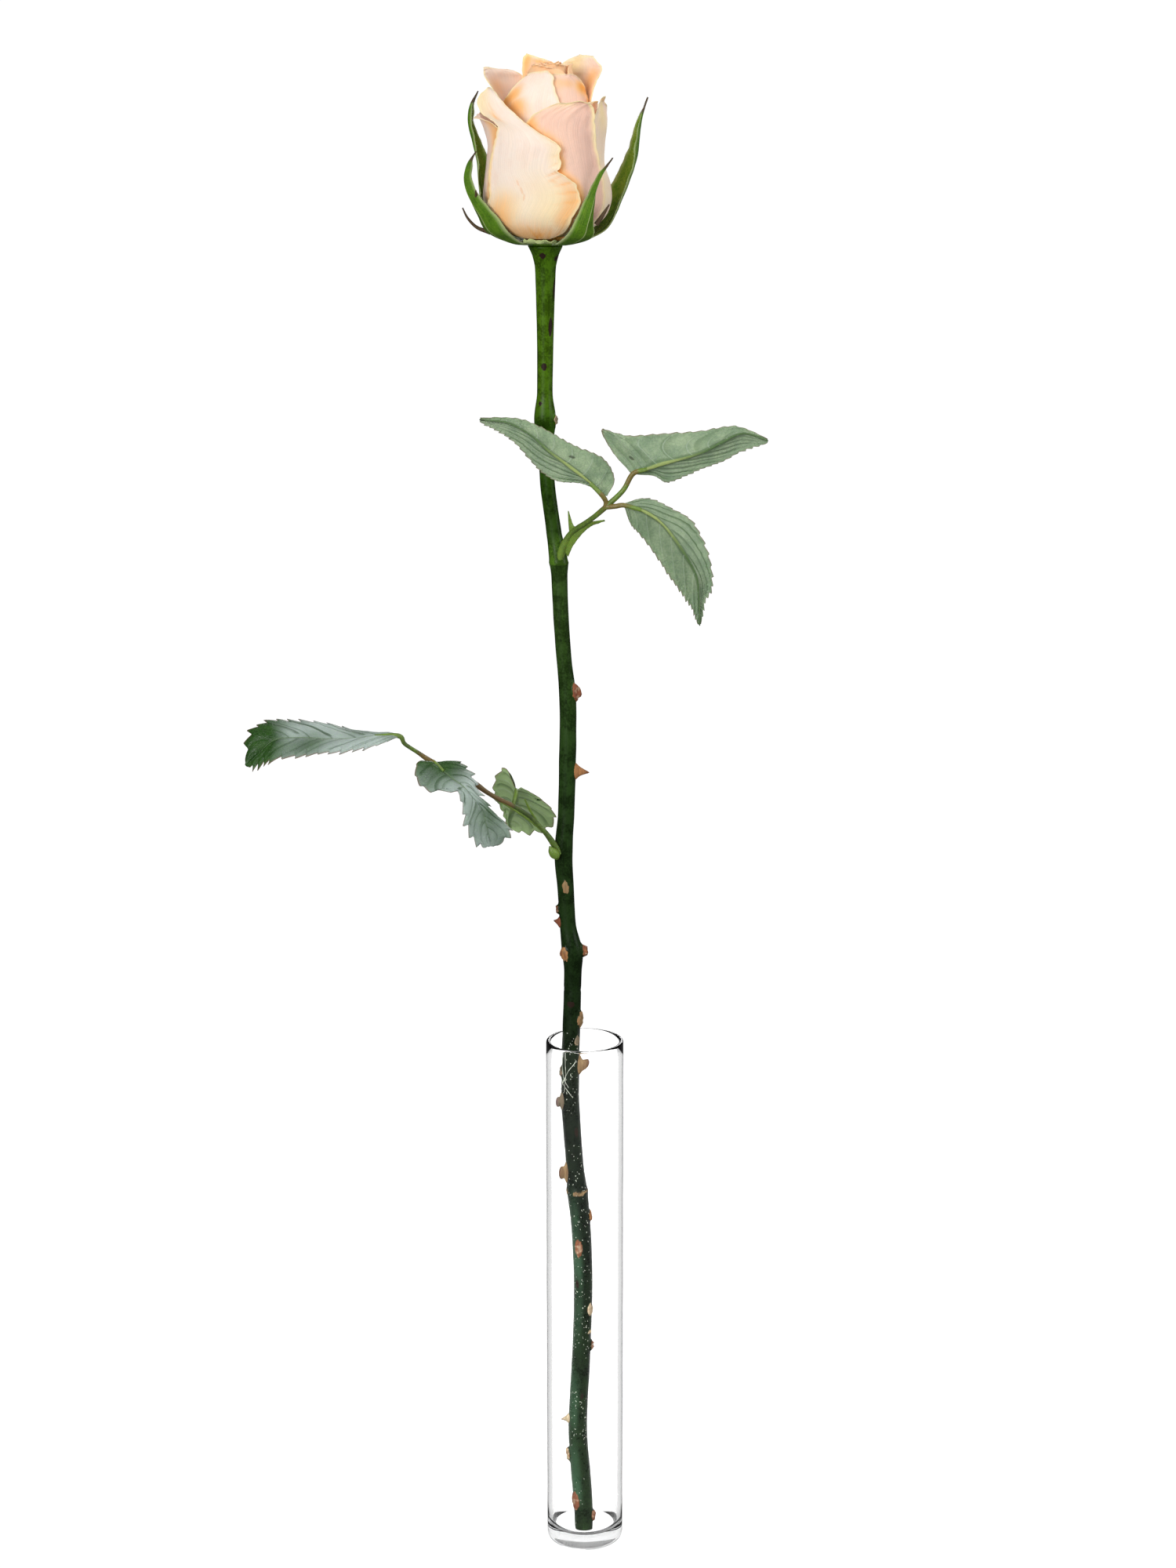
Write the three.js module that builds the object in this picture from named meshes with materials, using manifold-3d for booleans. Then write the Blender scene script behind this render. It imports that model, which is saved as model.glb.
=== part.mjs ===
// A cut rose in a slim glass cylinder vase. Millimetres, +Z up.
// The origin is the centre of the vase's base, and the bloom's front faces -Y.

import * as THREE from 'three';
import { mergeVertices } from 'three/addons/utils/BufferGeometryUtils.js';
import Module from 'manifold-3d';

const wasm = await Module();
wasm.setup();

// Driving sizes

const VASE_HEIGHT = 200;
const VASE_RADIUS = 14.25;
const WALL = 1.65;
const FLOOR = 6;
const SEAT_GAP = 0.3;
const PETAL_THICKNESS = 0.8;
const SEPAL_THICKNESS = 0.8;
const LEAF_THICKNESS = 0.7;

// The bud's own axis, and the height of the stem's flat top

const BUD_AXIS = { x: -13.8, y: 12 };
const STEM_TOP = 489.2;
const CALYX_BASE = STEM_TOP + SEAT_GAP;

// Facet counts, and how far a joined body's surface may be evened out

const VASE_SIDES = 44;
const STEM_SIDES = 10;
const STEM_STEP = 9;
const TUBE_SIDES = 5;
const FUSE_TOLERANCE = 0.05;

// Curves through hand-set points

// A smooth curve through rows of numbers, all rows evenly spaced from 0 to 1
function through(rows, t) {
  const last = rows.length - 1;
  const place = THREE.MathUtils.clamp(t, 0, 1) * last;
  const i = Math.min(Math.floor(place), last - 1);
  const f = place - i;
  const b = rows[i];
  const c = rows[i + 1];
  const a = rows[i - 1] ?? b.map((value, k) => 2 * value - c[k]);
  const d = rows[i + 2] ?? c.map((value, k) => 2 * value - b[k]);
  return b.map((value, k) => 0.5 * (
    2 * value
    + (c[k] - a[k]) * f
    + (2 * a[k] - 5 * value + 4 * c[k] - d[k]) * f ** 2
    + (3 * value - a[k] - 3 * c[k] + d[k]) * f ** 3
  ));
}

// The same kind of curve, read at a value of the rows' first number
function atKey(rows, key) {
  const last = rows.length - 1;
  let i = 0;
  while (i < last - 1 && key > rows[i + 1][0]) {
    i += 1;
  }
  const span = rows[i + 1][0] - rows[i][0];
  const f = THREE.MathUtils.clamp((key - rows[i][0]) / span, 0, 1);
  return through(rows, (i + f) / last);
}

function mix(a, b, f) {
  return a + (b - a) * f;
}

// Closed meshes

// Rings of points joined in order, with both ends closed
function loft(rings) {
  const count = rings[0].length;
  const positions = [];
  for (const ring of rings) {
    for (const point of ring) {
      positions.push(point.x, point.y, point.z);
    }
  }
  const faces = [];
  for (let i = 0; i < rings.length - 1; i += 1) {
    for (let j = 0; j < count; j += 1) {
      const next = (j + 1) % count;
      const a = i * count + j;
      const b = i * count + next;
      faces.push(a, b, b + count, a, b + count, a + count);
    }
  }
  const top = (rings.length - 1) * count;
  for (let j = 1; j < count - 1; j += 1) {
    faces.push(0, j + 1, j);
    faces.push(top, top + j, top + j + 1);
  }
  return geometryOf(positions, faces);
}

function geometryOf(positions, faces) {
  const geometry = new THREE.BufferGeometry();
  geometry.setAttribute('position', new THREE.Float32BufferAttribute(positions, 3));
  geometry.setIndex(faces);
  return geometry;
}

// A tube through rows of [x, y, z, radius]
function tube(rows, steps, sides = TUBE_SIDES) {
  const rings = [];
  for (let i = 0; i <= steps; i += 1) {
    const [x, y, z, radius] = through(rows, i / steps);
    const before = new THREE.Vector3(...through(rows, (i - 0.5) / steps));
    const after = new THREE.Vector3(...through(rows, (i + 0.5) / steps));
    const along = after.sub(before).normalize();
    const side = new THREE.Vector3(0.3, -0.9, 0.2).cross(along).normalize();
    const up = along.clone().cross(side);
    const ring = [];
    for (let j = 0; j < sides; j += 1) {
      const angle = (2 * Math.PI * j) / sides;
      ring.push(new THREE.Vector3(x, y, z)
        .addScaledVector(side, radius * Math.cos(angle))
        .addScaledVector(up, radius * Math.sin(angle)));
    }
    rings.push(ring);
  }
  return loft(rings);
}

// A thin blade over a grid of points, split into triangles alike on both faces
function blade(grid, thickness) {
  const rows = grid.length;
  const columns = grid[0].length;
  const positions = [];
  for (const side of [0.5, -0.5]) {
    for (let i = 0; i < rows; i += 1) {
      for (let j = 0; j < columns; j += 1) {
        const along = grid[Math.min(i + 1, rows - 1)][j].clone().sub(grid[Math.max(i - 1, 0)][j]);
        const across = grid[i][Math.min(j + 1, columns - 1)].clone().sub(grid[i][Math.max(j - 1, 0)]);
        const normal = across.cross(along).normalize();
        const point = grid[i][j].clone().addScaledVector(normal, side * thickness);
        positions.push(point.x, point.y, point.z);
      }
    }
  }
  const under = rows * columns;
  const faces = [];
  for (let i = 0; i < rows - 1; i += 1) {
    for (let j = 0; j < columns - 1; j += 1) {
      const a = i * columns + j;
      const b = a + 1;
      const c = a + columns + 1;
      const d = a + columns;
      faces.push(a, b, c, a, c, d);
      faces.push(a + under, c + under, b + under, a + under, d + under, c + under);
    }
  }
  const edge = (a, b) => faces.push(b, a, a + under, b, a + under, b + under);
  for (let j = 0; j < columns - 1; j += 1) {
    edge(j, j + 1);
    edge((rows - 1) * columns + j + 1, (rows - 1) * columns + j);
  }
  for (let i = 0; i < rows - 1; i += 1) {
    edge((i + 1) * columns, i * columns);
    edge(i * columns + columns - 1, (i + 1) * columns + columns - 1);
  }
  return geometryOf(positions, faces);
}

// Joining

function solidOf(geometry) {
  geometry.deleteAttribute('normal');
  geometry.deleteAttribute('uv');
  const merged = mergeVertices(geometry, 1e-4);
  const solid = new wasm.Manifold(new wasm.Mesh({
    numProp: 3,
    vertProperties: Float32Array.from(merged.attributes.position.array),
    triVerts: Uint32Array.from(merged.index.array),
  }));
  return solid;
}

// One body from many: sealed hollows are filled and loose scraps dropped
function fuse(geometries) {
  const joined = wasm.Manifold.union(geometries.map(solidOf));
  const bodies = joined.simplify(FUSE_TOLERANCE).decompose();
  const body = bodies.reduce((best, next) => (next.volume() > best.volume() ? next : best));
  const mesh = body.getMesh();
  return geometryOf(Array.from(mesh.vertProperties), Array.from(mesh.triVerts));
}

function part(name, geometry, color, roughness, extra = {}) {
  const material = new THREE.MeshStandardMaterial({ color, roughness, metalness: 0, ...extra });
  const mesh = new THREE.Mesh(geometry, material);
  mesh.name = name;
  return mesh;
}

// Vase: a straight clear cylinder, a thick floor, a rounded foot and a rounded rim

const FOOT_RADIUS = 3;
const INNER_CORNER = 3.5;
const RIM_ROUND = WALL / 2;
const ARC_STEPS = 4;

function vase() {
  const inside = VASE_RADIUS - WALL;
  const profile = [[0, 0]];
  const arc = (x, z, radius, from, to) => {
    for (let i = 0; i <= ARC_STEPS; i += 1) {
      const angle = THREE.MathUtils.degToRad(mix(from, to, i / ARC_STEPS));
      profile.push([x + radius * Math.cos(angle), z + radius * Math.sin(angle)]);
    }
  };
  arc(VASE_RADIUS - FOOT_RADIUS, FOOT_RADIUS, FOOT_RADIUS, -90, 0);
  profile.push([VASE_RADIUS, VASE_HEIGHT / 2]);
  arc(VASE_RADIUS - RIM_ROUND, VASE_HEIGHT - RIM_ROUND, RIM_ROUND, 0, 180);
  profile.push([inside, VASE_HEIGHT / 2]);
  arc(inside - INNER_CORNER, FLOOR + INNER_CORNER, INNER_CORNER, 0, -90);
  profile.push([0, FLOOR]);
  const points = profile.map(([x, z]) => new THREE.Vector2(x, z));
  const lathe = new THREE.LatheGeometry(points, VASE_SIDES).rotateX(Math.PI / 2);
  return fuse([lathe]);
}

// Stem: rows of [height, x, y, radius] from the cut end on the vase's floor to the flared top.
// It leans on the back of the rim, and swells at its nodes.

const STEM = [
  [FLOOR + SEAT_GAP, -0.3, -6, 3.3],
  [15, -0.6, -5, 3.5],
  [28, -1.5, -4, 3.6],
  [46, -2.7, -2, 3.5],
  [71, -1.6, 0, 3.45],
  [90, -0.8, 1, 3.45],
  [102, -0.6, 1.5, 3.5],
  [115, -0.9, 2.3, 3.6],
  [127, -1.6, 3.2, 3.65],
  [139, -2.8, 4, 3.85],
  [148, -3.7, 4.6, 3.4],
  [157, -4.4, 5.2, 3.35],
  [175, -5.6, 6.3, 3.5],
  [193, -5.3, 7.2, 3.35],
  [200, -5, 7.5, 3.3],
  [211, -4.7, 8.2, 3.25],
  [224, -4.4, 8.8, 3.3],
  [231, -4.6, 9, 3.9],
  [241, -6.2, 9.5, 3.05],
  [255, -7, 9.8, 3],
  [268, -7.8, 10, 3.35],
  [283, -6.8, 10.5, 3.05],
  [309, -6.2, 11, 3.1],
  [327, -6.2, 11, 3.05],
  [344, -7.7, 11, 2.75],
  [361, -8.7, 11, 2.8],
  [372, -9.1, 11.4, 2.95],
  [377, -9.4, 11.5, 3.35],
  [387, -11, 12, 2.75],
  [404, -13.2, 12, 2.7],
  [419, -13.9, 12, 2.8],
  [428, -14.1, 12, 3.9],
  [437, -14.1, 12, 2.8],
  [460, -13.9, 12, 3.05],
  [475, -13.8, 12, 3.45],
  [482, -13.8, 12, 3.75],
  [486, -13.8, 12, 4.7],
  [STEM_TOP, -13.8, 12, 6.2],
];

// Directions round the stem and the bud: 0 degrees faces -Y, and 90 degrees faces +X
function outward(degrees) {
  const angle = THREE.MathUtils.degToRad(degrees);
  return new THREE.Vector3(Math.sin(angle), -Math.cos(angle), 0);
}

function stemCentre(height) {
  const [, x, y] = atKey(STEM, height);
  return new THREE.Vector3(x, y, height);
}

// A point beside the stem, for a leaf's foot of the given radius
function besideStem(height, degrees, radius) {
  const reach = atKey(STEM, height)[3] + SEAT_GAP + radius;
  const point = stemCentre(height).addScaledVector(outward(degrees), reach);
  return [point.x, point.y, point.z, radius];
}

// What stands on the stem. Profile rows are [outwards, half height, half width, drop], in mm

const ROOT = -1.4;
const prickle = (length, high, drop) => [
  [ROOT, high / 2, 1.4, 0],
  [0.2, high / 2.2, 1.3, 0],
  [length * 0.4, high / 4, 0.9, drop * 0.2],
  [length * 0.75, high / 9, 0.5, drop * 0.6],
  [length, 0.2, 0.2, drop],
];
const stub = (length, high, wide) => [
  [ROOT, high / 2, wide / 2, 0],
  [0.2, high / 2.1, wide / 2.1, 0],
  [length, high / 3.2, wide / 3.4, 0],
];

// Each row is [height, degrees round the stem, profile]
const STEM_DETAILS = [
  [12, 75, stub(1.1, 5, 3)],
  [18.5, -50, stub(0.8, 8.5, 4.5)],
  [36, -82, stub(1.3, 6, 2.6)],
  [50, -85, prickle(2.8, 4, 0.3)],
  [79, 82, stub(1.3, 5, 3)],
  [85, 50, stub(0.6, 2.6, 2.2)],
  [94, 50, stub(0.7, 6, 3)],
  [118.5, -20, stub(0.6, 8, 3.4)],
  [130, 80, stub(0.9, 5, 2.6)],
  [147, -78, prickle(3.4, 8, 1.2)],
  [174.5, -68, prickle(2.6, 7, 0.8)],
  [186, -70, stub(1, 5, 3)],
  [187.5, 80, prickle(4, 6, -1)],
  [198, 40, stub(0.8, 4, 2.6)],
  [206, 62, stub(1.1, 7, 3.4)],
  [231, -48, stub(1, 7, 4.4)],
  [232, 82, stub(2, 5, 3)],
  [242.5, -88, prickle(2.2, 4.5, -0.6)],
  [247.5, -82, stub(1.2, 4, 3)],
  [256.5, 2, stub(0.5, 6, 2.8)],
  [299.5, 84, prickle(5, 6.6, 0.4)],
  [329.5, 58, stub(1.9, 8, 3.2)],
  [429, 62, stub(1.6, 3.4, 2.6)],
];

function onStem(height, degrees, profile) {
  const out = outward(degrees);
  const side = outward(degrees + 90);
  const surface = stemCentre(height).addScaledVector(out, atKey(STEM, height)[3]);
  const sides = 6;
  const rings = profile.map(([reach, high, wide, drop]) => {
    const centre = surface.clone().addScaledVector(out, reach);
    centre.z -= drop;
    return Array.from({ length: sides }, (_, j) => {
      const angle = (2 * Math.PI * j) / sides;
      return centre.clone()
        .addScaledVector(side, wide * Math.cos(angle))
        .add(new THREE.Vector3(0, 0, high * Math.sin(angle)));
    });
  });
  return loft(rings);
}

function stem() {
  const low = STEM[0][0];
  const heights = STEM.map((row) => row[0]);
  for (let height = low + STEM_STEP; height < STEM_TOP; height += STEM_STEP) {
    if (heights.every((known) => Math.abs(known - height) > STEM_STEP / 2)) {
      heights.push(height);
    }
  }
  heights.sort((a, b) => a - b);
  const rings = heights.map((height) => {
    const centre = stemCentre(height);
    const radius = atKey(STEM, height)[3];
    return Array.from({ length: STEM_SIDES }, (_, j) => (
      centre.clone().addScaledVector(outward((360 * j) / STEM_SIDES), radius)
    ));
  });
  const details = STEM_DETAILS.map((row) => onStem(...row));
  return fuse([loft(rings), ...details]);
}

// The bud is set out round its own axis: degrees, radius, and height over the calyx's base

function onBud(degrees, radius, height) {
  const point = outward(degrees).multiplyScalar(radius);
  return point.add(new THREE.Vector3(BUD_AXIS.x, BUD_AXIS.y, CALYX_BASE + height));
}

// A petal or sepal between its left and right edges. Rows run from root to tip:
// [left degrees, left radius, left height, right degrees, right radius, right height].
// The belly pushes its middle outwards.
function wrapped(rows, { belly = 0, thickness, lengths, widths }) {
  const grid = [];
  for (let i = 0; i <= lengths; i += 1) {
    const edges = through(rows, i / lengths);
    const line = [];
    for (let j = 0; j <= widths; j += 1) {
      const s = j / widths;
      const swell = belly * 4 * s * (1 - s) * Math.sin((Math.PI * i) / lengths);
      const [turn, radius, height] = [0, 1, 2].map((n) => mix(edges[n], edges[n + 3], s));
      line.push(onBud(turn, radius + swell, height));
    }
    grid.push(line);
  }
  return blade(grid, thickness);
}

// Calyx: a shallow cup and five sepals, hugging the bud low down and curving away to thin tips

const SEPALS = {
  leftFront: [
    [-75, 4.5, 0.7, -35, 4.5, 0.7],
    [-80, 12, 1.1, -36, 12, 1],
    [-82, 20.5, 4.8, -38, 20.2, 5.4],
    [-79, 24.2, 10.8, -46, 23.6, 11.2],
    [-77, 27.2, 17.2, -62, 26.4, 17.6],
    [-75, 28.8, 22.8, -67, 28.2, 23.2],
    [-72.5, 28.2, 28.2, -67.5, 28, 28.2],
    [-68, 25.9, 32.6, -66, 25.7, 32.8],
  ],
  rightFront: [
    [20, 4.5, 0.7, 60, 4.5, 0.7],
    [18, 12, 1, 58, 12, 0.9],
    [22, 19.8, 4.4, 54, 20.6, 3.6],
    [28, 22.9, 9.6, 47.5, 23.2, 8.8],
    [36.5, 23.9, 16.6, 47, 24.2, 15.8],
    [43, 24.8, 21.4, 46.5, 24.8, 20.6],
    [48.5, 26, 26, 51, 26, 25.6],
    [58.5, 27.3, 30.8, 60.5, 27.3, 30.8],
  ],
  rightBack: [
    [85, 4.5, 0.7, 135, 4.5, 0.7],
    [88, 12, 1, 132, 12, 1],
    [90, 20.6, 4.8, 130, 20.6, 5],
    [93, 24.6, 10.2, 128, 24.8, 10.8],
    [95, 27.2, 15.6, 126, 27.6, 17],
    [96, 30.6, 23.4, 122, 31, 24.4],
    [97.5, 32.4, 30.4, 116, 33, 31.2],
    [99.5, 33.2, 37.2, 110, 33.6, 37.8],
    [102, 34.8, 44.4, 105.5, 34.9, 44.6],
    [103, 37, 50.3, 104.5, 37, 50.5],
  ],
  back: [
    [152, 4.5, 0.7, 200, 4.5, 0.7],
    [155, 12, 1, 198, 12, 1],
    [158, 20.6, 4.8, 195, 20.6, 4.8],
    [162, 25.2, 12, 192, 25.2, 12],
    [166, 27.4, 19, 188, 27.4, 19],
    [169, 28.8, 26, 184, 28.8, 26],
    [171, 30, 33, 180, 30, 33],
    [173.5, 31.5, 39, 175.5, 31.5, 39],
  ],
  leftBack: [
    [-155, 4.5, 0.7, -105, 4.5, 0.7],
    [-150, 12, 1, -104, 12, 1],
    [-144, 20.6, 4.8, -100, 20.4, 4.8],
    [-138, 24, 12, -105, 23.8, 12],
    [-133, 25, 20, -107, 24.8, 20],
    [-127, 25.8, 28, -109.5, 25.9, 28],
    [-121, 27.4, 35, -110, 27.2, 35.5],
    [-115.5, 28.8, 42, -110.5, 28.8, 42.8],
    [-114, 28, 48, -111.5, 28, 48],
    [-116, 26, 52.4, -114.5, 26, 52.5],
  ],
};
const SEPAL_KEEL = 0.9;
const SEPAL_LENGTHS = 11;
const CUP_TOP = 1.4;
const CUP = [[0, 0], [6.2, 0], [7.4, 0.5], [7.2, CUP_TOP], [0, CUP_TOP]];

// The left front sepal's thread, and the small lobes at the sides of two sepals
const SEPAL_LOBES = [
  [[-78, 19.5, 4.6, 0.9], [-82, 24, 6.2, 0.6], [-84, 27.2, 9.4, 0.5], [-84, 29, 13, 0.35]],
  [[52, 22.6, 8, 0.9], [56, 24.2, 11.2, 0.7], [61, 25.6, 14.8, 0.35]],
  [[-66, 26, 16.6, 0.7], [-61, 27.2, 19.6, 0.35]],
];

function calyx() {
  const cup = new THREE.LatheGeometry(CUP.map(([x, z]) => new THREE.Vector2(x, z)), 20)
    .rotateX(Math.PI / 2)
    .translate(BUD_AXIS.x, BUD_AXIS.y, CALYX_BASE);
  const sepals = Object.values(SEPALS).map((rows) => (
    wrapped(rows, { belly: SEPAL_KEEL, thickness: SEPAL_THICKNESS, lengths: SEPAL_LENGTHS, widths: 4 })
  ));
  const lobes = SEPAL_LOBES.map((rows) => {
    const path = rows.map(([degrees, radius, height, thick]) => (
      [...onBud(degrees, radius, height).toArray(), thick]
    ));
    return tube(path, 5, 5);
  });
  return fuse([cup, ...sepals, ...lobes]);
}

// Bloom: the outer petals, the middle petals, and the inner whorl by rule

const OUTER_PETALS = {
  frontLeft: [
    [-35, 4.5, 2.4, 5, 4.5, 2.4],
    [-50, 13.4, 3.6, 10, 13.6, 3.1],
    [-62, 19.7, 8, 25, 19.6, 6.2],
    [-69, 22.2, 14, 32, 21.9, 12.2],
    [-64, 22.2, 20, 29, 22, 19],
    [-60, 22, 26, 12.5, 22, 24.5],
    [-57, 21.8, 32, 12.5, 21.9, 30.5],
    [-59, 22, 36.5, 2, 21.5, 36],
    [-72, 24, 40.5, -19, 20.9, 41.2],
    [-77, 24.5, 45, -38, 20.7, 46.8],
    [-73, 23, 50, -53, 20.7, 51],
    [-66, 21.2, 53.4, -61, 20.9, 53.8],
  ],
  frontRight: [
    [10, 4.5, 2.8, 50, 4.5, 2.8],
    [0, 12, 4.8, 50, 13, 4.2],
    [-6, 17.6, 8.4, 56, 19.4, 8],
    [-8, 20.1, 14, 62, 21.6, 14],
    [-8, 20.4, 20, 61, 21.4, 21],
    [-10, 20.3, 27, 57, 20.8, 28],
    [-14, 19.9, 34, 54, 20.4, 34],
    [-20, 19.3, 39.6, 53, 20.3, 40],
    [-18, 19.2, 43, 52, 20.3, 44.5],
    [-8, 19.2, 45.6, 48, 20, 47.2],
    [4, 19.1, 47.8, 42, 19.7, 48.6],
    [16, 19.1, 49, 31, 19.3, 49.3],
  ],
  right: [
    [55, 4.5, 3, 100, 4.5, 2.8],
    [50, 11.5, 6, 108, 14, 4],
    [48, 16.4, 10.4, 114, 21.6, 8.8],
    [49, 18.4, 16, 118, 24.4, 14.6],
    [50, 18.8, 22, 120, 23.4, 21],
    [52, 18.7, 28.4, 121, 20.2, 28],
    [54, 18.6, 35, 119, 20.4, 35],
    [57, 18.7, 41, 112, 21.6, 40.5],
    [62, 19, 45, 100, 21.4, 45],
    [68, 19.4, 48.6, 88, 20.4, 48.6],
    [74, 19.6, 51, 80, 19.8, 51],
  ],
  backRight: [
    [80, 4.5, 3, 165, 4.5, 2.6],
    [80, 12.4, 6, 175, 14, 3.8],
    [83, 18.2, 11, 186, 21, 8.4],
    [86, 20.4, 16, 196, 23.4, 15],
    [87, 19.4, 22, 198, 23, 22],
    [88, 17.6, 29, 198, 21.8, 29],
    [92, 18, 36, 192, 21.6, 36],
    [102, 19.6, 42, 180, 22.4, 42],
    [115, 21.6, 46, 164, 22.8, 46],
    [130, 22.2, 48.4, 147, 22.4, 48.4],
  ],
  backLeft: [
    [-160, 4.5, 3, -75, 4.5, 3],
    [-168, 13, 5.6, -66, 12.4, 5.6],
    [-172, 19.2, 10, -60, 17.8, 10.4],
    [-173, 21.4, 15.6, -56, 20.4, 15.4],
    [-172, 20.6, 22, -50, 20.5, 21.4],
    [-170, 19.4, 29, -48, 20.2, 28],
    [-162, 20.2, 36, -50, 20, 35],
    [-150, 21.4, 42, -58, 20, 40],
    [-135, 22, 46, -75, 21, 43],
    [-117, 22, 47.6, -95, 21.8, 46.4],
  ],
};
const OUTER_BELLY = { right: 1.2, backRight: 0.8, backLeft: 0.8 };

const MIDDLE_PETALS = {
  centreLeft: [
    [-30, 4.5, 4, 25, 4.5, 4],
    [-60, 10.6, 7, 40, 10.6, 7],
    [-70, 14.8, 14, 48, 14.8, 14],
    [-74, 16.6, 23, 50, 16.6, 23],
    [-78, 16.6, 32, 48, 16.6, 32],
    [-82, 16, 41, 44, 15.8, 41],
    [-83, 14.8, 48, 38, 14.6, 48],
    [-76, 13.6, 52, 32, 13, 52.5],
    [-58, 11.8, 55.5, 24, 11.6, 56],
    [-40, 10.9, 58.2, 12, 11, 58.4],
    [-24, 10.6, 59.5, -6, 10.6, 59.7],
  ],
  centreRight: [
    [15, 4.5, 4, 80, 4.5, 4],
    [0, 9.6, 7, 100, 10.6, 7],
    [-4, 13.4, 14, 108, 14.8, 14],
    [-4, 15, 23, 112, 16.6, 23],
    [-4, 15, 32, 112, 16.6, 32],
    [-2, 14.4, 41, 110, 16, 41],
    [2, 13, 48, 105, 14.8, 48],
    [6, 11.6, 52, 98, 13.8, 52],
    [12, 10.4, 55.5, 88, 13.2, 54.6],
    [22, 9.6, 57.6, 68, 11.6, 56.6],
    [33, 9.4, 58.6, 52, 10.4, 58],
  ],
  left: [
    [-140, 4.5, 4.4, -80, 4.5, 4.4],
    [-150, 11.6, 7.6, -72, 11.6, 7.6],
    [-154, 16.2, 14, -70, 16.2, 14],
    [-156, 17.8, 23, -69, 18, 23],
    [-156, 17.4, 32, -69, 18, 32],
    [-155, 16, 41, -71, 17.2, 41],
    [-154, 14.5, 48, -74, 15.6, 48.6],
    [-152, 13.6, 53, -78, 18.6, 53.2],
    [-148, 13.4, 56.5, -81, 21.6, 56.4],
    [-138, 13.8, 58.8, -84.5, 22.3, 58.8],
    [-118, 16.6, 60.3, -91, 21.6, 60.5],
  ],
  backRight: [
    [85, 4.5, 4.4, 150, 4.5, 4.4],
    [80, 11.4, 7.6, 158, 11.6, 7.6],
    [78, 15.6, 14, 162, 16.2, 14],
    [77, 17.4, 23, 164, 17.8, 23],
    [77, 17.4, 32, 164, 17.4, 32],
    [79, 16.4, 41, 163, 16, 41],
    [83, 15.4, 48.6, 161, 14.4, 49],
    [86, 16.6, 54.4, 159, 13.2, 55],
    [89, 18.9, 59.4, 156, 12.6, 59.5],
    [95, 18.8, 62.6, 150, 12.8, 62.4],
    [108, 17.2, 64.4, 138, 14, 64.2],
  ],
  back: [
    [-205, 4, 5, -150, 4, 5],
    [-206, 8, 9, -142, 8, 9],
    [-207, 11.6, 16, -138, 11.6, 16],
    [-208, 13.4, 26, -136, 13.4, 26],
    [-208, 13.2, 36, -136, 13.2, 36],
    [-207, 12, 46, -137, 12.4, 46],
    [-205, 10.6, 54, -138, 11.6, 54],
    [-202, 9.8, 59.5, -141, 11.4, 59.5],
    [-196, 9.6, 62.4, -145, 11.6, 63],
    [-184, 9.8, 63.8, -152, 11.4, 64.8],
  ],
  hiddenRight: [
    [30, 4.5, 4.2, 110, 4.5, 4.2],
    [26, 11.4, 7.2, 116, 11.6, 7.2],
    [24, 16, 13, 122, 16.6, 13],
    [24, 18.2, 22, 124, 19, 22],
    [26, 18, 32, 122, 18.6, 32],
    [32, 17.4, 40, 114, 18, 40],
    [42, 17, 46, 102, 18, 46],
    [58, 17, 49.6, 86, 17.6, 49.8],
  ],
  hiddenBack: [
    [150, 4.5, 4.2, 215, 4.5, 4.2],
    [144, 12, 7.4, 222, 12, 7.4],
    [140, 17.4, 13, 226, 17.4, 13],
    [138, 19.6, 22, 228, 19.6, 22],
    [140, 18.8, 32, 227, 18.8, 32],
    [144, 17.6, 42, 222, 17.6, 42],
    [150, 17.8, 50, 214, 18.2, 50],
    [164, 18.6, 55, 200, 19, 55],
  ],
};

const WHORL_COUNT = 8;
const WHORL_TURN = 137.5;
const WHORL_START = 200;
const WHORL_OUTER = 9;
const WHORL_INNER = 2.2;
const WHORL_LOW = 58.6;
const WHORL_HIGH = 61.8;

// The petal at place k of the inner whorl, counted inwards
function whorlPetal(k) {
  const f = k / (WHORL_COUNT - 1);
  const turn = WHORL_START + WHORL_TURN * k;
  const radius = mix(WHORL_OUTER, WHORL_INNER, f);
  const top = mix(WHORL_LOW, WHORL_HIGH, f) + (Math.cos(THREE.MathUtils.degToRad(turn)) < 0 ? 1 : 0);
  const half = mix(62, 88, f);
  const row = (spread, swell, height) => (
    [turn - half * spread, radius * swell, height, turn + half * spread, radius * swell, height - 0.8]
  );
  return [
    row(0.8, 0.9, 36),
    row(1, 1.12, 44),
    row(1, 1.12, 52),
    row(0.92, 1.02, top - 3),
    row(0.66, 0.96, top - 0.9),
    row(0.25, 0.95, top),
  ];
}

// The core carries the petals' roots and is hidden by them
const CORE_BASE = CUP_TOP + SEAT_GAP;
const CORE = [
  [0, CORE_BASE], [6.4, CORE_BASE], [9.6, 4.2], [11.4, 9], [12, 18], [11.8, 30], [10, 41], [6.5, 48], [0, 51],
];

function bloom() {
  const thickness = PETAL_THICKNESS;
  const core = new THREE.LatheGeometry(CORE.map(([x, z]) => new THREE.Vector2(x, z)), 16)
    .rotateX(Math.PI / 2)
    .translate(BUD_AXIS.x, BUD_AXIS.y, CALYX_BASE);
  const outer = Object.entries(OUTER_PETALS).map(([name, rows]) => (
    wrapped(rows, { belly: OUTER_BELLY[name] ?? 0, thickness, lengths: 12, widths: 6 })
  ));
  const middle = Object.values(MIDDLE_PETALS).map((rows) => (
    wrapped(rows, { thickness, lengths: 10, widths: 4 })
  ));
  const whorl = Array.from({ length: WHORL_COUNT }, (_, k) => (
    wrapped(whorlPetal(k), { thickness, lengths: 6, widths: 5 })
  ));
  return fuse([core, ...outer, ...middle, ...whorl]);
}

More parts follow.
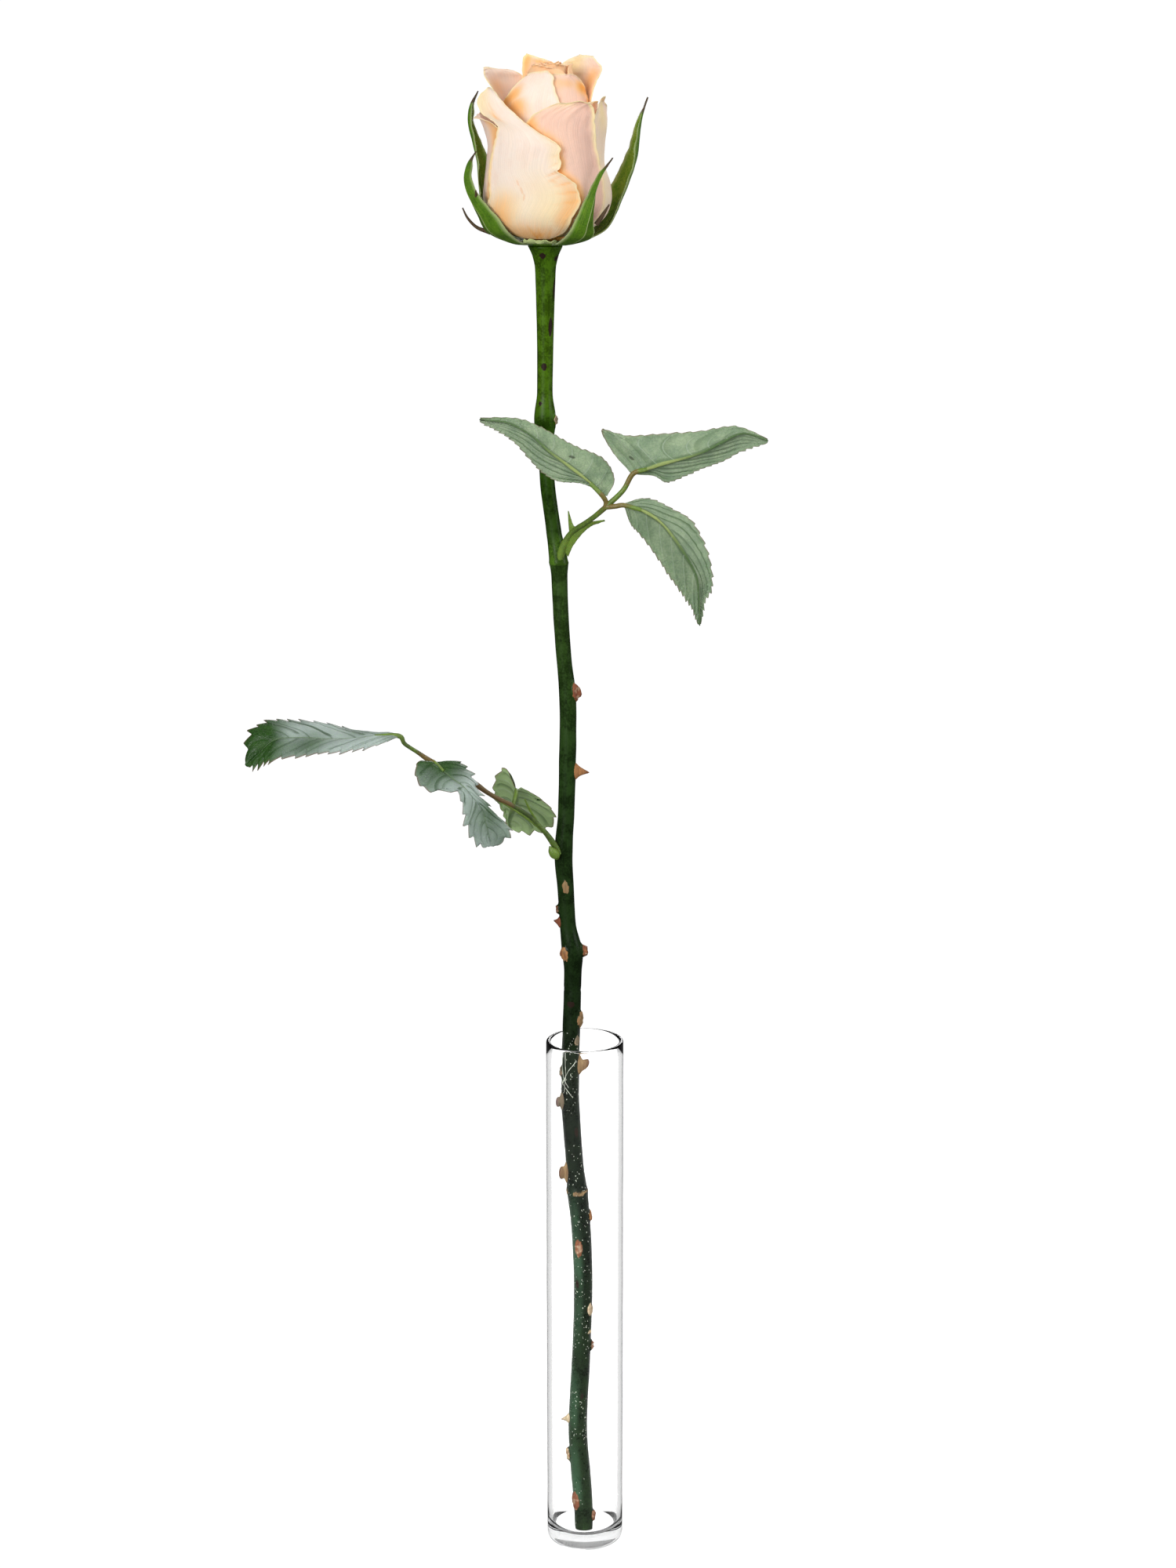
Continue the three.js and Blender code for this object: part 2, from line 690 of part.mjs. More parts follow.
// Leaves. A leaflet's rows run from foot to tip: one edge, the midrib, the other edge, each [x, y, z]

const TOOTH = 1.1;
const TOOTH_LEAN = 0.7;
const TOOTH_PITCH = 3.8;

// A leaflet with teeth cut along both edges, a pair of grid rows to a tooth
function leaflet(rows) {
  const flat = rows.map((row) => row.flat());
  const rib = rows.map((row) => new THREE.Vector3(...row[1]));
  let length = 0;
  for (let i = 1; i < rib.length; i += 1) {
    length += rib[i].distanceTo(rib[i - 1]);
  }
  const teeth = Math.round(length / TOOTH_PITCH);
  const grid = [];
  for (let k = 0; k <= teeth * 2; k += 1) {
    const v = (Math.floor(k / 2) + (k % 2 ? 0.62 : 0)) / teeth;
    const at = through(flat, v);
    const [edgeA, middle, edgeB] = [0, 3, 6].map((n) => new THREE.Vector3(...at.slice(n, n + 3)));
    const ahead = new THREE.Vector3(...through(flat, v + 0.02).slice(3, 6)).sub(middle).normalize();
    const size = k % 2 ? TOOTH * Math.min(1, 4 * v, 5 * (1 - v)) : 0;
    for (const edge of [edgeA, edgeB]) {
      const out = edge.clone().sub(middle).normalize();
      edge.addScaledVector(out, size).addScaledVector(ahead, size * TOOTH_LEAN);
    }
    grid.push([
      edgeA,
      edgeA.clone().lerp(middle, 0.5),
      middle,
      edgeB.clone().lerp(middle, 0.5),
      edgeB,
    ]);
  }
  return blade(grid, LEAF_THICKNESS);
}

// A stipule or a wing along a stalk, between two edges
function wing(rows, steps = 6) {
  const flat = rows.map((row) => row.flat());
  const grid = [];
  for (let i = 0; i <= steps; i += 1) {
    const at = through(flat, i / steps);
    grid.push([new THREE.Vector3(...at.slice(0, 3)), new THREE.Vector3(...at.slice(3, 6))]);
  }
  return blade(grid, LEAF_THICKNESS);
}

const UPPER_JOINT = [7.5, -6.5, 399.5, 1];
const UPPER_LEAF = {
  stalks: [
    [
      besideStem(375.5, 38, 1.1), besideStem(380.5, 42, 1.4), [-5, 5, 387, 1.1], [-2.6, 2.4, 390, 1],
      [0, 0, 392.5, 0.95], [3.5, -3, 395.5, 0.95], UPPER_JOINT,
    ],
    [UPPER_JOINT, [7.5, -7, 401.5, 0.9], [6, -8, 404, 0.85], [2, -7.2, 408, 0.7]],
    [UPPER_JOINT, [13.5, -7.5, 405.5, 0.9], [17, -8.2, 411.5, 0.9], [22, -10.2, 413.5, 0.7]],
    [UPPER_JOINT, [11, -8, 400, 0.9], [14, -9, 400.5, 0.85], [20, -10.2, 399, 0.7]],
  ],
  leaflets: [
    [
      [[8, -7, 403.5], [5.5, -8, 404.5], [4.5, -7.5, 405.5]],
      [[10.5, -2, 408.5], [2, -7, 408], [-1.5, -4, 407.5]],
      [[6.5, 0, 415.5], [-5, -6, 413.5], [-10.5, -1.5, 408.5]],
      [[-3.5, 0.5, 420], [-12.5, -5, 419], [-17, -0.5, 413]],
      [[-12.5, 1, 425], [-19, -3.5, 424.5], [-24, 0, 421]],
      [[-23, 0.5, 429.5], [-27, -1.5, 428.5], [-30.5, 0.5, 425.5]],
      [[-36.8, 1, 430], [-37, 1, 429.3], [-37, 1, 428.6]],
    ],
    [
      [[16, -7, 411.8], [17, -8, 412], [18.2, -7.5, 411.3]],
      [[10, -5, 418.5], [22, -10, 413.5], [24, -7, 410.5]],
      [[6, -5, 426.5], [27.5, -12, 415.5], [28.5, -8, 408.5]],
      [[15, -6, 424.5], [34.5, -13, 417.5], [35, -9, 411]],
      [[27.5, -8, 425.5], [41.5, -14, 420], [41.5, -10, 414]],
      [[41, -9, 426.5], [48, -14, 423.5], [48.5, -10.5, 416.5]],
      [[53, -11, 428.5], [55.5, -13, 426.5], [56, -11, 420.5]],
      [[63.8, -12, 424.4], [64, -12, 423.7], [63.8, -12, 423]],
    ],
    [
      [[14.3, -8.5, 401.3], [14, -9, 400.5], [14, -8.5, 399.5]],
      [[21, -6, 402.5], [20, -10, 399], [16, -7, 394]],
      [[29, -6, 399.5], [26, -11, 395.5], [19.5, -6.5, 390]],
      [[37.5, -6, 394.5], [30.5, -11, 390.5], [25.5, -6, 382]],
      [[43, -5, 383.5], [35.5, -10, 383], [30.5, -6, 374.5]],
      [[45, -4, 371.5], [39.5, -8, 375], [35, -5, 368]],
      [[42.5, -4, 365], [40.5, -6, 366.5], [38.5, -4.5, 363]],
      [[41.4, -4, 357], [41, -4, 356.5], [40.4, -4, 356.8]],
    ],
  ],
  wings: [
    [
      [[-5.4, 5.6, 384], [-4.4, 5.2, 383]],
      [[-3.6, 3.5, 389], [-3.2, 4, 386.5]],
      [[0, 0, 392.4], [0, 1, 390.2]],
      [[3.4, -2.9, 395.3], [3.6, -3, 393.2]],
      [[7, -6, 394.9], [7.1, -6, 394.1]],
    ],
    [
      [[-5, 5, 387], [-2.6, 2.4, 390]],
      [[-5.6, 4.7, 391], [-4.4, 3.8, 391.5]],
      [[-6.3, 4, 396.6], [-5.6, 4, 396.6]],
    ],
  ],
};

const LOWER_LEAF = {
  stalks: [
    [
      besideStem(268.5, -42, 1.2), besideStem(273, -46, 1.3), [-14.5, 5.4, 278.5, 1.1], [-20.5, 4, 284.5, 1],
      [-26.5, 3, 288.5, 0.95], [-31, 2, 291, 0.9], [-35.5, 1, 294, 0.85], [-40, 0, 297.5, 1.1],
      [-47, -1.5, 301.5, 0.8], [-55, -4, 306.5, 1], [-60, -6, 310.5, 0.75], [-64.5, -7.5, 314, 0.75],
      [-66.5, -8, 317, 0.9], [-75, -8, 317, 0.6],
    ],
    [[-55, -4, 306.5, 0.9], [-54, -7, 307, 0.8], [-50.5, -10, 304.5, 0.6]],
    [
      [-26, 3, 288.5, 0.8], [-25.5, 6, 290, 0.7], [-25, 9, 291.5, 0.7],
      [-25, 12, 292, 0.7], [-25.5, 15, 289, 0.6],
    ],
  ],
  leaflets: [
    [
      [[-67, -7, 317.5], [-66.5, -8, 317], [-67, -9, 316.5]],
      [[-74, -2, 316.5], [-75, -8, 317], [-75, -13, 314.5]],
      [[-83.5, 2, 317], [-84.5, -7, 316], [-83.5, -15, 313.5]],
      [[-95, 5, 318.5], [-94, -6, 315.5], [-92.5, -15.5, 313]],
      [[-105, 6, 319], [-103, -5, 315.5], [-101, -14, 311.5]],
      [[-113.5, 4, 319.5], [-111, -5, 315], [-111, -12, 310]],
      [[-119.5, -1, 316.5], [-116.5, -6, 310.5], [-116, -9, 308]],
      [[-121.8, -6.6, 306], [-121.5, -7, 305.5], [-121, -7.4, 305.5]],
    ],
    [
      [[-55, -7, 307.5], [-54, -7, 307], [-53.5, -6, 307]],
      [[-59.5, -10, 308], [-50.5, -10, 304.5], [-46.5, -5, 307]],
      [[-60, -14, 303.5], [-46.5, -13, 302], [-43, -6, 304.5]],
      [[-55.5, -16.5, 299.5], [-43, -15, 300], [-40, -10, 301]],
      [[-45.5, -17, 299], [-40, -16, 296.5], [-38, -14, 296.5]],
      [[-43, -17, 292.5], [-36.5, -17, 292], [-33.5, -15.5, 291.5]],
      [[-41.5, -17.5, 287], [-35.5, -18, 288], [-29, -16, 287.5]],
      [[-38.5, -18, 281], [-34.5, -18.5, 284], [-27.5, -17, 283.5]],
      [[-34.2, -19, 279], [-33.5, -19, 279], [-32.7, -19, 279]],
    ],
    [
      [[-25.5, 11, 293.5], [-25, 12, 292], [-23.5, 14, 292.5]],
      [[-28.5, 13, 299.5], [-25.5, 15, 289], [-19, 16, 289.5]],
      [[-32, 16, 296], [-26, 18, 285.5], [-13.5, 18, 284.5]],
      [[-33, 19, 289.5], [-27, 21, 282], [-11.5, 20.5, 279.5]],
      [[-31, 22, 283], [-28, 24, 278.5], [-15.5, 23, 274.5]],
      [[-29.5, 25, 278.5], [-28, 26, 276], [-22, 25.5, 273]],
      [[-28.5, 28, 273.5], [-28, 28, 273], [-27.4, 28, 273]],
    ],
  ],
  wings: [
    [
      [[-30.5, 2, 290.8], [-30.5, 1.5, 289.9]],
      [[-24.5, 3.2, 287.4], [-24.5, 2.6, 285.8]],
      [[-19, 4.2, 283], [-18.6, 4, 281]],
      [[-14.4, 5.3, 278.2], [-13, 5.4, 275.5]],
    ],
    [
      [[-14.5, 5.4, 278.5], [-17, 4.6, 281.2]],
      [[-18.6, 4.3, 285], [-20.2, 4, 286.2]],
      [[-21.6, 2.4, 291.2], [-22, 2.2, 291]],
    ],
  ],
};

function leaf({ stalks, leaflets, wings }) {
  return fuse([
    ...stalks.map((rows) => tube(rows, Math.round(rows.length * 1.5))),
    ...leaflets.map((rows) => leaflet(rows)),
    ...wings.map((rows) => wing(rows)),
  ]);
}

const group = new THREE.Group();
group.add(
  part('vase', vase(), 0xe6ecec, 0.05, { transparent: true, opacity: 0.35 }),
  part('stem', stem(), 0x24481f, 0.45),
  part('calyx', calyx(), 0x5d8a3a, 0.6),
  part('bloom', bloom(), 0xf6d2b4, 0.6),
  part('upper_leaf', leaf(UPPER_LEAF), 0x7d9a80, 0.55),
  part('lower_leaf', leaf(LOWER_LEAF), 0x5b7f5f, 0.5),
);

export default group;
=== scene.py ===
"""A cut rose standing in a slim glass cylinder vase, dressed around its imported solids.

Lengths in the tables are millimetres and become metres where a mesh is made. The bud is set out
round its own axis in degrees, radius and height: 0 degrees faces -Y and 90 degrees faces +X.
"""

import logging
import math
from dataclasses import dataclass, field
from enum import Enum
from typing import Sequence

import bpy
import numpy as np
from bpy.types import Material, Mesh, Node, NodeSocket, NodeTree, Object
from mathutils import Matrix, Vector, noise
from mathutils.bvhtree import BVHTree
from mathutils.kdtree import KDTree


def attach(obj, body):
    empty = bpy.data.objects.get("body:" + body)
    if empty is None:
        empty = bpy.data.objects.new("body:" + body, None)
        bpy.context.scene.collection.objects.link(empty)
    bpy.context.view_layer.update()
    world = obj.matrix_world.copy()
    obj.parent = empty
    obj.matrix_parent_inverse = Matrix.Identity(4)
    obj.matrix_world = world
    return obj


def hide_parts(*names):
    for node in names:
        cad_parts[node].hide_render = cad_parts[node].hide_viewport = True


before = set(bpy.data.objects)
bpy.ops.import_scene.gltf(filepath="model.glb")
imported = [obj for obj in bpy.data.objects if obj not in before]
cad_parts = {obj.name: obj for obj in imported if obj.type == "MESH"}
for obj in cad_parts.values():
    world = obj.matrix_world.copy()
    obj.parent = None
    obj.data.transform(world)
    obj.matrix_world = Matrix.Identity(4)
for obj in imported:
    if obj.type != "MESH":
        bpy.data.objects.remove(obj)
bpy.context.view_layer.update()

MM = 0.001
LOG = logging.getLogger("rose")

Array = np.ndarray
Rows = Sequence[Sequence[float]]
Colour = tuple[float, float, float]

# The bud's axis, and the height where the calyx sits on the stem's flared top

BUD_AXIS = np.array([-13.8, 12.0, 0.0])
STEM_TOP = 489.2
CALYX_BASE = 489.5
BUD_FOOT = BUD_AXIS + np.array([0.0, 0.0, CALYX_BASE])

# How many side veins a leaflet has on each side, in its shape and in its finish

VEINS_ON_BLADE = 8.0


# Curves through given points


def through(rows: Rows | Array, place: Array) -> Array:
    """Reads a smooth curve through evenly spaced rows.

    Args:
        rows: The rows of numbers that the curve passes through.
        place: Where to read it, from 0 at the first row to 1 at the last.

    Returns:
        One row of numbers for each place.
    """
    rows = np.asarray(rows, float)
    last = len(rows) - 1
    ends = np.concatenate([[2 * rows[0] - rows[1]], rows, [2 * rows[-1] - rows[-2]]])
    spot = np.clip(np.asarray(place, float), 0.0, 1.0) * last
    i = np.minimum(spot.astype(int), last - 1)
    f = (spot - i).reshape(spot.shape + (1,) * (rows.ndim - 1))
    a, b, c, d = (ends[i + k] for k in range(4))
    return 0.5 * (2 * b + (c - a) * f + (2 * a - 5 * b + 4 * c - d) * f**2 + (3 * b - a - 3 * c + d) * f**3)


def at_key(rows: Rows, keys: Array) -> Array:
    """Reads the same kind of curve at values of the rows' first number.

    Args:
        rows: Rows whose first number rises.
        keys: The values to read it at.

    Returns:
        One row of numbers for each key.
    """
    first = np.array([row[0] for row in rows])
    keys = np.asarray(keys, float)
    last = len(rows) - 1
    i = np.clip(np.searchsorted(first, keys, side="left") - 1, 0, last - 1)
    f = np.clip((keys - first[i]) / (first[i + 1] - first[i]), 0.0, 1.0)
    return through(rows, (i + f) / last)


def outward(degrees: Array | float) -> Array:
    """Gives the level direction at an angle round the stem or the bud."""
    angle = np.radians(degrees)
    return np.stack([np.sin(angle), -np.cos(angle), np.zeros_like(angle)], axis=-1)


def on_bud(polar: Array) -> Array:
    """Gives points round the bud from degrees, radius and height above the calyx's base."""
    degrees, radius, height = np.moveaxis(polar, -1, 0)
    point = BUD_AXIS + outward(degrees) * radius[..., None]
    point[..., 2] += CALYX_BASE + height
    return point


def unit(vectors: Array) -> Array:
    """Scales vectors to length one."""
    return vectors / np.maximum(np.linalg.norm(vectors, axis=-1, keepdims=True), 1e-9)


def rise(low: float, high: float, value: Array) -> Array:
    """Goes smoothly from 0 at low to 1 at high."""
    f = np.clip((value - low) / (high - low), 0.0, 1.0)
    return f * f * (3 - 2 * f)


def wobble(points: Array, pitch: float, seed: int) -> Array:
    """Reads smooth noise, about -1 to 1, at points in millimetres.

    Args:
        points: The points, their last axis x, y, z.
        pitch: The size of the noise's bumps.
        seed: Which noise to read.

    Returns:
        One value for each point.
    """
    flat = (points / pitch + 17.31 * seed).reshape(-1, 3)
    values = [noise.noise(row) for row in flat.tolist()]
    return np.array(values).reshape(points.shape[:-1])


# Closed meshes


def places(lengths: int, widths: int) -> tuple[Array, Array]:
    """Gives the places along a grid as a column and across it as a row, each from 0 to 1."""
    return np.linspace(0, 1, lengths + 1)[:, None], np.linspace(0, 1, widths + 1)[None, :]


def normals(grid: Array) -> Array:
    """Gives the direction in which a sheet's first face looks at each of its points."""
    return unit(np.cross(np.gradient(grid, axis=1), np.gradient(grid, axis=0)))


def quads(rows: int, columns: int) -> Array:
    """Numbers the corners of a sheet's four-sided faces."""
    index = np.arange(rows * columns).reshape(rows, columns)
    corners = (index[:-1, :-1], index[:-1, 1:], index[1:, 1:], index[1:, :-1])
    return np.stack(corners, axis=-1).reshape(-1, 4)


def flat_uv(rows: int, columns: int) -> Array:
    """Gives the UV of a grid's points, u across the grid and v along it."""
    v, u = np.meshgrid(np.linspace(0, 1, rows), np.linspace(0, 1, columns), indexing="ij")
    return np.stack([u, v], axis=-1).reshape(-1, 2)


@dataclass
class Shell:
    """One closed surface: points in millimetres, faces, and UV and named values at each point."""

    points: Array
    faces: list[list[int]]
    uv: Array
    values: dict[str, Array] = field(default_factory=dict)


def blade(
    grid: Array,
    first: Array | float,
    second: Array | float,
    values: dict[str, object] | None = None,
) -> Shell:
    """Gives a thin sheet two faces and closed edges.

    Args:
        grid: Points of the sheet, rows by columns by x, y, z.
        first: How far the first face stands off the sheet, along (across x along).
        second: How far the second face stands off it, the other way.
        values: Named values at the grid's points. A pair gives each face its own.

    Returns:
        The closed shell. Its value second_face is 1 on the second face.
    """
    rows, columns = grid.shape[:2]
    count = rows * columns
    normal = normals(grid)
    lift = np.broadcast_to(first, (rows, columns))[..., None]
    drop = np.broadcast_to(second, (rows, columns))[..., None]
    points = np.concatenate([(grid + normal * lift).reshape(-1, 3), (grid - normal * drop).reshape(-1, 3)])
    index = np.arange(count).reshape(rows, columns)
    upper = quads(rows, columns)
    lower = upper[:, ::-1] + count
    ring = np.concatenate([index[0], index[1:, -1], index[-1, -2::-1], index[-2:0:-1, 0]])
    after = np.roll(ring, -1)
    rim = np.stack([after, ring, ring + count, after + count], axis=-1)
    uv = flat_uv(rows, columns)
    made = {"second_face": np.repeat([0.0, 1.0], count)}
    for name, value in (values or {}).items():
        pair = value if isinstance(value, tuple) else (value, value)
        made[name] = np.concatenate([np.broadcast_to(half, (rows, columns)).ravel() for half in pair])
    return Shell(points, np.concatenate([upper, lower, rim]).tolist(), np.concatenate([uv, uv]), made)


def loft(rings: Array, values: dict[str, Array] | None = None) -> Shell:
    """Joins rings of points in order and closes both ends with a middle point.

    Args:
        rings: Rings by points by x, y, z, each ring turning the same way.
        values: Named values at the rings' points.

    Returns:
        The closed shell.
    """
    steps, sides = rings.shape[:2]
    count = steps * sides
    middles = rings[[0, -1]].mean(axis=1)
    index = np.arange(count).reshape(steps, sides)
    after = np.roll(index, -1, axis=1)
    walls = np.stack([index[:-1], after[:-1], after[1:], index[1:]], axis=-1).reshape(-1, 4).tolist()
    foot = [[int(b), int(a), count] for a, b in zip(index[0], after[0])]
    head = [[int(a), int(b), count + 1] for a, b in zip(index[-1], after[-1])]
    uv = np.concatenate([flat_uv(steps, sides), [[0.5, 0.0], [0.5, 1.0]]])
    made = {}
    for name, value in (values or {}).items():
        value = np.broadcast_to(value, (steps, sides))
        ends = [value[end].mean(keepdims=True) for end in (0, -1)]
        made[name] = np.concatenate([value.ravel(), *ends])
    return Shell(np.concatenate([rings.reshape(-1, 3), middles]), walls + foot + head, uv, made)


def lathe(profile: Rows, sides: int, centre: Array) -> Shell:
    """Turns a profile of radius and height, from axis to axis, round an upright line.

    Args:
        profile: Rows of radius and height, the outside going up.
        sides: How many facets go round.
        centre: The foot of the line.

    Returns:
        The closed shell.
    """
    angles = np.arange(sides) * 360 / sides
    rings = [centre + outward(angles) * r + np.array([0, 0, z]) for r, z in profile[1:-1]]
    shell = loft(np.array(rings))
    shell.points[-2] = centre + np.array([0, 0, profile[0][1]])
    shell.points[-1] = centre + np.array([0, 0, profile[-1][1]])
    return shell


def add_object(name: str, data: object) -> Object:
    """Makes an object and links it to the scene."""
    made = bpy.data.objects.new(name, data)
    bpy.context.scene.collection.objects.link(made)
    return made


def keep_values(mesh: Mesh, name: str, values: Array) -> None:
    """Keeps a number or a vector for each of a mesh's points under a name."""
    kind, slot = ("FLOAT", "value") if values.ndim == 1 else ("FLOAT_VECTOR", "vector")
    mesh.attributes.new(name, kind, "POINT").data.foreach_set(slot, values.astype(np.float32).ravel())


def mesh_object(name: str, shells: Sequence[Shell], material: Material) -> Object:
    """Makes one smooth mesh object, at the origin, from shells.

    Args:
        name: The object's name.
        shells: What it is made of.
        material: Its finish.

    Returns:
        The object, linked to the scene.
    """
    mesh = bpy.data.meshes.new(name)
    starts = np.cumsum([0] + [len(shell.points) for shell in shells]).tolist()
    faces = [[i + start for i in face] for shell, start in zip(shells, starts) for face in shell.faces]
    mesh.from_pydata((np.concatenate([shell.points for shell in shells]) * MM).tolist(), [], faces)
    corner = np.empty(len(mesh.loops), np.int32)
    mesh.loops.foreach_get("vertex_index", corner)
    corner_uv = np.concatenate([shell.uv for shell in shells])[corner]
    mesh.uv_layers.new(name="UVMap").data.foreach_set("uv", corner_uv.astype(np.float32).ravel())
    for key in sorted({key for shell in shells for key in shell.values}):
        parts = [shell.values.get(key, np.zeros(len(shell.points))) for shell in shells]
        keep_values(mesh, key, np.concatenate(parts))
    mesh.shade_smooth()
    mesh.materials.append(material)
    return add_object(name, mesh)


def settle(piece: Object, node: str) -> Object:
    """Puts a finished piece in its node's place and reports it."""
    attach(piece, "root")
    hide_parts(node)
    LOG.info("%s stands for %s: %d faces", piece.name, node, len(piece.data.polygons))
    return piece


# Node trees


class Graph:
    """Short calls for adding and joining the nodes of one tree."""

    def __init__(self, tree: NodeTree) -> None:
        """Keeps the tree that the nodes go into."""
        self.tree = tree

    def feed(self, socket: NodeSocket, value: object) -> None:
        """Links a socket to another one, or sets its plain value."""
        if isinstance(value, NodeSocket):
            self.tree.links.new(value, socket)
        else:
            socket.default_value = value

    def node(self, kind: str, inputs: dict[str | int, object] | None = None, **settings: object) -> Node:
        """Adds a node.

        Args:
            kind: Blender's name for the kind of node.
            inputs: What feeds its inputs, by name or number.
            settings: The node's own options.

        Returns:
            The new node.
        """
        made = self.tree.nodes.new(kind)
        for key, value in settings.items():
            setattr(made, key, value)
        for key, value in (inputs or {}).items():
            self.feed(made.inputs[key], value)
        return made

    def reckon(self, operation: str, *values: object, clamp: bool = False) -> NodeSocket:
        """Adds a Math node and gives its result."""
        made = self.node("ShaderNodeMath", dict(enumerate(values)), operation=operation, use_clamp=clamp)
        return made.outputs[0]

    def plus(self, a: object, b: object, clamp: bool = False) -> NodeSocket:
        """Adds two values."""
        return self.reckon("ADD", a, b, clamp=clamp)

    def minus(self, a: object, b: object) -> NodeSocket:
        """Takes the second value from the first."""
        return self.reckon("SUBTRACT", a, b)

    def times(self, a: object, b: object) -> NodeSocket:
        """Multiplies two values."""
        return self.reckon("MULTIPLY", a, b)

    def times_plus(self, a: object, b: object, c: object) -> NodeSocket:
        """Multiplies the first two values and adds the third."""
        return self.reckon("MULTIPLY_ADD", a, b, c)

    def axis(self, vector: object, number: int) -> NodeSocket:
        """Gives a vector's x, y or z, numbered from 0."""
        return self.node("ShaderNodeSeparateXYZ", {0: vector}).outputs[number]

    def joined(self, x: object, y: object, z: object) -> NodeSocket:
        """Joins three values into a vector."""
        return self.node("ShaderNodeCombineXYZ", {0: x, 1: y, 2: z}).outputs[0]

    def vector(self, operation: str, *values: object) -> NodeSocket:
        """Adds a Vector Math node and gives its vector."""
        return self.node("ShaderNodeVectorMath", dict(enumerate(values)), operation=operation).outputs[0]

    def blend(self, share: object, a: object, b: object, mode: str = "MIX") -> NodeSocket:
        """Mixes two colours.

        Args:
            share: How much of the second colour shows, 0 to 1.
            a: The first colour.
            b: The second colour.
            mode: How they mix.

        Returns:
            The mixed colour.
        """
        made = self.node("ShaderNodeMix", {0: share}, data_type="RGBA", blend_type=mode, clamp_factor=True)
        for key, value in ((6, a), (7, b)):
            self.feed(made.inputs[key], value if isinstance(value, NodeSocket) else (*value, 1.0))
        return made.outputs[2]

    def coat(self, skin: object, colour: object, mask: object, share: float) -> NodeSocket:
        """Lays a share of a colour over a skin where a mask shows."""
        return self.blend(self.times(mask, share), skin, colour)

    def ease(
        self, value: object, low: float, high: float, to_low: float = 0.0, to_high: float = 1.0
    ) -> NodeSocket:
        """Maps a value smoothly from one range to another."""
        inputs = {0: value, 1: low, 2: high, 3: to_low, 4: to_high}
        return self.node("ShaderNodeMapRange", inputs, interpolation_type="SMOOTHSTEP").outputs[0]

    def noise(self, vector: object, scale: float, detail: float = 3.0) -> NodeSocket:
        """Adds a Noise Texture and gives its grey value."""
        inputs = {"Vector": vector, "Scale": scale, "Detail": detail}
        return self.node("ShaderNodeTexNoise", inputs).outputs[0]

    def ramp(self, value: object, stops: Sequence[tuple[float, Colour]]) -> NodeSocket:
        """Adds a Color Ramp with the given stops and gives its colour."""
        made = self.node("ShaderNodeValToRGB", {0: value})
        elements = made.color_ramp.elements
        while len(elements) < len(stops):
            elements.new(0.5)
        for element, (place, colour) in zip(elements, stops):
            element.position = place
            element.color = (*colour, 1.0)
        return made.outputs[0]

    def value(self, name: str) -> NodeSocket:
        """Reads one of the mesh's named values."""
        return self.node("ShaderNodeAttribute", attribute_name=name).outputs["Fac"]

    def group(self, tree: NodeTree, **inputs: object) -> Node:
        """Places a shared group, its inputs given by name with _ for a space."""
        made = self.node("ShaderNodeGroup", node_tree=tree)
        for key, value in inputs.items():
            self.feed(made.inputs[key.replace("_", " ")], value)
        return made

    def mask(self, tree: NodeTree, **inputs: object) -> NodeSocket:
        """Places a shared group and gives its first output."""
        return self.group(tree, **inputs).outputs[0]


def shared_group(
    name: str, inputs: Sequence[tuple[str, str, float]], outputs: Sequence[tuple[str, str]]
) -> tuple[Graph, Sequence[NodeSocket], Node]:
    """Starts a shader group.

    Args:
        name: The group's name.
        inputs: Name, kind and first value of each input.
        outputs: Name and kind of each output.

    Returns:
        The graph, what its input node gives, and its output node.
    """
    tree = bpy.data.node_groups.new(name, "ShaderNodeTree")
    for label, kind, start in inputs:
        socket = tree.interface.new_socket(label, in_out="INPUT", socket_type=f"NodeSocket{kind}")
        if kind == "Float":
            socket.default_value = start
    for label, kind in outputs:
        tree.interface.new_socket(label, in_out="OUTPUT", socket_type=f"NodeSocket{kind}")
    graph = Graph(tree)
    return graph, graph.node("NodeGroupInput").outputs, graph.node("NodeGroupOutput")


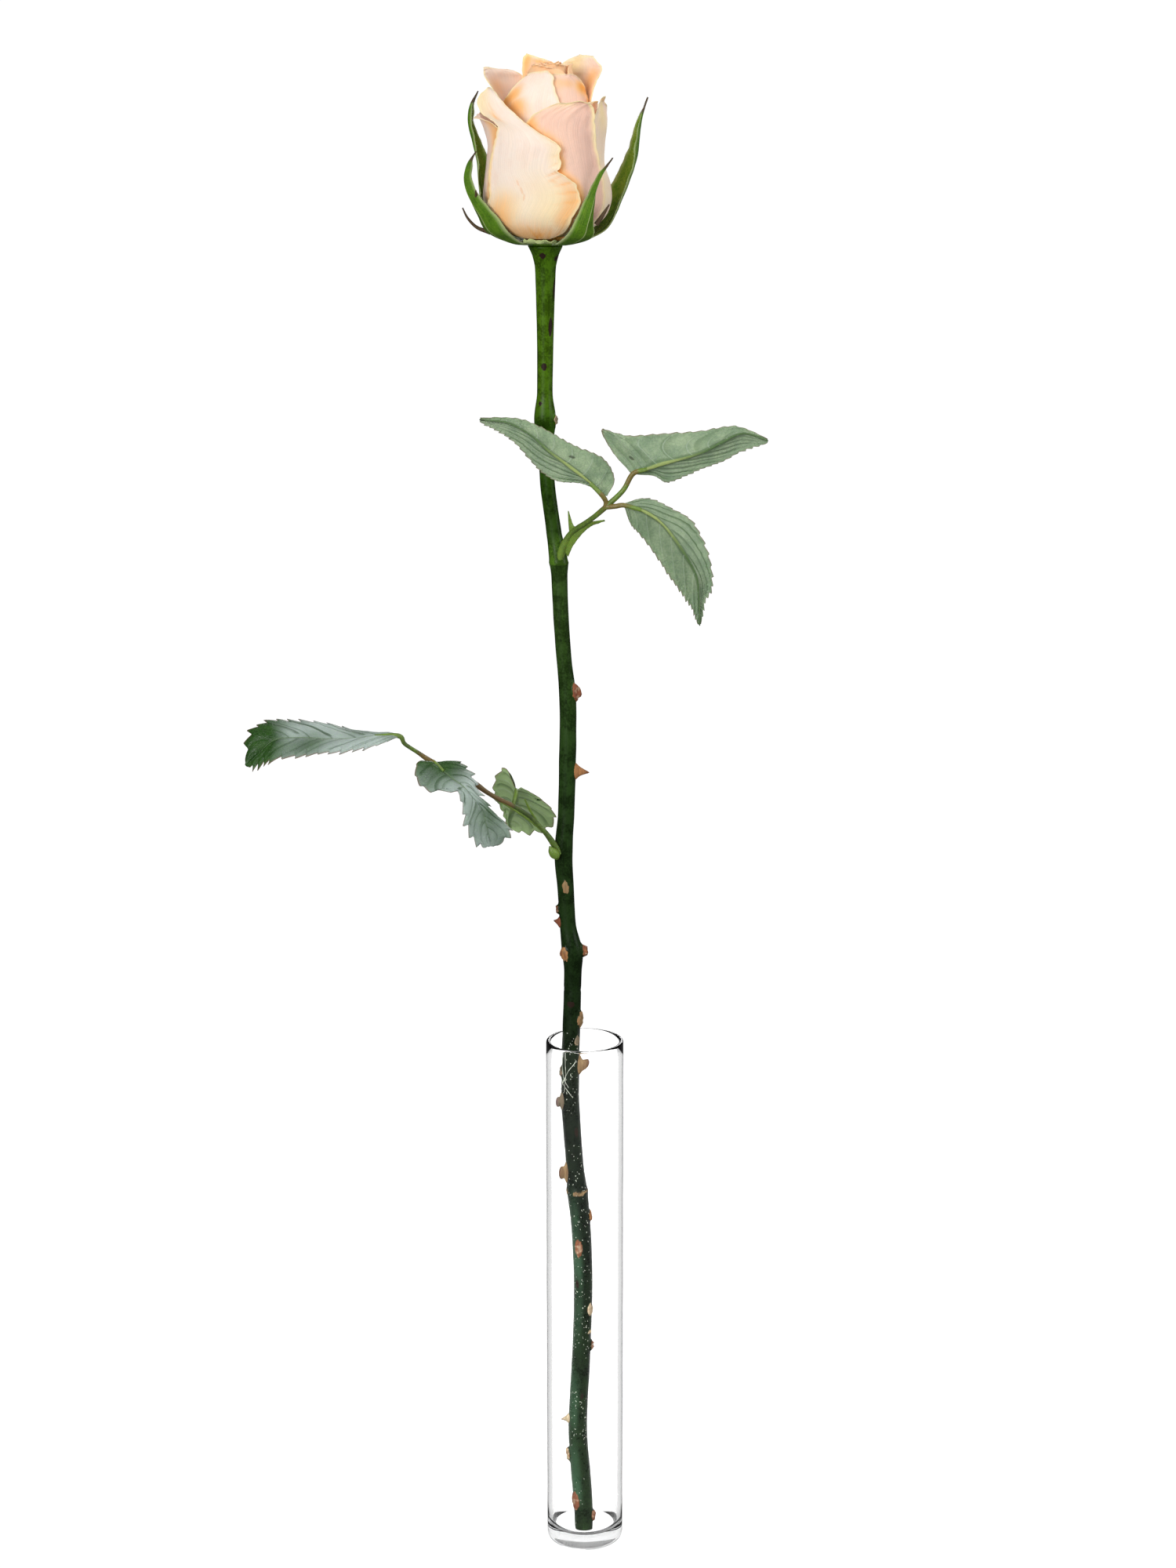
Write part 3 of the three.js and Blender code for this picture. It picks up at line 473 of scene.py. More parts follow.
class SharedEffects:
    """Shader groups that several finishes use: mottled growth, leaf veins and ragged patches."""

    def __init__(self) -> None:
        """Builds each group once."""
        self.mottle = self.make_mottle()
        self.veins = self.make_veins()
        self.ragged = self.make_ragged()

    def make_mottle(self) -> NodeTree:
        """Builds broad blotches with fine grain in them, as one value from 0 to 1."""
        sockets = [("Vector", "Vector", 0.0), ("Scale", "Float", 60.0), ("Grain", "Float", 0.35)]
        graph, source, result = shared_group("mottle", sockets, [("Value", "Float")])
        vector, scale, grain = source[:3]
        broad = graph.noise(vector, scale, 2.0)
        fine = graph.noise(vector, graph.times(scale, 7.0), 4.0)
        both = graph.node("ShaderNodeMix", {0: grain, 2: broad, 3: fine})
        graph.feed(result.inputs[0], graph.ease(both.outputs[0], 0.34, 0.66))
        return graph.tree

    def make_veins(self) -> NodeTree:
        """Builds a midrib and curved side veins over a blade whose UV goes across and along it, with bands
        beside the midrib and beside every other side vein that the leaf paints as shade.
        """
        sockets = [
            ("UV", "Vector", 0.0), ("Count", "Float", 8.0),
            ("Lean", "Float", 0.2), ("Width", "Float", 0.16),
        ]
        results = [("Midrib", "Float"), ("Veins", "Float"), ("Groove", "Float"), ("Fold", "Float")]
        graph, source, result = shared_group("blade_veins", sockets, results)
        uv, count, lean, width = source[:4]
        parts = graph.node("ShaderNodeSeparateXYZ", {0: uv}).outputs
        across = graph.minus(graph.times(parts[0], 2.0), 1.0)
        reach = graph.reckon("ABSOLUTE", across)
        bend = graph.times(graph.reckon("POWER", reach, 1.3), lean)
        wave = graph.times(graph.minus(parts[1], bend), count)
        half = graph.times(graph.reckon("GREATER_THAN", across, 0.0), 0.5)
        part = graph.reckon("FRACT", graph.plus(graph.plus(wave, half), 10.0))
        near = graph.times(graph.reckon("ABSOLUTE", graph.minus(part, 0.5)), 2.0)
        edge = graph.minus(1.0, width)
        line = graph.node("ShaderNodeMapRange", {0: near, 1: edge, 2: 1.0}, interpolation_type="SMOOTHSTEP")
        fade = graph.ease(reach, 0.55, 1.0, 1.0, 0.25)
        thin = graph.times(reach, graph.ease(parts[1], 0.0, 1.0, 0.8, 1.7))
        graph.feed(result.inputs[0], graph.ease(thin, 0.015, 0.05, 1.0, 0.0))
        graph.feed(result.inputs[1], graph.times(line.outputs[0], fade))
        graph.feed(result.inputs[2], graph.ease(thin, 0.05, 0.14, 1.0, 0.0))
        pairs = graph.reckon("FRACT", graph.times(graph.plus(wave, 10.0), 0.7))
        band = graph.times(graph.ease(pairs, 0.0, 0.04), graph.ease(pairs, 0.08, 0.4, 1.0, 0.0))
        band = graph.times(band, graph.ease(reach, 0.82, 1.0, 1.0, 0.0))
        band = graph.times(band, graph.ease(parts[1], 0.7, 0.9, 1.0, 0.0))
        graph.feed(result.inputs[3], graph.times(band, graph.ease(reach, 0.02, 0.15)))
        return graph.tree

    def make_ragged(self) -> NodeTree:
        """Builds a patch with a torn edge from a soft value."""
        sockets = [
            ("Value", "Float", 0.0), ("Vector", "Vector", 0.0),
            ("Scale", "Float", 900.0), ("Tear", "Float", 0.5),
        ]
        graph, source, result = shared_group("ragged_patch", sockets, [("Mask", "Float")])
        value, vector, scale, tear = source[:4]
        shift = graph.times(graph.minus(graph.noise(vector, scale), 0.5), tear)
        graph.feed(result.inputs[0], graph.ease(graph.plus(value, shift), 0.35, 0.6))
        return graph.tree


def new_material(name: str) -> tuple[Material, Graph, Node]:
    """Starts a material and gives its graph and its Principled shader."""
    material = bpy.data.materials.new(name)
    material.use_nodes = True
    graph = Graph(material.node_tree)
    return material, graph, material.node_tree.nodes["Principled BSDF"]


def dress(graph: Graph, shader: Node, values: dict[str, object]) -> None:
    """Sets or links several of a shader's inputs by name."""
    for name, value in values.items():
        is_colour = name in ("Base Color", "Emission Color", "Sheen Tint") and isinstance(value, tuple)
        graph.feed(shader.inputs[name], (*value, 1.0) if is_colour else value)


def bump(graph: Graph, height: NodeSocket, depth: float) -> NodeSocket:
    """Turns a height into a normal, depth in millimetres."""
    inputs = {"Height": height, "Distance": depth * MM, "Strength": 1.0}
    return graph.node("ShaderNodeBump", inputs).outputs[0]


# Finishes


@dataclass(frozen=True)
class GlassFinish:
    """Clear soda glass, a little grey where it is thick."""

    tint: Colour = (0.99, 0.99, 0.99)
    ior: float = 1.45
    grey: Colour = (0.56, 0.58, 0.58)
    density: float = 22.0
    lets_lamps_through: Colour = (0.97, 0.97, 0.97)

    def material(self) -> Material:
        """Builds the glass, which lets lamp light reach the stem inside it."""
        material, graph, shader = new_material("clear_glass")
        dress(graph, shader, {
            "Base Color": self.tint, "Roughness": 0.0, "IOR": self.ior, "Transmission Weight": 1.0,
        })
        clear = graph.node("ShaderNodeBsdfTransparent", {"Color": (*self.lets_lamps_through, 1.0)})
        path = graph.node("ShaderNodeLightPath")
        shadow = path.outputs["Is Shadow Ray"]
        both = graph.node("ShaderNodeMixShader", {0: shadow, 1: shader.outputs[0], 2: clear.outputs[0]})
        thickness = {"Color": (*self.grey, 1.0), "Density": self.density}
        absorbed = graph.node("ShaderNodeVolumeAbsorption", thickness)
        output = graph.tree.nodes["Material Output"]
        graph.feed(output.inputs["Surface"], both.outputs[0])
        graph.feed(output.inputs["Volume"], absorbed.outputs[0])
        return material


@dataclass(frozen=True)
class PetalFinish:
    """Velvety petal: cream and pink skin, cream-yellow rims, and orange that is partly real tint and partly
    painted shade in the crevices where petals meet.
    """

    cream: Colour = (0.955, 0.775, 0.665)
    pink: Colour = (0.930, 0.605, 0.475)
    # Darker pink, painted shade for the shaded right-hand petals, reached by tone above 1
    shaded_pink: Colour = (0.760, 0.490, 0.400)
    yellow: Colour = (0.950, 0.720, 0.400)
    rim: Colour = (0.985, 0.790, 0.430)
    # Orange for real tint and for painted crevice shade, the second colour for the most shut-in crevices
    warm: Colour = (0.980, 0.540, 0.250)
    deep_orange_and_shade: Colour = (0.960, 0.400, 0.090)
    bruise: Colour = (0.880, 0.500, 0.300)

    def material(self, effects: SharedEffects) -> Material:
        """Builds the petal's finish from the values tone, yellow, rim and bruise, and from the orange value
        that holds real tint and painted crevice shade.
        """
        material, graph, shader = new_material("rose_petal")
        place = graph.node("ShaderNodeTexCoord")
        where = place.outputs["Object"]
        blotch = graph.mask(effects.mottle, Vector=where, Scale=110.0, Grain=0.3)
        parts = graph.node("ShaderNodeSeparateXYZ", {0: place.outputs["UV"]})
        side = graph.minus(parts.outputs[0], 0.5)
        fan = graph.times(side, graph.minus(1.4, parts.outputs[1]))
        fanned = graph.joined(fan, parts.outputs[1], 0.0)
        streak = graph.noise(graph.vector("MULTIPLY", fanned, (120.0, 2.6, 1.0)), 1.0, 3.0)
        tone = graph.plus(graph.value("tone"), graph.ease(blotch, 0.0, 1.0, -0.12, 0.12))
        skin = graph.blend(graph.ease(tone, 0.0, 1.0), self.cream, self.pink)
        # Painted shade: tone above 1 darkens the pink
        skin = graph.blend(graph.ease(tone, 1.0, 2.0), skin, self.shaded_pink)
        skin = graph.blend(graph.value("yellow"), skin, self.yellow)
        # Painted crevice shade: the orange value, mostly from how closely other petals crowd a face, turns
        # the skin orange, then darker orange
        warmth_and_shade = graph.plus(graph.value("warm"), graph.ease(streak, 0.3, 0.7, -0.05, 0.05), clamp=True)
        skin = graph.blend(graph.ease(warmth_and_shade, 0.03, 0.6), skin, self.warm)
        skin = graph.blend(graph.ease(warmth_and_shade, 0.45, 1.0), skin, self.deep_orange_and_shade)
        skin = graph.coat(skin, self.rim, graph.value("rim"), 0.75)
        worn = graph.mask(effects.ragged, Value=graph.value("bruise"), Vector=where, Scale=1500.0, Tear=0.7)
        skin = graph.coat(skin, self.bruise, worn, 0.5)
        lines = graph.ease(streak, 0.35, 0.65, 0.95, 1.03)
        skin = graph.blend(1.0, skin, graph.joined(lines, lines, lines), "MULTIPLY")
        cells = graph.noise(where, 2600.0, 2.0)
        height = graph.plus(streak, graph.times(cells, 0.3))
        dress(graph, shader, {
            "Base Color": skin,
            "Roughness": graph.ease(blotch, 0.0, 1.0, 0.52, 0.64),
            "Specular IOR Level": 0.15,
            "Subsurface Weight": 0.35,
            "Subsurface Radius": (1.0, 0.75, 0.6),
            "Subsurface Scale": 0.0012,
            "Normal": bump(graph, height, 0.12),
        })
        return material


@dataclass(frozen=True)
class SepalFinish:
    """Soft green sepal with a paler inner face, a felted edge, a dry dark tip and a pale line along the
    keel that is a painted highlight.
    """

    outer: Colour = (0.085, 0.200, 0.008)
    outer_dark: Colour = (0.040, 0.115, 0.005)
    inner: Colour = (0.20, 0.29, 0.030)
    edge: Colour = (0.50, 0.56, 0.27)
    tip: Colour = (0.085, 0.055, 0.030)

    def material(self, effects: SharedEffects) -> Material:
        """Builds the sepal's finish from the values inner, edge and dry."""
        material, graph, shader = new_material("sepal_green")
        place = graph.node("ShaderNodeTexCoord")
        blotch = graph.mask(effects.mottle, Vector=place.outputs["Object"], Scale=240.0, Grain=0.5)
        lines = graph.noise(graph.vector("MULTIPLY", place.outputs["UV"], (46.0, 3.0, 1.0)), 1.0, 2.0)
        veins = graph.group(effects.veins, UV=place.outputs["UV"], Count=5.0, Lean=0.5, Width=0.2)
        skin = graph.blend(blotch, self.outer_dark, self.outer)
        skin = graph.blend(graph.ease(lines, 0.4, 0.75, 0.0, 0.4), skin, self.inner)
        skin = graph.blend(graph.value("inner"), skin, graph.blend(blotch, self.outer, self.inner))
        # Painted highlight: a pale line along the keel
        skin = graph.coat(skin, self.edge, veins.outputs[0], 0.55)
        skin = graph.coat(skin, self.edge, graph.value("edge"), 0.75)
        where = place.outputs["Object"]
        dry = graph.mask(effects.ragged, Value=graph.value("dry"), Vector=where, Scale=700.0, Tear=0.4)
        skin = graph.blend(dry, skin, self.tip)
        dress(graph, shader, {
            "Base Color": skin,
            "Roughness": graph.ease(blotch, 0.0, 1.0, 0.5, 0.68),
            "Specular IOR Level": 0.12,
            "Normal": bump(graph, graph.plus(lines, blotch), 0.12),
        })
        return material


@dataclass(frozen=True)
class HairFinish:
    """Pale felt hairs along the sepals' edges."""

    colour: Colour = (0.62, 0.70, 0.50)
    root_share: float = 0.6

    def material(self) -> Material:
        """Builds the hairs' finish, a little darker in random patches."""
        material, graph, shader = new_material("sepal_hair")
        place = graph.node("ShaderNodeTexCoord")
        shade = graph.noise(place.outputs["Object"], 800.0, 1.0)
        root = tuple(self.root_share * part for part in self.colour)
        skin = graph.blend(graph.ease(shade, 0.35, 0.65), root, self.colour)
        dress(graph, shader, {
            "Base Color": skin, "Roughness": 0.7, "Subsurface Weight": 0.2, "Subsurface Scale": 0.001,
        })
        return material


@dataclass(frozen=True)
class LeafFinish:
    """Leathery leaflet: dark glossy upper face, pale grey-green underside, yellow-green ribs, with painted
    sheen, painted shade in the folds and painted backlight in places.
    """

    top: Colour = (0.022, 0.076, 0.006)
    top_dark: Colour = (0.014, 0.052, 0.007)
    top_rib: Colour = (0.13, 0.20, 0.10)
    # Grey-white painted reflection of the glossy upper face, laid where the painted sheen value allows
    bloom: Colour = (0.45, 0.53, 0.50)
    under: Colour = (0.300, 0.385, 0.235)
    under_dark: Colour = (0.170, 0.250, 0.145)
    # Painted shade in the furrows and beside the midrib of the underside
    under_furrow_shade: Colour = (0.055, 0.115, 0.035)
    under_rib: Colour = (0.34, 0.42, 0.13)
    under_rib_end: Colour = (0.085, 0.160, 0.050)
    # Lighter green laid on the underside as painted backlight, where light shines through
    fresh: Colour = (0.40, 0.56, 0.22)
    # Real pale veins, and a painted sheen on the creased half of the underside
    pale: Colour = (0.38, 0.47, 0.36)
    margin: Colour = (0.20, 0.105, 0.080)
    spot: Colour = (0.030, 0.035, 0.020)

    def material(self, effects: SharedEffects) -> Material:
        """Builds the leaf's finish from the values under, margin, lean and spot, and from three
        painted-light values: the grey-white sheen, the shade and sheen of the creased halves, and the
        backlight.
        """
        material, graph, shader = new_material("rose_leaf")
        place = graph.node("ShaderNodeTexCoord")
        where = place.outputs["Object"]
        blotch = graph.mask(effects.mottle, Vector=where, Scale=170.0, Grain=0.35)
        sizes = {"Count": VEINS_ON_BLADE, "Width": 0.11}
        veins = graph.group(effects.veins, UV=place.outputs["UV"], Lean=graph.value("lean"), **sizes)
        cells = {"Vector": where, "Scale": 820.0}
        net = graph.node("ShaderNodeTexVoronoi", cells, feature="DISTANCE_TO_EDGE").outputs[0]
        mesh = graph.ease(net, 0.0, 0.14, 1.0, 0.0)
        top = graph.blend(blotch, self.top_dark, self.top)
        top = graph.coat(top, self.top_rib, mesh, 0.12)
        # Painted reflection: grey-white sheen over the upper face
        top = graph.coat(top, self.bloom, graph.value("powder"), 0.82)
        # Painted shade: dark bands in the folds beside the side veins of the upper face
        fold_shade = graph.times(veins.outputs[3], graph.value("crease"))
        top = graph.blend(graph.ease(fold_shade, 0.2, 0.95, 0.0, 0.8), top, self.top_dark)
        top = graph.coat(top, self.top_dark, veins.outputs[1], 0.35)
        top = graph.coat(top, self.top_rib, veins.outputs[0], 0.7)
        under = graph.blend(blotch, self.under_dark, self.under)
        under = graph.coat(under, self.under_dark, mesh, 0.25)
        # Painted backlight: the underside lightened as if lit through
        under = graph.blend(graph.value("fresh"), under, self.fresh)
        along = graph.axis(place.outputs["UV"], 1)
        # Painted shade on the underside in the folds and beside the midrib, and a pale painted sheen on the
        # creased half
        dark = graph.reckon("MAXIMUM", fold_shade, graph.times(veins.outputs[2], 0.75))
        under = graph.coat(under, self.pale, graph.value("crease"), 0.22)
        under = graph.coat(under, self.under_furrow_shade, dark, 0.8)
        under = graph.coat(under, self.pale, veins.outputs[1], 0.5)
        rib = graph.blend(graph.ease(along, 0.3, 0.62), self.under_rib, self.under_rib_end)
        under = graph.blend(graph.ease(veins.outputs[0], 0.25, 1.0, 0.0, 0.85), under, rib)
        skin = graph.blend(graph.value("under"), top, under)
        skin = graph.coat(skin, self.margin, graph.value("margin"), 0.8)
        spots = graph.mask(effects.ragged, Value=graph.value("spot"), Vector=where, Scale=1300.0, Tear=0.5)
        skin = graph.coat(skin, self.spot, spots, 0.7)
        rough = graph.plus(graph.ease(blotch, 0.0, 1.0, 0.36, 0.5), graph.times(graph.value("under"), 0.18))
        dress(graph, shader, {
            "Base Color": skin,
            "Roughness": rough,
            "Specular IOR Level": 0.28,
            "Subsurface Weight": 0.08,
            "Subsurface Radius": (0.5, 1.0, 0.25),
            "Subsurface Scale": 0.0012,
            "Normal": bump(graph, graph.minus(graph.times(blotch, 0.5), mesh), 0.07),
        })
        return material


@dataclass(frozen=True)
class StalkFinish:
    """Leaf stalks and stipules: yellow-green, reddish brown at their joints."""

    green: Colour = (0.15, 0.25, 0.03)
    dark: Colour = (0.045, 0.075, 0.016)
    red: Colour = (0.20, 0.10, 0.035)

    def material(self, effects: SharedEffects) -> Material:
        """Builds the stalks' finish from the values shade and blush."""
        material, graph, shader = new_material("leaf_stalk")
        place = graph.node("ShaderNodeTexCoord")
        blotch = graph.mask(effects.mottle, Vector=place.outputs["Object"], Scale=300.0, Grain=0.5)
        shade = graph.plus(graph.value("shade"), graph.ease(blotch, 0.0, 1.0, -0.25, 0.25), clamp=True)
        skin = graph.blend(shade, self.green, self.dark)
        where = place.outputs["Object"]
        patch = graph.mask(effects.ragged, Value=graph.value("blush"), Vector=where, Scale=500.0, Tear=0.6)
        skin = graph.coat(skin, self.red, patch, 0.7)
        dress(graph, shader, {
            "Base Color": skin,
            "Roughness": graph.ease(blotch, 0.0, 1.0, 0.34, 0.5),
            "Subsurface Weight": 0.08,
            "Subsurface Scale": 0.001,
            "Normal": bump(graph, blotch, 0.08),
        })
        return material


class ScarTone(Enum):
    """What a broken prickle or a scar on the stem looks like, as a place on the finish's ramp."""

    TAN = 0.0
    ORANGE = 0.25
    RED = 0.5
    CREAM = 0.75
    GREY = 1.0


@dataclass(frozen=True)
class StemFinish:
    """Stem skin by height, with brown spots, tan, red and cream scars, and a painted highlight on the lit
    left side low down.
    """

    skin: tuple[tuple[float, Colour], ...] = (
        (0.0, (0.012, 0.026, 0.008)),
        (0.16, (0.006, 0.016, 0.004)),
        (0.26, (0.003, 0.008, 0.003)),
        (0.34, (0.007, 0.012, 0.006)),
        (0.44, (0.006, 0.017, 0.003)),
        (0.60, (0.012, 0.032, 0.005)),
        (0.745, (0.023, 0.055, 0.007)),
        (0.80, (0.014, 0.042, 0.001)),
        (0.852, (0.020, 0.062, 0.001)),
        (0.868, (0.038, 0.092, 0.001)),
        (0.93, (0.044, 0.104, 0.001)),
        (1.0, (0.030, 0.078, 0.001)),
    )
    scars: tuple[tuple[float, Colour], ...] = (
        (0.0, (0.31, 0.21, 0.10)),
        (0.25, (0.40, 0.19, 0.07)),
        (0.5, (0.24, 0.075, 0.035)),
        (0.75, (0.68, 0.56, 0.36)),
        (1.0, (0.20, 0.17, 0.11)),
    )
    spot: Colour = (0.022, 0.012, 0.008)
    sheath: Colour = (0.070, 0.160, 0.010)
    # Pale teal, a painted highlight on the stem's lit left side inside the vase
    pale: Colour = (0.045, 0.105, 0.055)
    prickle_tip: Colour = (0.10, 0.035, 0.025)
    ramp_height: float = 500.0

    def material(self, effects: SharedEffects) -> Material:
        """Builds the stem's finish from the values scar, scar_tone, spot, sheath, pale and tip; pale is a
        painted highlight.
        """
        material, graph, shader = new_material("rose_stem")
        place = graph.node("ShaderNodeTexCoord")
        where = place.outputs["Object"]
        height = graph.axis(where, 2)
        blotch = graph.mask(effects.mottle, Vector=where, Scale=190.0, Grain=0.4)
        grain = graph.noise(graph.vector("MULTIPLY", where, (1500.0, 1500.0, 90.0)), 1.0, 3.0)
        skin = graph.ramp(graph.reckon("DIVIDE", height, self.ramp_height * MM), self.skin)
        broad = graph.ease(blotch, 0.0, 1.0, 0.6, 1.45)
        lighten = graph.plus(broad, graph.ease(grain, 0.3, 0.7, -0.12, 0.12))
        skin = graph.blend(1.0, skin, graph.joined(lighten, lighten, lighten), "MULTIPLY")
        # Painted highlight on the lit left side
        skin = graph.coat(skin, self.pale, graph.value("pale"), 0.9)
        sheath = graph.times(graph.value("sheath"), graph.ease(blotch, 0.2, 0.8, 0.3, 1.0))
        skin = graph.blend(sheath, skin, self.sheath)
        torn = {"Vector": where, "Scale": 620.0}
        spot = graph.mask(effects.ragged, Value=graph.value("spot"), Tear=0.9, **torn)
        scar = graph.mask(effects.ragged, Value=graph.value("scar"), Tear=0.7, **torn)
        dead = graph.ramp(graph.value("scar_tone"), self.scars)
        dead = graph.blend(graph.ease(grain, 0.3, 0.75, 0.0, 0.6), dead, self.prickle_tip)
        skin = graph.blend(spot, skin, self.spot)
        skin = graph.blend(scar, skin, dead)
        skin = graph.blend(graph.ease(graph.value("tip"), 0.45, 0.95, 0.0, 0.85), skin, self.prickle_tip)
        rough = graph.plus(graph.ease(blotch, 0.0, 1.0, 0.26, 0.4), graph.times(scar, 0.25))
        relief = graph.plus(graph.times(grain, 0.4), graph.times(scar, 0.6))
        dress(graph, shader, {
            "Base Color": skin,
            "Roughness": rough,
            "Specular IOR Level": 0.16,
            "Normal": bump(graph, relief, 0.12),
        })
        return material


@dataclass(frozen=True)
class SpeckFinish:
    """Small pale corky specks on the lower stem."""

    colour: Colour = (0.72, 0.76, 0.64)
    dark_share: float = 0.35

    def material(self) -> Material:
        """Builds the specks' finish."""
        material, graph, shader = new_material("stem_speck")
        place = graph.node("ShaderNodeTexCoord")
        shade = graph.noise(place.outputs["Object"], 500.0, 2.0)
        dark = tuple(self.dark_share * part for part in self.colour)
        skin = graph.blend(graph.ease(shade, 0.3, 0.7), dark, self.colour)
        dress(graph, shader, {"Base Color": skin, "Roughness": 0.6})
        return material


# Trees that grow what repeats or follows a path


class GrowthTree:
    """A geometry tree with named inputs, ending in Realize Instances and Set Material."""

    def __init__(self, name: str, inputs: Sequence[tuple[str, str]]) -> None:
        """Starts the tree.

        Args:
            name: The tree's name.
            inputs: Name and kind of each input after the geometry.
        """
        self.tree = bpy.data.node_groups.new(name, "GeometryNodeTree")
        self.tree.interface.new_socket("Geometry", in_out="INPUT", socket_type="NodeSocketGeometry")
        for label, kind in inputs:
            self.tree.interface.new_socket(label, in_out="INPUT", socket_type=f"NodeSocket{kind}")
        self.tree.interface.new_socket("Material", in_out="INPUT", socket_type="NodeSocketMaterial")
        self.tree.interface.new_socket("Geometry", in_out="OUTPUT", socket_type="NodeSocketGeometry")
        self.graph = Graph(self.tree)
        self.source = self.graph.node("NodeGroupInput").outputs
        self.result = self.graph.node("NodeGroupOutput")

    def end(self, geometry: NodeSocket, smooth: bool = True) -> None:
        """Shades, realizes and dresses what the tree made."""
        shaded = self.graph.node("GeometryNodeSetShadeSmooth", {0: geometry, "Shade Smooth": smooth})
        real = self.graph.node("GeometryNodeRealizeInstances", {0: shaded.outputs[0]})
        inputs = {0: real.outputs[0], 2: self.source["Material"]}
        dressed = self.graph.node("GeometryNodeSetMaterial", inputs)
        self.graph.feed(self.result.inputs[0], dressed.outputs[0])

    def named(self, name: str, kind: str = "FLOAT") -> NodeSocket:
        """Reads a named value inside the tree."""
        return self.graph.node("GeometryNodeInputNamedAttribute", {0: name}, data_type=kind).outputs[0]

    def evened(self, step: NodeSocket) -> NodeSocket:
        """Turns bare lines into curves whose points are a step apart."""
        line = self.graph.node("GeometryNodeMeshToCurve", {0: self.source["Geometry"]})
        inputs = {0: line.outputs[0], "Length": step}
        return self.graph.node("GeometryNodeResampleCurve", inputs, mode="LENGTH").outputs[0]

    def draw(self, kind: str, low: object, high: object) -> NodeSocket:
        """Draws a number or a vector between two ends for each copy."""
        made = self.graph.node("FunctionNodeRandomValue", {"Seed": self.source["Seed"]}, data_type=kind)
        first = 2 if kind == "FLOAT" else 0
        made.inputs[first].default_value = low
        made.inputs[first + 1].default_value = high
        return made.outputs[first // 2]

    def copies(self, points: object, item: object, turn: object, size: object) -> NodeSocket:
        """Places copies of an item on points, each turned and sized."""
        inputs = {0: points, 2: item, "Rotation": turn, "Scale": size}
        return self.graph.node("GeometryNodeInstanceOnPoints", inputs).outputs[0]

    def run(self, name: str, mesh: Mesh, sizes: dict[str, object]) -> Object:
        """Runs the tree on a mesh and keeps the result as a plain mesh object.

        Args:
            name: The new object's name.
            mesh: What the tree grows from.
            sizes: Values for the tree's named inputs.

        Returns:
            The object, with no modifier left on it.
        """
        piece = add_object(name, mesh)
        modifier = piece.modifiers.new("growth", "NODES")
        modifier.node_group = self.tree
        for item in self.tree.interface.items_tree:
            if item.in_out == "INPUT" and item.name in sizes:
                modifier[item.identifier] = sizes[item.name]
        graph = bpy.context.evaluated_depsgraph_get()
        grown = piece.evaluated_get(graph)
        plain = bpy.data.meshes.new_from_object(grown, preserve_all_data_layers=True, depsgraph=graph)
        piece.modifiers.clear()
        piece.data = plain
        plain.name = name
        return piece


def path_mesh(name: str, paths: Sequence[Array], values: Sequence[dict[str, Array]]) -> Mesh:
    """Makes a mesh of bare lines for a tree to follow.

    Args:
        name: The mesh's name.
        paths: Points of each line, in millimetres.
        values: Named numbers or vectors at the points of each line.

    Returns:
        The mesh.
    """
    mesh = bpy.data.meshes.new(name)
    starts = np.cumsum([0] + [len(path) for path in paths]).tolist()
    edges = [[s + i, s + i + 1] for s, path in zip(starts, paths) for i in range(len(path) - 1)]
    mesh.from_pydata((np.concatenate(paths) * MM).tolist(), edges, [])
    for key in values[0]:
        keep_values(mesh, key, np.concatenate([entry[key] for entry in values]))
    return mesh


class SweepTree(GrowthTree):
    """Grows round stalks along lines that carry their own radius."""

    sides: int = 12
    step: float = 0.5

    def __init__(self) -> None:
        """Builds the tree."""
        super().__init__("stalk_sweep", [("Sides", "Int"), ("Step", "Float")])
        graph = self.graph
        even = self.evened(self.source["Step"])
        section = {"Resolution": self.source["Sides"], "Radius": 1.0}
        ring = graph.node("GeometryNodeCurvePrimitiveCircle", section).outputs[0]
        swept = graph.node("GeometryNodeCurveToMesh", {0: even, 1: ring})
        graph.feed(swept.inputs["Scale"], self.named("radius"))
        graph.feed(swept.inputs["Fill Caps"], True)
        self.end(swept.outputs[0])

    def stalks(
        self, name: str, rows: Sequence[Rows], values: Sequence[dict[str, Array]], material: Material
    ) -> Object:
        """Sweeps stalks through rows of x, y, z and radius.

        Args:
            name: The new object's name.
            rows: The rows of each stalk.
            values: Named values at each row of each stalk.
            material: The stalks' finish.

        Returns:
            One plain mesh object.
        """
        paths, marks = [], []
        for stalk, entry in zip(rows, values):
            place = np.linspace(0, 1, 8 * len(stalk))
            read = through(stalk, place)
            paths.append(read[:, :3])
            known = {key: np.clip(through(value, place), 0, 1) for key, value in entry.items()}
            marks.append({"radius": read[:, 3] * MM, **known})
        mesh = path_mesh(name, paths, marks)
        return self.run(name, mesh, {"Sides": self.sides, "Step": self.step * MM, "Material": material})


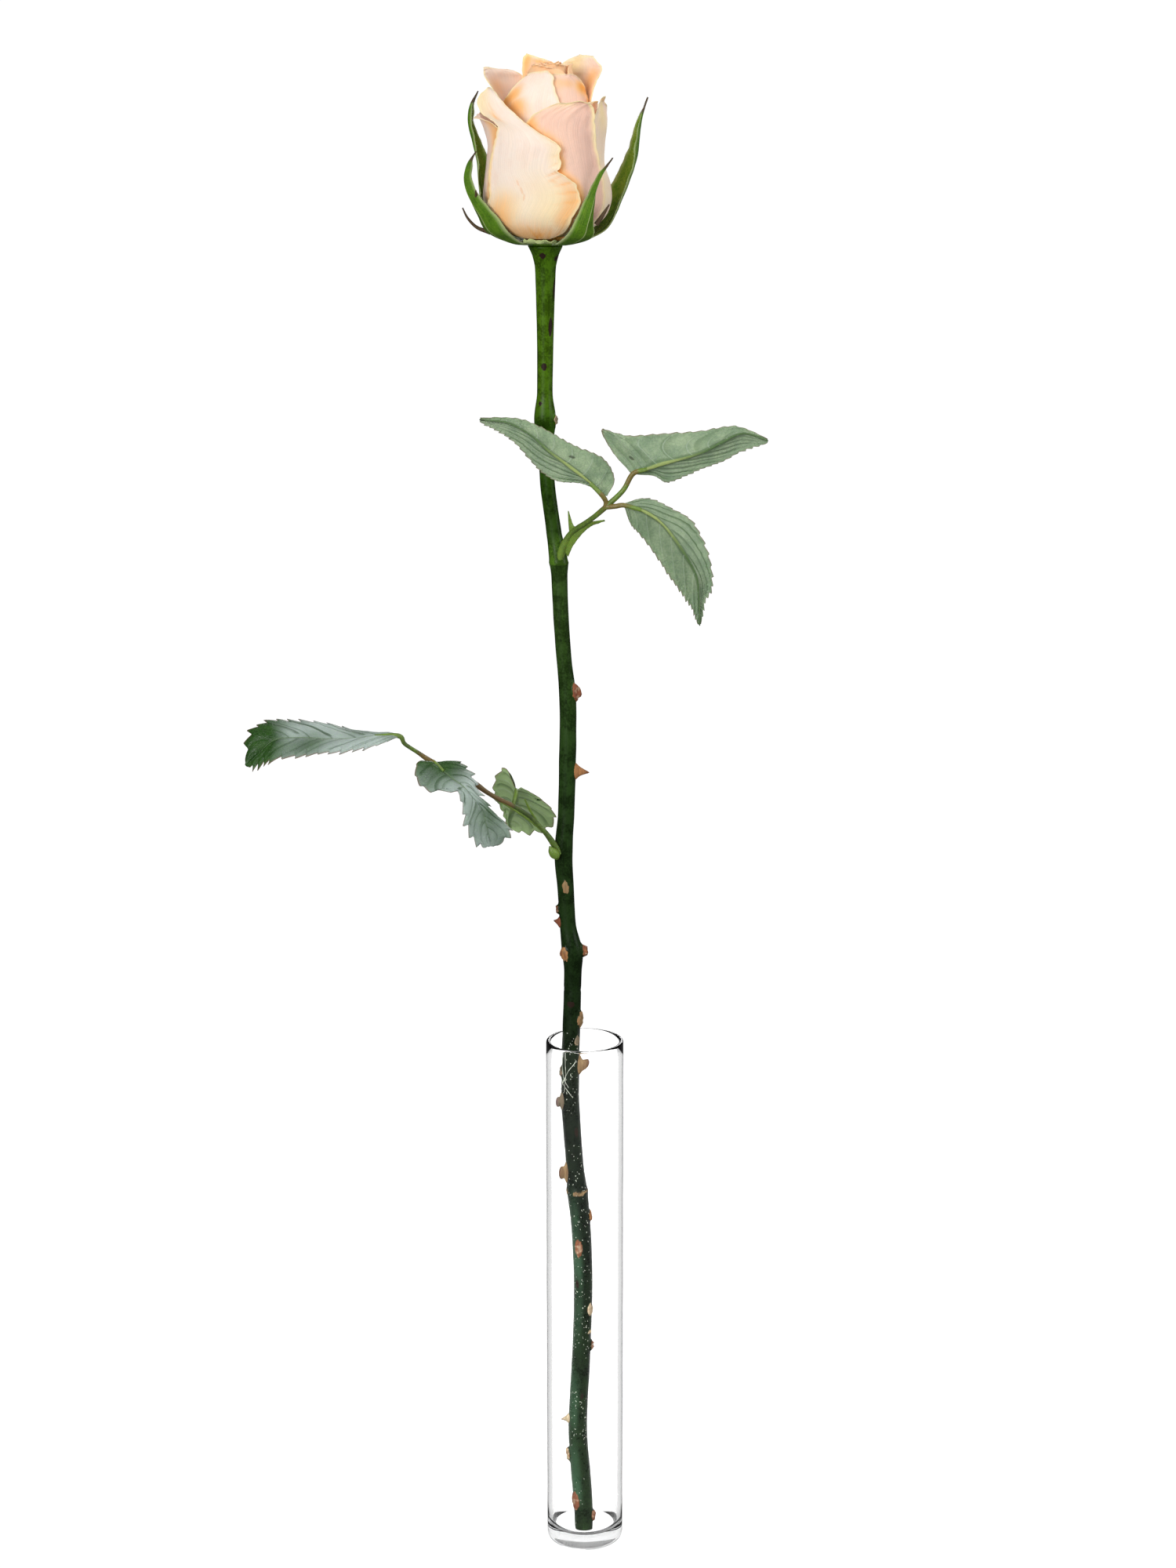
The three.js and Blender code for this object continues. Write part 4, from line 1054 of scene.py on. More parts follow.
class FringeTree(GrowthTree):
    """Grows short felt hairs along lines that carry the direction they point in."""

    def __init__(self) -> None:
        """Builds the tree."""
        names = ("Spacing", "Length", "Thickness", "Spread")
        super().__init__("felt_fringe", [*((name, "Float") for name in names), ("Seed", "Int")])
        graph = self.graph
        even = self.evened(self.source["Spacing"])
        cone = {"Vertices": 3, "Radius Top": 0.0, "Depth": self.source["Length"]}
        hair = graph.node("GeometryNodeMeshCone", {**cone, "Radius Bottom": self.source["Thickness"]})
        tilt = self.draw("FLOAT_VECTOR", (-1.0, -1.0, -1.0), (1.0, 1.0, 1.0))
        inputs = {0: tilt, "Scale": self.source["Spread"]}
        spread = graph.node("ShaderNodeVectorMath", inputs, operation="SCALE")
        aim = graph.vector("ADD", self.named("out", "FLOAT_VECTOR"), spread.outputs[0])
        turned = graph.node("FunctionNodeAlignRotationToVector", {"Vector": aim}, axis="Z")
        size = self.draw("FLOAT", 0.35, 1.0)
        self.end(self.copies(even, hair.outputs[0], turned.outputs[0], size), smooth=False)


class SpeckTree(GrowthTree):
    """Scatters small flat specks over a surface where its value speckled allows them."""

    def __init__(self) -> None:
        """Builds the tree."""
        super().__init__("corky_specks", [("Density", "Float"), ("Size", "Float"), ("Seed", "Int")])
        graph = self.graph
        surface = {0: self.source["Geometry"], "Seed": self.source["Seed"]}
        spread = graph.node("GeometryNodeDistributePointsOnFaces", surface)
        allowed = graph.times(self.named("speckled"), self.source["Density"])
        graph.feed(spread.inputs["Density"], allowed)
        speck = graph.node("GeometryNodeMeshIcoSphere", {"Radius": self.source["Size"], "Subdivisions": 1})
        size = self.draw("FLOAT_VECTOR", (0.4, 0.4, 0.25), (1.2, 1.8, 0.5))
        self.end(self.copies(spread.outputs[0], speck.outputs[0], spread.outputs["Rotation"], size))


class WhorlTree(GrowthTree):
    """Grows the tight inner whorl: each petal turned on from the last, tighter and taller.

    The three curves give a petal's width, its radius and its height from root to rim.
    """

    spread: Rows = ((0, 0.8), (0.2, 1.0), (0.5, 1.0), (0.75, 0.86), (0.92, 0.56), (1, 0.22))
    swell: Rows = ((0, 0.78), (0.25, 0.95), (0.55, 0.95), (0.85, 0.84), (0.96, 0.86), (1, 0.93))
    climb: Rows = ((0, 0.0), (0.3, 0.5), (0.55, 0.82), (0.75, 0.93), (0.9, 0.98), (1, 1))

    def __init__(self) -> None:
        """Builds the tree. Angles are radians and lengths metres."""
        names = (
            "Start", "Turn", "Outer Radius", "Inner Radius", "Outer Half", "Inner Half",
            "Low", "High", "Root", "Slope", "Ripple", "Thickness",
        )
        sizes = [("Petals", "Int"), *((name, "Float") for name in names), ("Axis", "Vector")]
        super().__init__("inner_whorl", sizes)
        graph = self.graph
        sheet = graph.node("GeometryNodeMeshGrid", {0: 1.0, 1: 1.0, 2: 29, 3: 25})
        mapped = self.store(sheet.outputs[0], "UVMap", sheet.outputs[1], "FLOAT2", "CORNER")
        stack = {"Count": self.source["Petals"], "Offset": (0.0, 0.0, 0.0)}
        starts = graph.node("GeometryNodeMeshLine", stack)
        copies = graph.node("GeometryNodeInstanceOnPoints", {0: starts.outputs[0], 2: mapped})
        index = graph.node("GeometryNodeInputIndex").outputs[0]
        counted = self.store(copies.outputs[0], "petal", index, "FLOAT", "INSTANCE")
        real = graph.node("GeometryNodeRealizeInstances", {0: counted})
        local = graph.node("ShaderNodeSeparateXYZ", {0: graph.node("GeometryNodeInputPosition").outputs[0]})
        across = graph.plus(local.outputs[0], 0.5)
        along = graph.plus(local.outputs[1], 0.5)
        petal = self.named("petal")
        share = graph.reckon("DIVIDE", petal, graph.minus(self.source["Petals"], 1.0))
        turn = graph.times_plus(petal, self.source["Turn"], self.source["Start"])
        radius = self.between(share, "Outer Radius", "Inner Radius")
        half = self.between(share, "Outer Half", "Inner Half")
        top = self.between(share, "Low", "High")
        spread, swell, climb = (self.curve(along, line) for line in (self.spread, self.swell, self.climb))
        side = graph.minus(across, 0.5)
        angle = graph.times_plus(graph.times(side, 2.0), graph.times(half, spread), turn)
        wave = graph.reckon("SINE", graph.plus(graph.times(across, 15.0), graph.times(petal, 2.3)))
        lip = graph.times(graph.reckon("POWER", along, 6.0), self.source["Ripple"])
        reach = graph.times_plus(wave, lip, graph.times(radius, graph.times(swell, 1.18)))
        height = graph.times_plus(climb, graph.minus(top, self.source["Root"]), self.source["Root"])
        height = graph.minus(height, graph.times(across, self.source["Slope"]))
        sideways = graph.times(graph.reckon("SINE", angle), reach)
        forward = graph.times(graph.times(graph.reckon("COSINE", angle), reach), -1.0)
        place = graph.vector("ADD", graph.joined(sideways, forward, height), self.source["Axis"])
        bent = graph.node("GeometryNodeSetPosition", {0: real.outputs[0], "Position": place}).outputs[0]
        kept = self.store(bent, "along_petal", along, "FLOAT", "POINT")
        self.end(self.thicken(kept, self.source["Thickness"]))

    def store(self, geometry: object, name: str, value: object, kind: str, domain: str) -> NodeSocket:
        """Keeps a value on the geometry under a name."""
        inputs = {0: geometry, 2: name, "Value": value}
        made = self.graph.node("GeometryNodeStoreNamedAttribute", inputs, data_type=kind, domain=domain)
        return made.outputs[0]

    def between(self, share: object, start: str, end: str) -> NodeSocket:
        """Goes from one named size to another."""
        made = self.graph.node("ShaderNodeMix", {0: share, 2: self.source[start], 3: self.source[end]})
        return made.outputs[0]

    def curve(self, value: object, points: Sequence[tuple[float, float]]) -> NodeSocket:
        """Reads a smooth curve from 0 to 1 through points."""
        made = self.graph.node("ShaderNodeFloatCurve", {"Value": value})
        line = made.mapping.curves[0]
        while len(line.points) < len(points):
            line.points.new(0.5, 0.5)
        for point, place in zip(line.points, points):
            point.location = place
        made.mapping.update()
        return made.outputs[0]

    def thicken(self, geometry: object, thickness: object) -> NodeSocket:
        """Turns an open sheet into a closed one, its new face on the inside."""
        inward = self.graph.times(thickness, -1.0)
        inputs = {0: geometry, "Offset Scale": inward, "Individual": False}
        moved = self.graph.node("GeometryNodeExtrudeMesh", inputs)
        inner = self.graph.node("GeometryNodeFlipFaces", {0: moved.outputs[0]})
        both = self.graph.node("GeometryNodeJoinGeometry")
        self.graph.tree.links.new(geometry, both.inputs[0])
        self.graph.tree.links.new(inner.outputs[0], both.inputs[0])
        inputs = {0: both.outputs[0], "Distance": 1e-6}
        return self.graph.node("GeometryNodeMergeByDistance", inputs).outputs[0]


# Vase


@dataclass
class Vase:
    """A straight clear cylinder with a thick floor, a rounded foot and a rounded rim."""

    height: float = 200.0
    radius: float = 14.25
    wall: float = 1.65
    floor: float = 6.0
    foot_radius: float = 3.0
    inner_corner: float = 3.5
    sides: int = 160
    arc_steps: int = 10
    wall_rows: int = 40
    ripple: float = 0.05
    ripple_lengths: tuple[float, float] = (13.0, 5.1)
    floor_dip: Rows = ((5.0, -0.25), (2.5, -0.4), (0.0, -0.45))

    def arc(self, x: float, z: float, radius: float, start: float, end: float) -> list[tuple[float, float]]:
        """Gives the points of one round stretch of the profile, angles in degrees."""
        angles = np.radians(np.linspace(start, end, self.arc_steps + 1))
        return [(x + radius * math.cos(angle), z + radius * math.sin(angle)) for angle in angles]

    def wall_points(self, radius: float, low: float, high: float) -> list[tuple[float, float]]:
        """Gives a wall's height with the faint ripple of drawn glass."""
        slow, quick = self.ripple_lengths
        heights = np.linspace(low, high, self.wall_rows)[1:-1]
        return [(radius + self.ripple * math.sin(h / slow) * math.sin(h / quick), h) for h in heights]

    def profile(self) -> list[tuple[float, float]]:
        """Gives the section from the base's middle, up the outside and down the inside."""
        inside = self.radius - self.wall
        rim = self.wall / 2
        points = [(0.0, 0.0)]
        points += self.arc(self.radius - self.foot_radius, self.foot_radius, self.foot_radius, -90, 0)
        points += self.wall_points(self.radius, self.foot_radius, self.height - rim)
        points += self.arc(self.radius - rim, self.height - rim, rim, 0, 180)
        corner = (inside - self.inner_corner, self.floor + self.inner_corner)
        points += self.wall_points(inside, corner[1], self.height - rim)[::-1]
        points += self.arc(*corner, self.inner_corner, 0, -90)
        points += [(radius, self.floor + depth) for radius, depth in self.floor_dip]
        return points

    def build(self, finish: Material) -> None:
        """Makes the vase."""
        shell = lathe(self.profile(), self.sides, np.zeros(3))
        settle(mesh_object("glass_cylinder", [shell], finish), "vase")


# Stem


@dataclass(frozen=True)
class Scar:
    """A scar, bump or broken prickle raised from the stem."""

    height: float
    degrees: float
    lift: float
    high: float
    wide: float
    tone: ScarTone
    cover: float = 1.0


@dataclass(frozen=True)
class Prickle:
    """A prickle: flat-sided, broad at its base, drawn out to a point or worn blunt."""

    height: float
    degrees: float
    length: float
    high: float
    drop: float
    tone: ScarTone
    blunt: float = 0.0


@dataclass(frozen=True)
class Spot:
    """A dark spot in the stem's skin."""

    height: float
    degrees: float
    high: float
    wide: float


@dataclass
class Stem:
    """The stem, one grown piece from its cut end to the flared top under the bud."""

    line: Rows = (
        (6.3, -0.3, -6, 3.3), (15, -0.6, -5, 3.5), (28, -1.5, -4, 3.6), (46, -2.7, -2, 3.5),
        (71, -1.6, 0, 3.45), (90, -0.8, 1, 3.45), (102, -0.6, 1.5, 3.5), (115, -0.9, 2.3, 3.6),
        (127, -1.6, 3.2, 3.65), (139, -2.8, 4, 3.85), (148, -3.7, 4.6, 3.4), (157, -4.4, 5.2, 3.35),
        (175, -5.6, 6.3, 3.5), (193, -5.3, 7.2, 3.35), (200, -5, 7.5, 3.3), (211, -4.7, 8.2, 3.25),
        (224, -4.4, 8.8, 3.3), (231, -4.6, 9, 3.9), (241, -6.2, 9.5, 3.05), (255, -7, 9.8, 3),
        (268, -7.8, 10, 3.35), (283, -6.8, 10.5, 3.05), (309, -6.2, 11, 3.1), (327, -6.2, 11, 3.05),
        (344, -7.7, 11, 2.75), (361, -8.7, 11, 2.8), (372, -9.1, 11.4, 2.95), (377, -9.4, 11.5, 3.35),
        (387, -11, 12, 2.75), (404, -13.2, 12, 2.7), (419, -13.9, 12, 2.8), (428, -14.1, 12, 3.9),
        (437, -14.1, 12, 2.8), (460, -13.9, 12, 3.05), (475, -13.8, 12, 3.45), (482, -13.8, 12, 3.75),
        (486, -13.8, 12, 4.7), (STEM_TOP, -13.8, 12, 6.2),
    )
    scars: tuple[Scar, ...] = (
        Scar(12, 75, 1.1, 5, 3, ScarTone.RED),
        Scar(18.5, -50, 0.8, 8.5, 4.5, ScarTone.RED),
        Scar(36, -82, 1.3, 6, 2.6, ScarTone.CREAM),
        Scar(79, 82, 1.3, 5, 3, ScarTone.RED, 0.7),
        Scar(85, 50, 0.6, 2.6, 2.2, ScarTone.CREAM, 0.7),
        Scar(94, 50, 0.7, 6, 3, ScarTone.CREAM),
        Scar(118.5, -20, 0.6, 8, 3.4, ScarTone.RED),
        Scar(130, 80, 0.9, 5, 2.6, ScarTone.ORANGE),
        Scar(186, -70, 1, 5, 3, ScarTone.GREY, 0.6),
        Scar(198, 40, 0.8, 4, 2.6, ScarTone.GREY),
        Scar(206, 62, 1.1, 7, 3.4, ScarTone.TAN, 0.8),
        Scar(231, -48, 1, 7, 4.4, ScarTone.ORANGE),
        Scar(232, 82, 2, 5, 3, ScarTone.RED),
        Scar(247.5, -82, 1.2, 4, 3, ScarTone.RED, 0.6),
        Scar(256.5, 2, 0.5, 6, 2.8, ScarTone.TAN),
        Scar(329.5, 58, 1.9, 8, 3.2, ScarTone.RED),
        Scar(329.5, 66, 0.3, 4.6, 1.6, ScarTone.CREAM),
        Scar(428, 66, 1.1, 3.4, 2.2, ScarTone.GREY),
    )
    prickles: tuple[Prickle, ...] = (
        Prickle(50, -85, 2.8, 4, 0.3, ScarTone.CREAM),
        Prickle(147, -78, 2.9, 9, 0.4, ScarTone.TAN, 1.0),
        Prickle(174.5, -68, 2.4, 7, 0.2, ScarTone.GREY, 1.0),
        Prickle(187.5, 80, 3.8, 6.6, -1.4, ScarTone.TAN, 0.5),
        Prickle(242.5, -88, 2.2, 4.5, -0.6, ScarTone.RED),
        Prickle(299.5, 84, 5, 6.6, 0.4, ScarTone.ORANGE),
    )
    spots: tuple[Spot, ...] = (
        Spot(486, -12, 2.4, 3.4), Spot(485, 62, 2.6, 3), Spot(474.5, 70, 10, 2.6), Spot(461, 38, 9, 2.2),
        Spot(447, -6, 3.4, 2.6), Spot(434, -30, 2.2, 2), Spot(427, 74, 3, 2.2), Spot(380, 20, 2, 1.6),
        Spot(212, -10, 3, 4), Spot(163, 30, 5, 2), Spot(104, -40, 4, 2), Spot(60, 20, 3, 1.6),
    )
    rings: Rows = (
        (139.5, 0.28, 1.4, 0.8), (217, -0.14, 0.7, 0.5), (376.3, 0.22, 0.7, 0.0), (425.6, 0.1, 0.8, 0.0),
    )
    sheath: tuple[float, float, float] = (376.2, 385.0, 38.0)
    strands: tuple[Rows, ...] = (
        ((-86, 192, 0.3), (-62, 188.5, 0.2), (-38, 184, 0.5), (-8, 180.5, 0.2)),
        ((-90, 186, 0.4), (-55, 182.5, 0.3), (-20, 180, 0.5), (12, 177, 0.1)),
        ((-70, 179, 0.2), (-40, 182.5, 0.5), (-5, 187.5, 0.6), (35, 190, 0.2)),
        ((-50, 194, 0.1), (-30, 189, 0.5), (-25, 184, 0.6), (-36, 178.5, 0.2)),
    )
    strand_thickness: float = 0.11
    step: float = 0.8
    sides: int = 60
    prickle_steps: int = 18
    prickle_sides: int = 20
    strand_steps: int = 24
    speck_density: float = 2.6e5
    speck_size: float = 0.2

    def heights(self) -> Array:
        """Gives the heights of the stem's rings of points."""
        low, high = self.line[0][0], self.line[-1][0]
        return np.linspace(low, high, round((high - low) / self.step) + 1)

    def patch(self, mark: Scar | Spot, height: Array, degrees: Array, radius: Array) -> Array:
        """Gives how far a point lies inside a mark: 1 at its middle, 0 at its edge and beyond."""
        side = ((degrees - mark.degrees + 180) % 360 - 180) * np.pi / 180 * radius
        distance = np.hypot((height - mark.height) / (mark.high / 2), side / (mark.wide / 2))
        return np.clip(1 - distance, 0, 1)

    def skin(self) -> Shell:
        """Makes the stem's surface with its nodes, scars and rings."""
        heights = self.heights()
        read = at_key(self.line, heights)
        degrees, height = np.meshgrid(np.arange(self.sides) * 360 / self.sides, heights)
        radius = np.repeat(read[:, 3:4], self.sides, axis=1)
        centre = np.stack([read[:, 1], read[:, 2], heights], axis=-1)[:, None, :]
        flat = centre + outward(degrees) * radius[..., None]
        reach = radius + 0.07 * wobble(flat * [1, 1, 0.35], 2.6, 3) + 0.09 * wobble(flat, 9.0, 4)
        scar, tone = np.zeros_like(radius), np.zeros_like(radius)
        torn = wobble(flat, 1.0, 8)
        for mark in self.scars:
            inside = self.patch(mark, height, degrees, radius)
            inside = np.clip(inside + 0.35 * torn * np.minimum(1, 4 * inside), 0, 1)
            crater = rise(0.0, 0.45, inside) - 0.28 * rise(0.45, 0.9, inside)
            reach += mark.lift * crater * (1 + 0.25 * wobble(flat, 1.3, 7))
            cover = rise(0.0, 0.3, inside) * mark.cover
            tone = np.where(cover > scar, np.clip(mark.tone.value + 0.3 * torn, 0, 1), tone)
            scar = np.maximum(scar, cover)
        for level, lift, width, cover in self.rings:
            near = np.exp(-(((height - level + 0.6 * wobble(flat, 4.0, 9)) / width) ** 2))
            reach += lift * near * (1 + 0.5 * wobble(flat, 2.5, 13))
            scar = np.maximum(scar, cover * near * np.clip(0.5 + 1.6 * wobble(flat, 2.5, 13), 0, 1))
        spot = np.zeros_like(radius)
        for mark in self.spots:
            spot = np.maximum(spot, rise(0.0, 0.5, self.patch(mark, height, degrees, radius)))
        low, high, turn = self.sheath
        facing = np.cos(np.radians(degrees - turn))
        sheath = rise(low - 0.3, low + 0.3, height) * rise(high + 3 * facing, high - 4, height)
        sheath = sheath * rise(-0.7, 0.3, facing)
        speckled = rise(205, 195, height) * rise(0.0, 0.5, wobble(flat, 14.0, 5) + 0.2) * (1 - scar)
        # Painted highlight: the left side low down, toward the key lamp, is marked pale
        side = rise(0.2, 0.85, np.cos(np.radians(degrees + 65))) * rise(150, 110, height)
        values = {
            "scar": scar, "scar_tone": tone, "spot": spot, "sheath": sheath, "speckled": speckled,
            "pale": side * np.clip(0.6 + wobble(flat, 12.0, 15), 0, 1), "tip": np.zeros_like(radius),
        }
        return loft(centre + outward(degrees) * reach[..., None], values)

    def prickle(self, shape: Prickle) -> Shell:
        """Makes one prickle, its flared foot sunk into the stem."""
        place = np.linspace(0, 1, self.prickle_steps)
        length, high, drop, blunt = shape.length, shape.high, shape.drop, shape.blunt
        rows = (
            (-1.2, high / 1.9, 1.7, 0.0), (0.05, high / 2.1, 1.45, 0.0),
            (length * 0.3, high / 3.6, 1.0, drop * 0.12),
            (length * 0.65, high * (0.14 + 0.14 * blunt), 0.55 + 0.5 * blunt, drop * 0.5),
            (length * 0.9, high * (0.06 + 0.16 * blunt), 0.25 + 0.6 * blunt, drop * 0.9),
            (length, 0.06 + high * 0.1 * blunt, 0.06 + 0.5 * blunt, drop),
        )
        reach, tall, wide, fall = through(rows, place).T[:, :, None]
        read = at_key(self.line, np.array([shape.height]))[0]
        out, side = outward(shape.degrees), outward(shape.degrees + 90)
        foot = np.array([read[1], read[2], shape.height]) + out * read[3]
        angle = np.arange(self.prickle_sides) * 2 * np.pi / self.prickle_sides
        offset = out * reach[..., None] + side * (wide * np.cos(angle))[..., None]
        offset[..., 2] += tall * np.sin(angle) - fall
        tip = np.repeat(place[:, None], self.prickle_sides, axis=1)
        values = {"scar": np.ones_like(tip), "scar_tone": np.full_like(tip, shape.tone.value), "tip": tip}
        return loft(foot + offset, values)

    def strand(self, rows: Rows) -> Array:
        """Lays one dry strand over the stem's skin."""
        degrees, height, lift = through(rows, np.linspace(0, 1, self.strand_steps)).T
        read = at_key(self.line, height)
        middle = np.column_stack([read[:, 1:3], height])
        points = middle + outward(degrees) * (read[:, 3] + lift)[:, None]
        return np.column_stack([points, np.full(len(points), self.strand_thickness)])

    def build(
        self, finish: Material, specks: SpeckTree, speck_finish: Material, sweep: SweepTree
    ) -> None:
        """Makes the stem, its prickles, the dry strands below the rim and the specks low down."""
        skin = mesh_object("stem_skin", [self.skin()], finish)
        sizes = {
            "Density": self.speck_density, "Size": self.speck_size * MM, "Seed": 5,
            "Material": speck_finish,
        }
        grown = specks.run("stem_specks", skin.data.copy(), sizes)
        settle(skin, "stem")
        prickles = [self.prickle(shape) for shape in self.prickles]
        settle(mesh_object("stem_prickles", prickles, finish), "stem")
        settle(grown, "stem")
        lines = [self.strand(rows) for rows in self.strands]
        settle(sweep.stalks("stem_strands", lines, [{}] * len(lines), speck_finish), "stem")


# Calyx


def wrapped(rows: Rows, lengths: int, widths: int, belly: float = 0.0) -> Array:
    """Spreads a petal or sepal between its left and right edges round the bud.

    Args:
        rows: Left degrees, radius and height, then right ones, from root to tip.
        lengths: How many steps go along it.
        widths: How many steps go across it.
        belly: How far its middle is pushed outwards.

    Returns:
        Degrees, radius and height at each point of its grid.
    """
    along, s = places(lengths, widths)
    edges = through(rows, along[:, 0])
    polar = edges[:, None, :3] * (1 - s[..., None]) + edges[:, None, 3:] * s[..., None]
    polar[..., 1] += belly * 4 * s * (1 - s) * np.sin(np.pi * along)
    return polar


@dataclass
class Calyx:
    """Five sepals joined in a shallow cup, with side lobes, a thread and felted edges."""

    sepals: dict[str, Rows] = field(default_factory=lambda: {
        "left_front": (
            (-75, 4.5, 0.7, -35, 4.5, 0.7), (-80, 12, 1.1, -36, 12, 1), (-82, 20.5, 4.8, -38, 20.2, 5.4),
            (-79, 24.2, 10.8, -46, 23.6, 11.2), (-77, 27.2, 17.2, -62, 26.4, 17.6),
            (-75, 28.8, 22.8, -67, 28.2, 23.2), (-72.5, 28.2, 28.2, -67.5, 28, 28.2),
            (-68, 25.9, 32.6, -66, 25.7, 32.8),
        ),
        "right_front": (
            (20, 4.5, 0.7, 60, 4.5, 0.7), (18, 12, 1, 58, 12, 0.9), (22, 19.8, 4.4, 54, 20.6, 3.6),
            (28, 22.9, 9.6, 47.5, 23.2, 8.8), (36.5, 23.9, 16.6, 47, 24.2, 15.8),
            (43, 24.8, 21.4, 46.5, 24.8, 20.6), (48.5, 26, 26, 51, 26, 25.6),
            (58.5, 27.3, 30.8, 60.5, 27.3, 30.8),
        ),
        "right_back": (
            (85, 4.5, 0.7, 135, 4.5, 0.7), (88, 12, 1, 132, 12, 1), (90, 20.6, 4.8, 130, 20.6, 5),
            (93, 24.6, 10.2, 128, 24.8, 10.8), (95, 27.2, 15.6, 126, 27.6, 17),
            (96, 30.6, 23.4, 122, 31, 24.4), (97.5, 32.4, 30.4, 116, 33, 31.2),
            (99.5, 33.2, 37.2, 110, 33.6, 37.8), (102, 34.8, 44.4, 105.5, 34.9, 44.6),
            (103, 37, 50.3, 104.5, 37, 50.5),
        ),
        "back": (
            (152, 4.5, 0.7, 200, 4.5, 0.7), (155, 12, 1, 198, 12, 1), (158, 20.6, 4.8, 195, 20.6, 4.8),
            (162, 25.2, 12, 192, 25.2, 12), (166, 27.4, 19, 188, 27.4, 19),
            (169, 28.8, 26, 184, 28.8, 26), (171, 30, 33, 180, 30, 33),
            (173.5, 31.5, 39, 175.5, 31.5, 39),
        ),
        "left_back": (
            (-155, 4.5, 0.7, -105, 4.5, 0.7), (-150, 12, 1, -104, 12, 1),
            (-144, 20.6, 4.8, -100, 20.4, 4.8), (-138, 24, 12, -105, 23.8, 12),
            (-133, 25, 20, -107, 24.8, 20), (-127, 25.8, 28, -109.5, 25.9, 28),
            (-121, 27.4, 35, -110, 27.2, 35.5), (-115.5, 28.8, 42, -110.5, 28.8, 42.8),
            (-114, 28, 48, -111.5, 28, 48), (-116, 26, 52.4, -114.5, 26, 52.5),
        ),
    })
    lobes: tuple[Rows, ...] = (
        ((-78, 19.5, 4.6, 0.9), (-82, 24, 6.2, 0.6), (-84, 27.2, 9.4, 0.45), (-84, 29, 13, 0.25)),
        ((52, 22.6, 8, 0.9), (56, 24.2, 11.2, 0.7), (61, 25.6, 14.8, 0.25)),
        ((-66, 26, 16.6, 0.7), (-61, 27.2, 19.6, 0.25)),
    )
    cup: Rows = ((0, 0), (5.6, 0), (6.2, 0.05), (7.0, 0.3), (7.4, 0.6), (7.4, 1.0), (7.0, 1.4), (0, 1.4))
    frill: Rows = (
        (-44, 5, 0.9, 24, 5, 0.9), (-42, 8.5, 1, 21, 8.5, 1), (-40, 11, 1.3, 19, 11, 1.3),
        (-36, 12.8, 1.9, 19, 12.8, 1.8), (-31, 13.7, 3.1, 17, 13.7, 2.1),
    )
    frill_grid: tuple[int, int] = (20, 60)
    frill_half: float = 0.15
    cup_sides: int = 64
    keel: float = 0.9
    thickness: float = 0.7
    lengths: int = 96
    widths: int = 24
    hair_spacing: float = 0.2
    hair_length: float = 0.8
    hair_thickness: float = 0.035
    hair_spread: float = 0.55

    def sepal(self, rows: Rows, seed: int) -> tuple[Shell, list[Array], list[Array]]:
        """Makes one sepal.

        Args:
            rows: Its edges from root to tip.
            seed: Which noise its edges follow.

        Returns:
            The shell, its two edge lines, and the directions that hairs point in along them.
        """
        polar = wrapped(rows, self.lengths, self.widths, self.keel)
        along, s = places(self.lengths, self.widths)
        side = np.abs(2 * s - 1)
        flat = on_bud(polar)
        waved = rise(0.15, 0.5, along) * side**3 * 0.55 * wobble(flat, 3.4, seed)
        keel = 0.5 * np.exp(-((side / 0.13) ** 2)) * rise(1.0, 0.5, along)
        cupped = -0.9 * side**2 * rise(0.2, 0.6, along) * rise(1.0, 0.8, along)
        polar[..., 1] += waved + keel + cupped + 0.16 * wobble(flat, 5.0, seed + 20)
        grid = on_bud(polar)
        half = 0.5 * self.thickness * (1 - 0.72 * side**4) * (1 - 0.55 * along)
        values = {
            "inner": (0.0, 1.0),
            "edge": rise(0.72, 1.0, side) * rise(0.05, 0.2, along) * (1 - 0.5 * along),
            "dry": rise(0.8, 1.0, along),
        }
        felted = grid[6:-2]
        lines = [felted[:, 0], felted[:, -1]]
        aims = [unit(felted[:, 0] - felted[:, 3]), unit(felted[:, -1] - felted[:, -4])]
        return blade(grid, half, half, values), lines, aims

    def pale_frill(self) -> Shell:
        """Makes the pale lip of the calyx that shows under the front petal."""
        polar = wrapped(self.frill, *self.frill_grid)
        flat = on_bud(polar)
        along = places(*self.frill_grid)[0]
        polar[..., 1] += 0.9 * wobble(flat, 2.4, 31) * along**2
        polar[..., 2] += 1.3 * wobble(flat, 1.8, 32) * along**2
        grid = on_bud(polar)
        edge = 0.55 + 0.45 * rise(0.3, 0.9, along)
        return blade(grid, self.frill_half, self.frill_half, {"inner": 1.0, "edge": edge})

    def build(
        self, finish: Material, hair_finish: Material, sweep: SweepTree, fringe: FringeTree
    ) -> None:
        """Makes the cup, the sepals, their lobes and the felt along their edges."""
        shells, lines, aims = [], [], []
        for seed, rows in enumerate(self.sepals.values()):
            shell, edges, directions = self.sepal(rows, seed + 1)
            shells.append(shell)
            lines += edges
            aims += directions
        shells += [lathe(self.cup, self.cup_sides, BUD_FOOT), self.pale_frill()]
        settle(mesh_object("sepals", shells, finish), "calyx")
        paths = []
        for rows in self.lobes:
            polar = np.array(rows, float)
            paths.append(np.column_stack([on_bud(polar[:, :3]), polar[:, 3]]))
        marks = [{"dry": np.full(len(rows), 0.75), "inner": np.zeros(len(rows))} for rows in self.lobes]
        settle(sweep.stalks("sepal_lobes", paths, marks, finish), "calyx")
        edge_lines = path_mesh("sepal_edges", lines, [{"out": aim} for aim in aims])
        sizes = {
            "Spacing": self.hair_spacing * MM, "Length": self.hair_length * MM,
            "Thickness": self.hair_thickness * MM, "Spread": self.hair_spread, "Seed": 11,
            "Material": hair_finish,
        }
        settle(fringe.run("sepal_felt", edge_lines, sizes), "calyx")


# Bloom


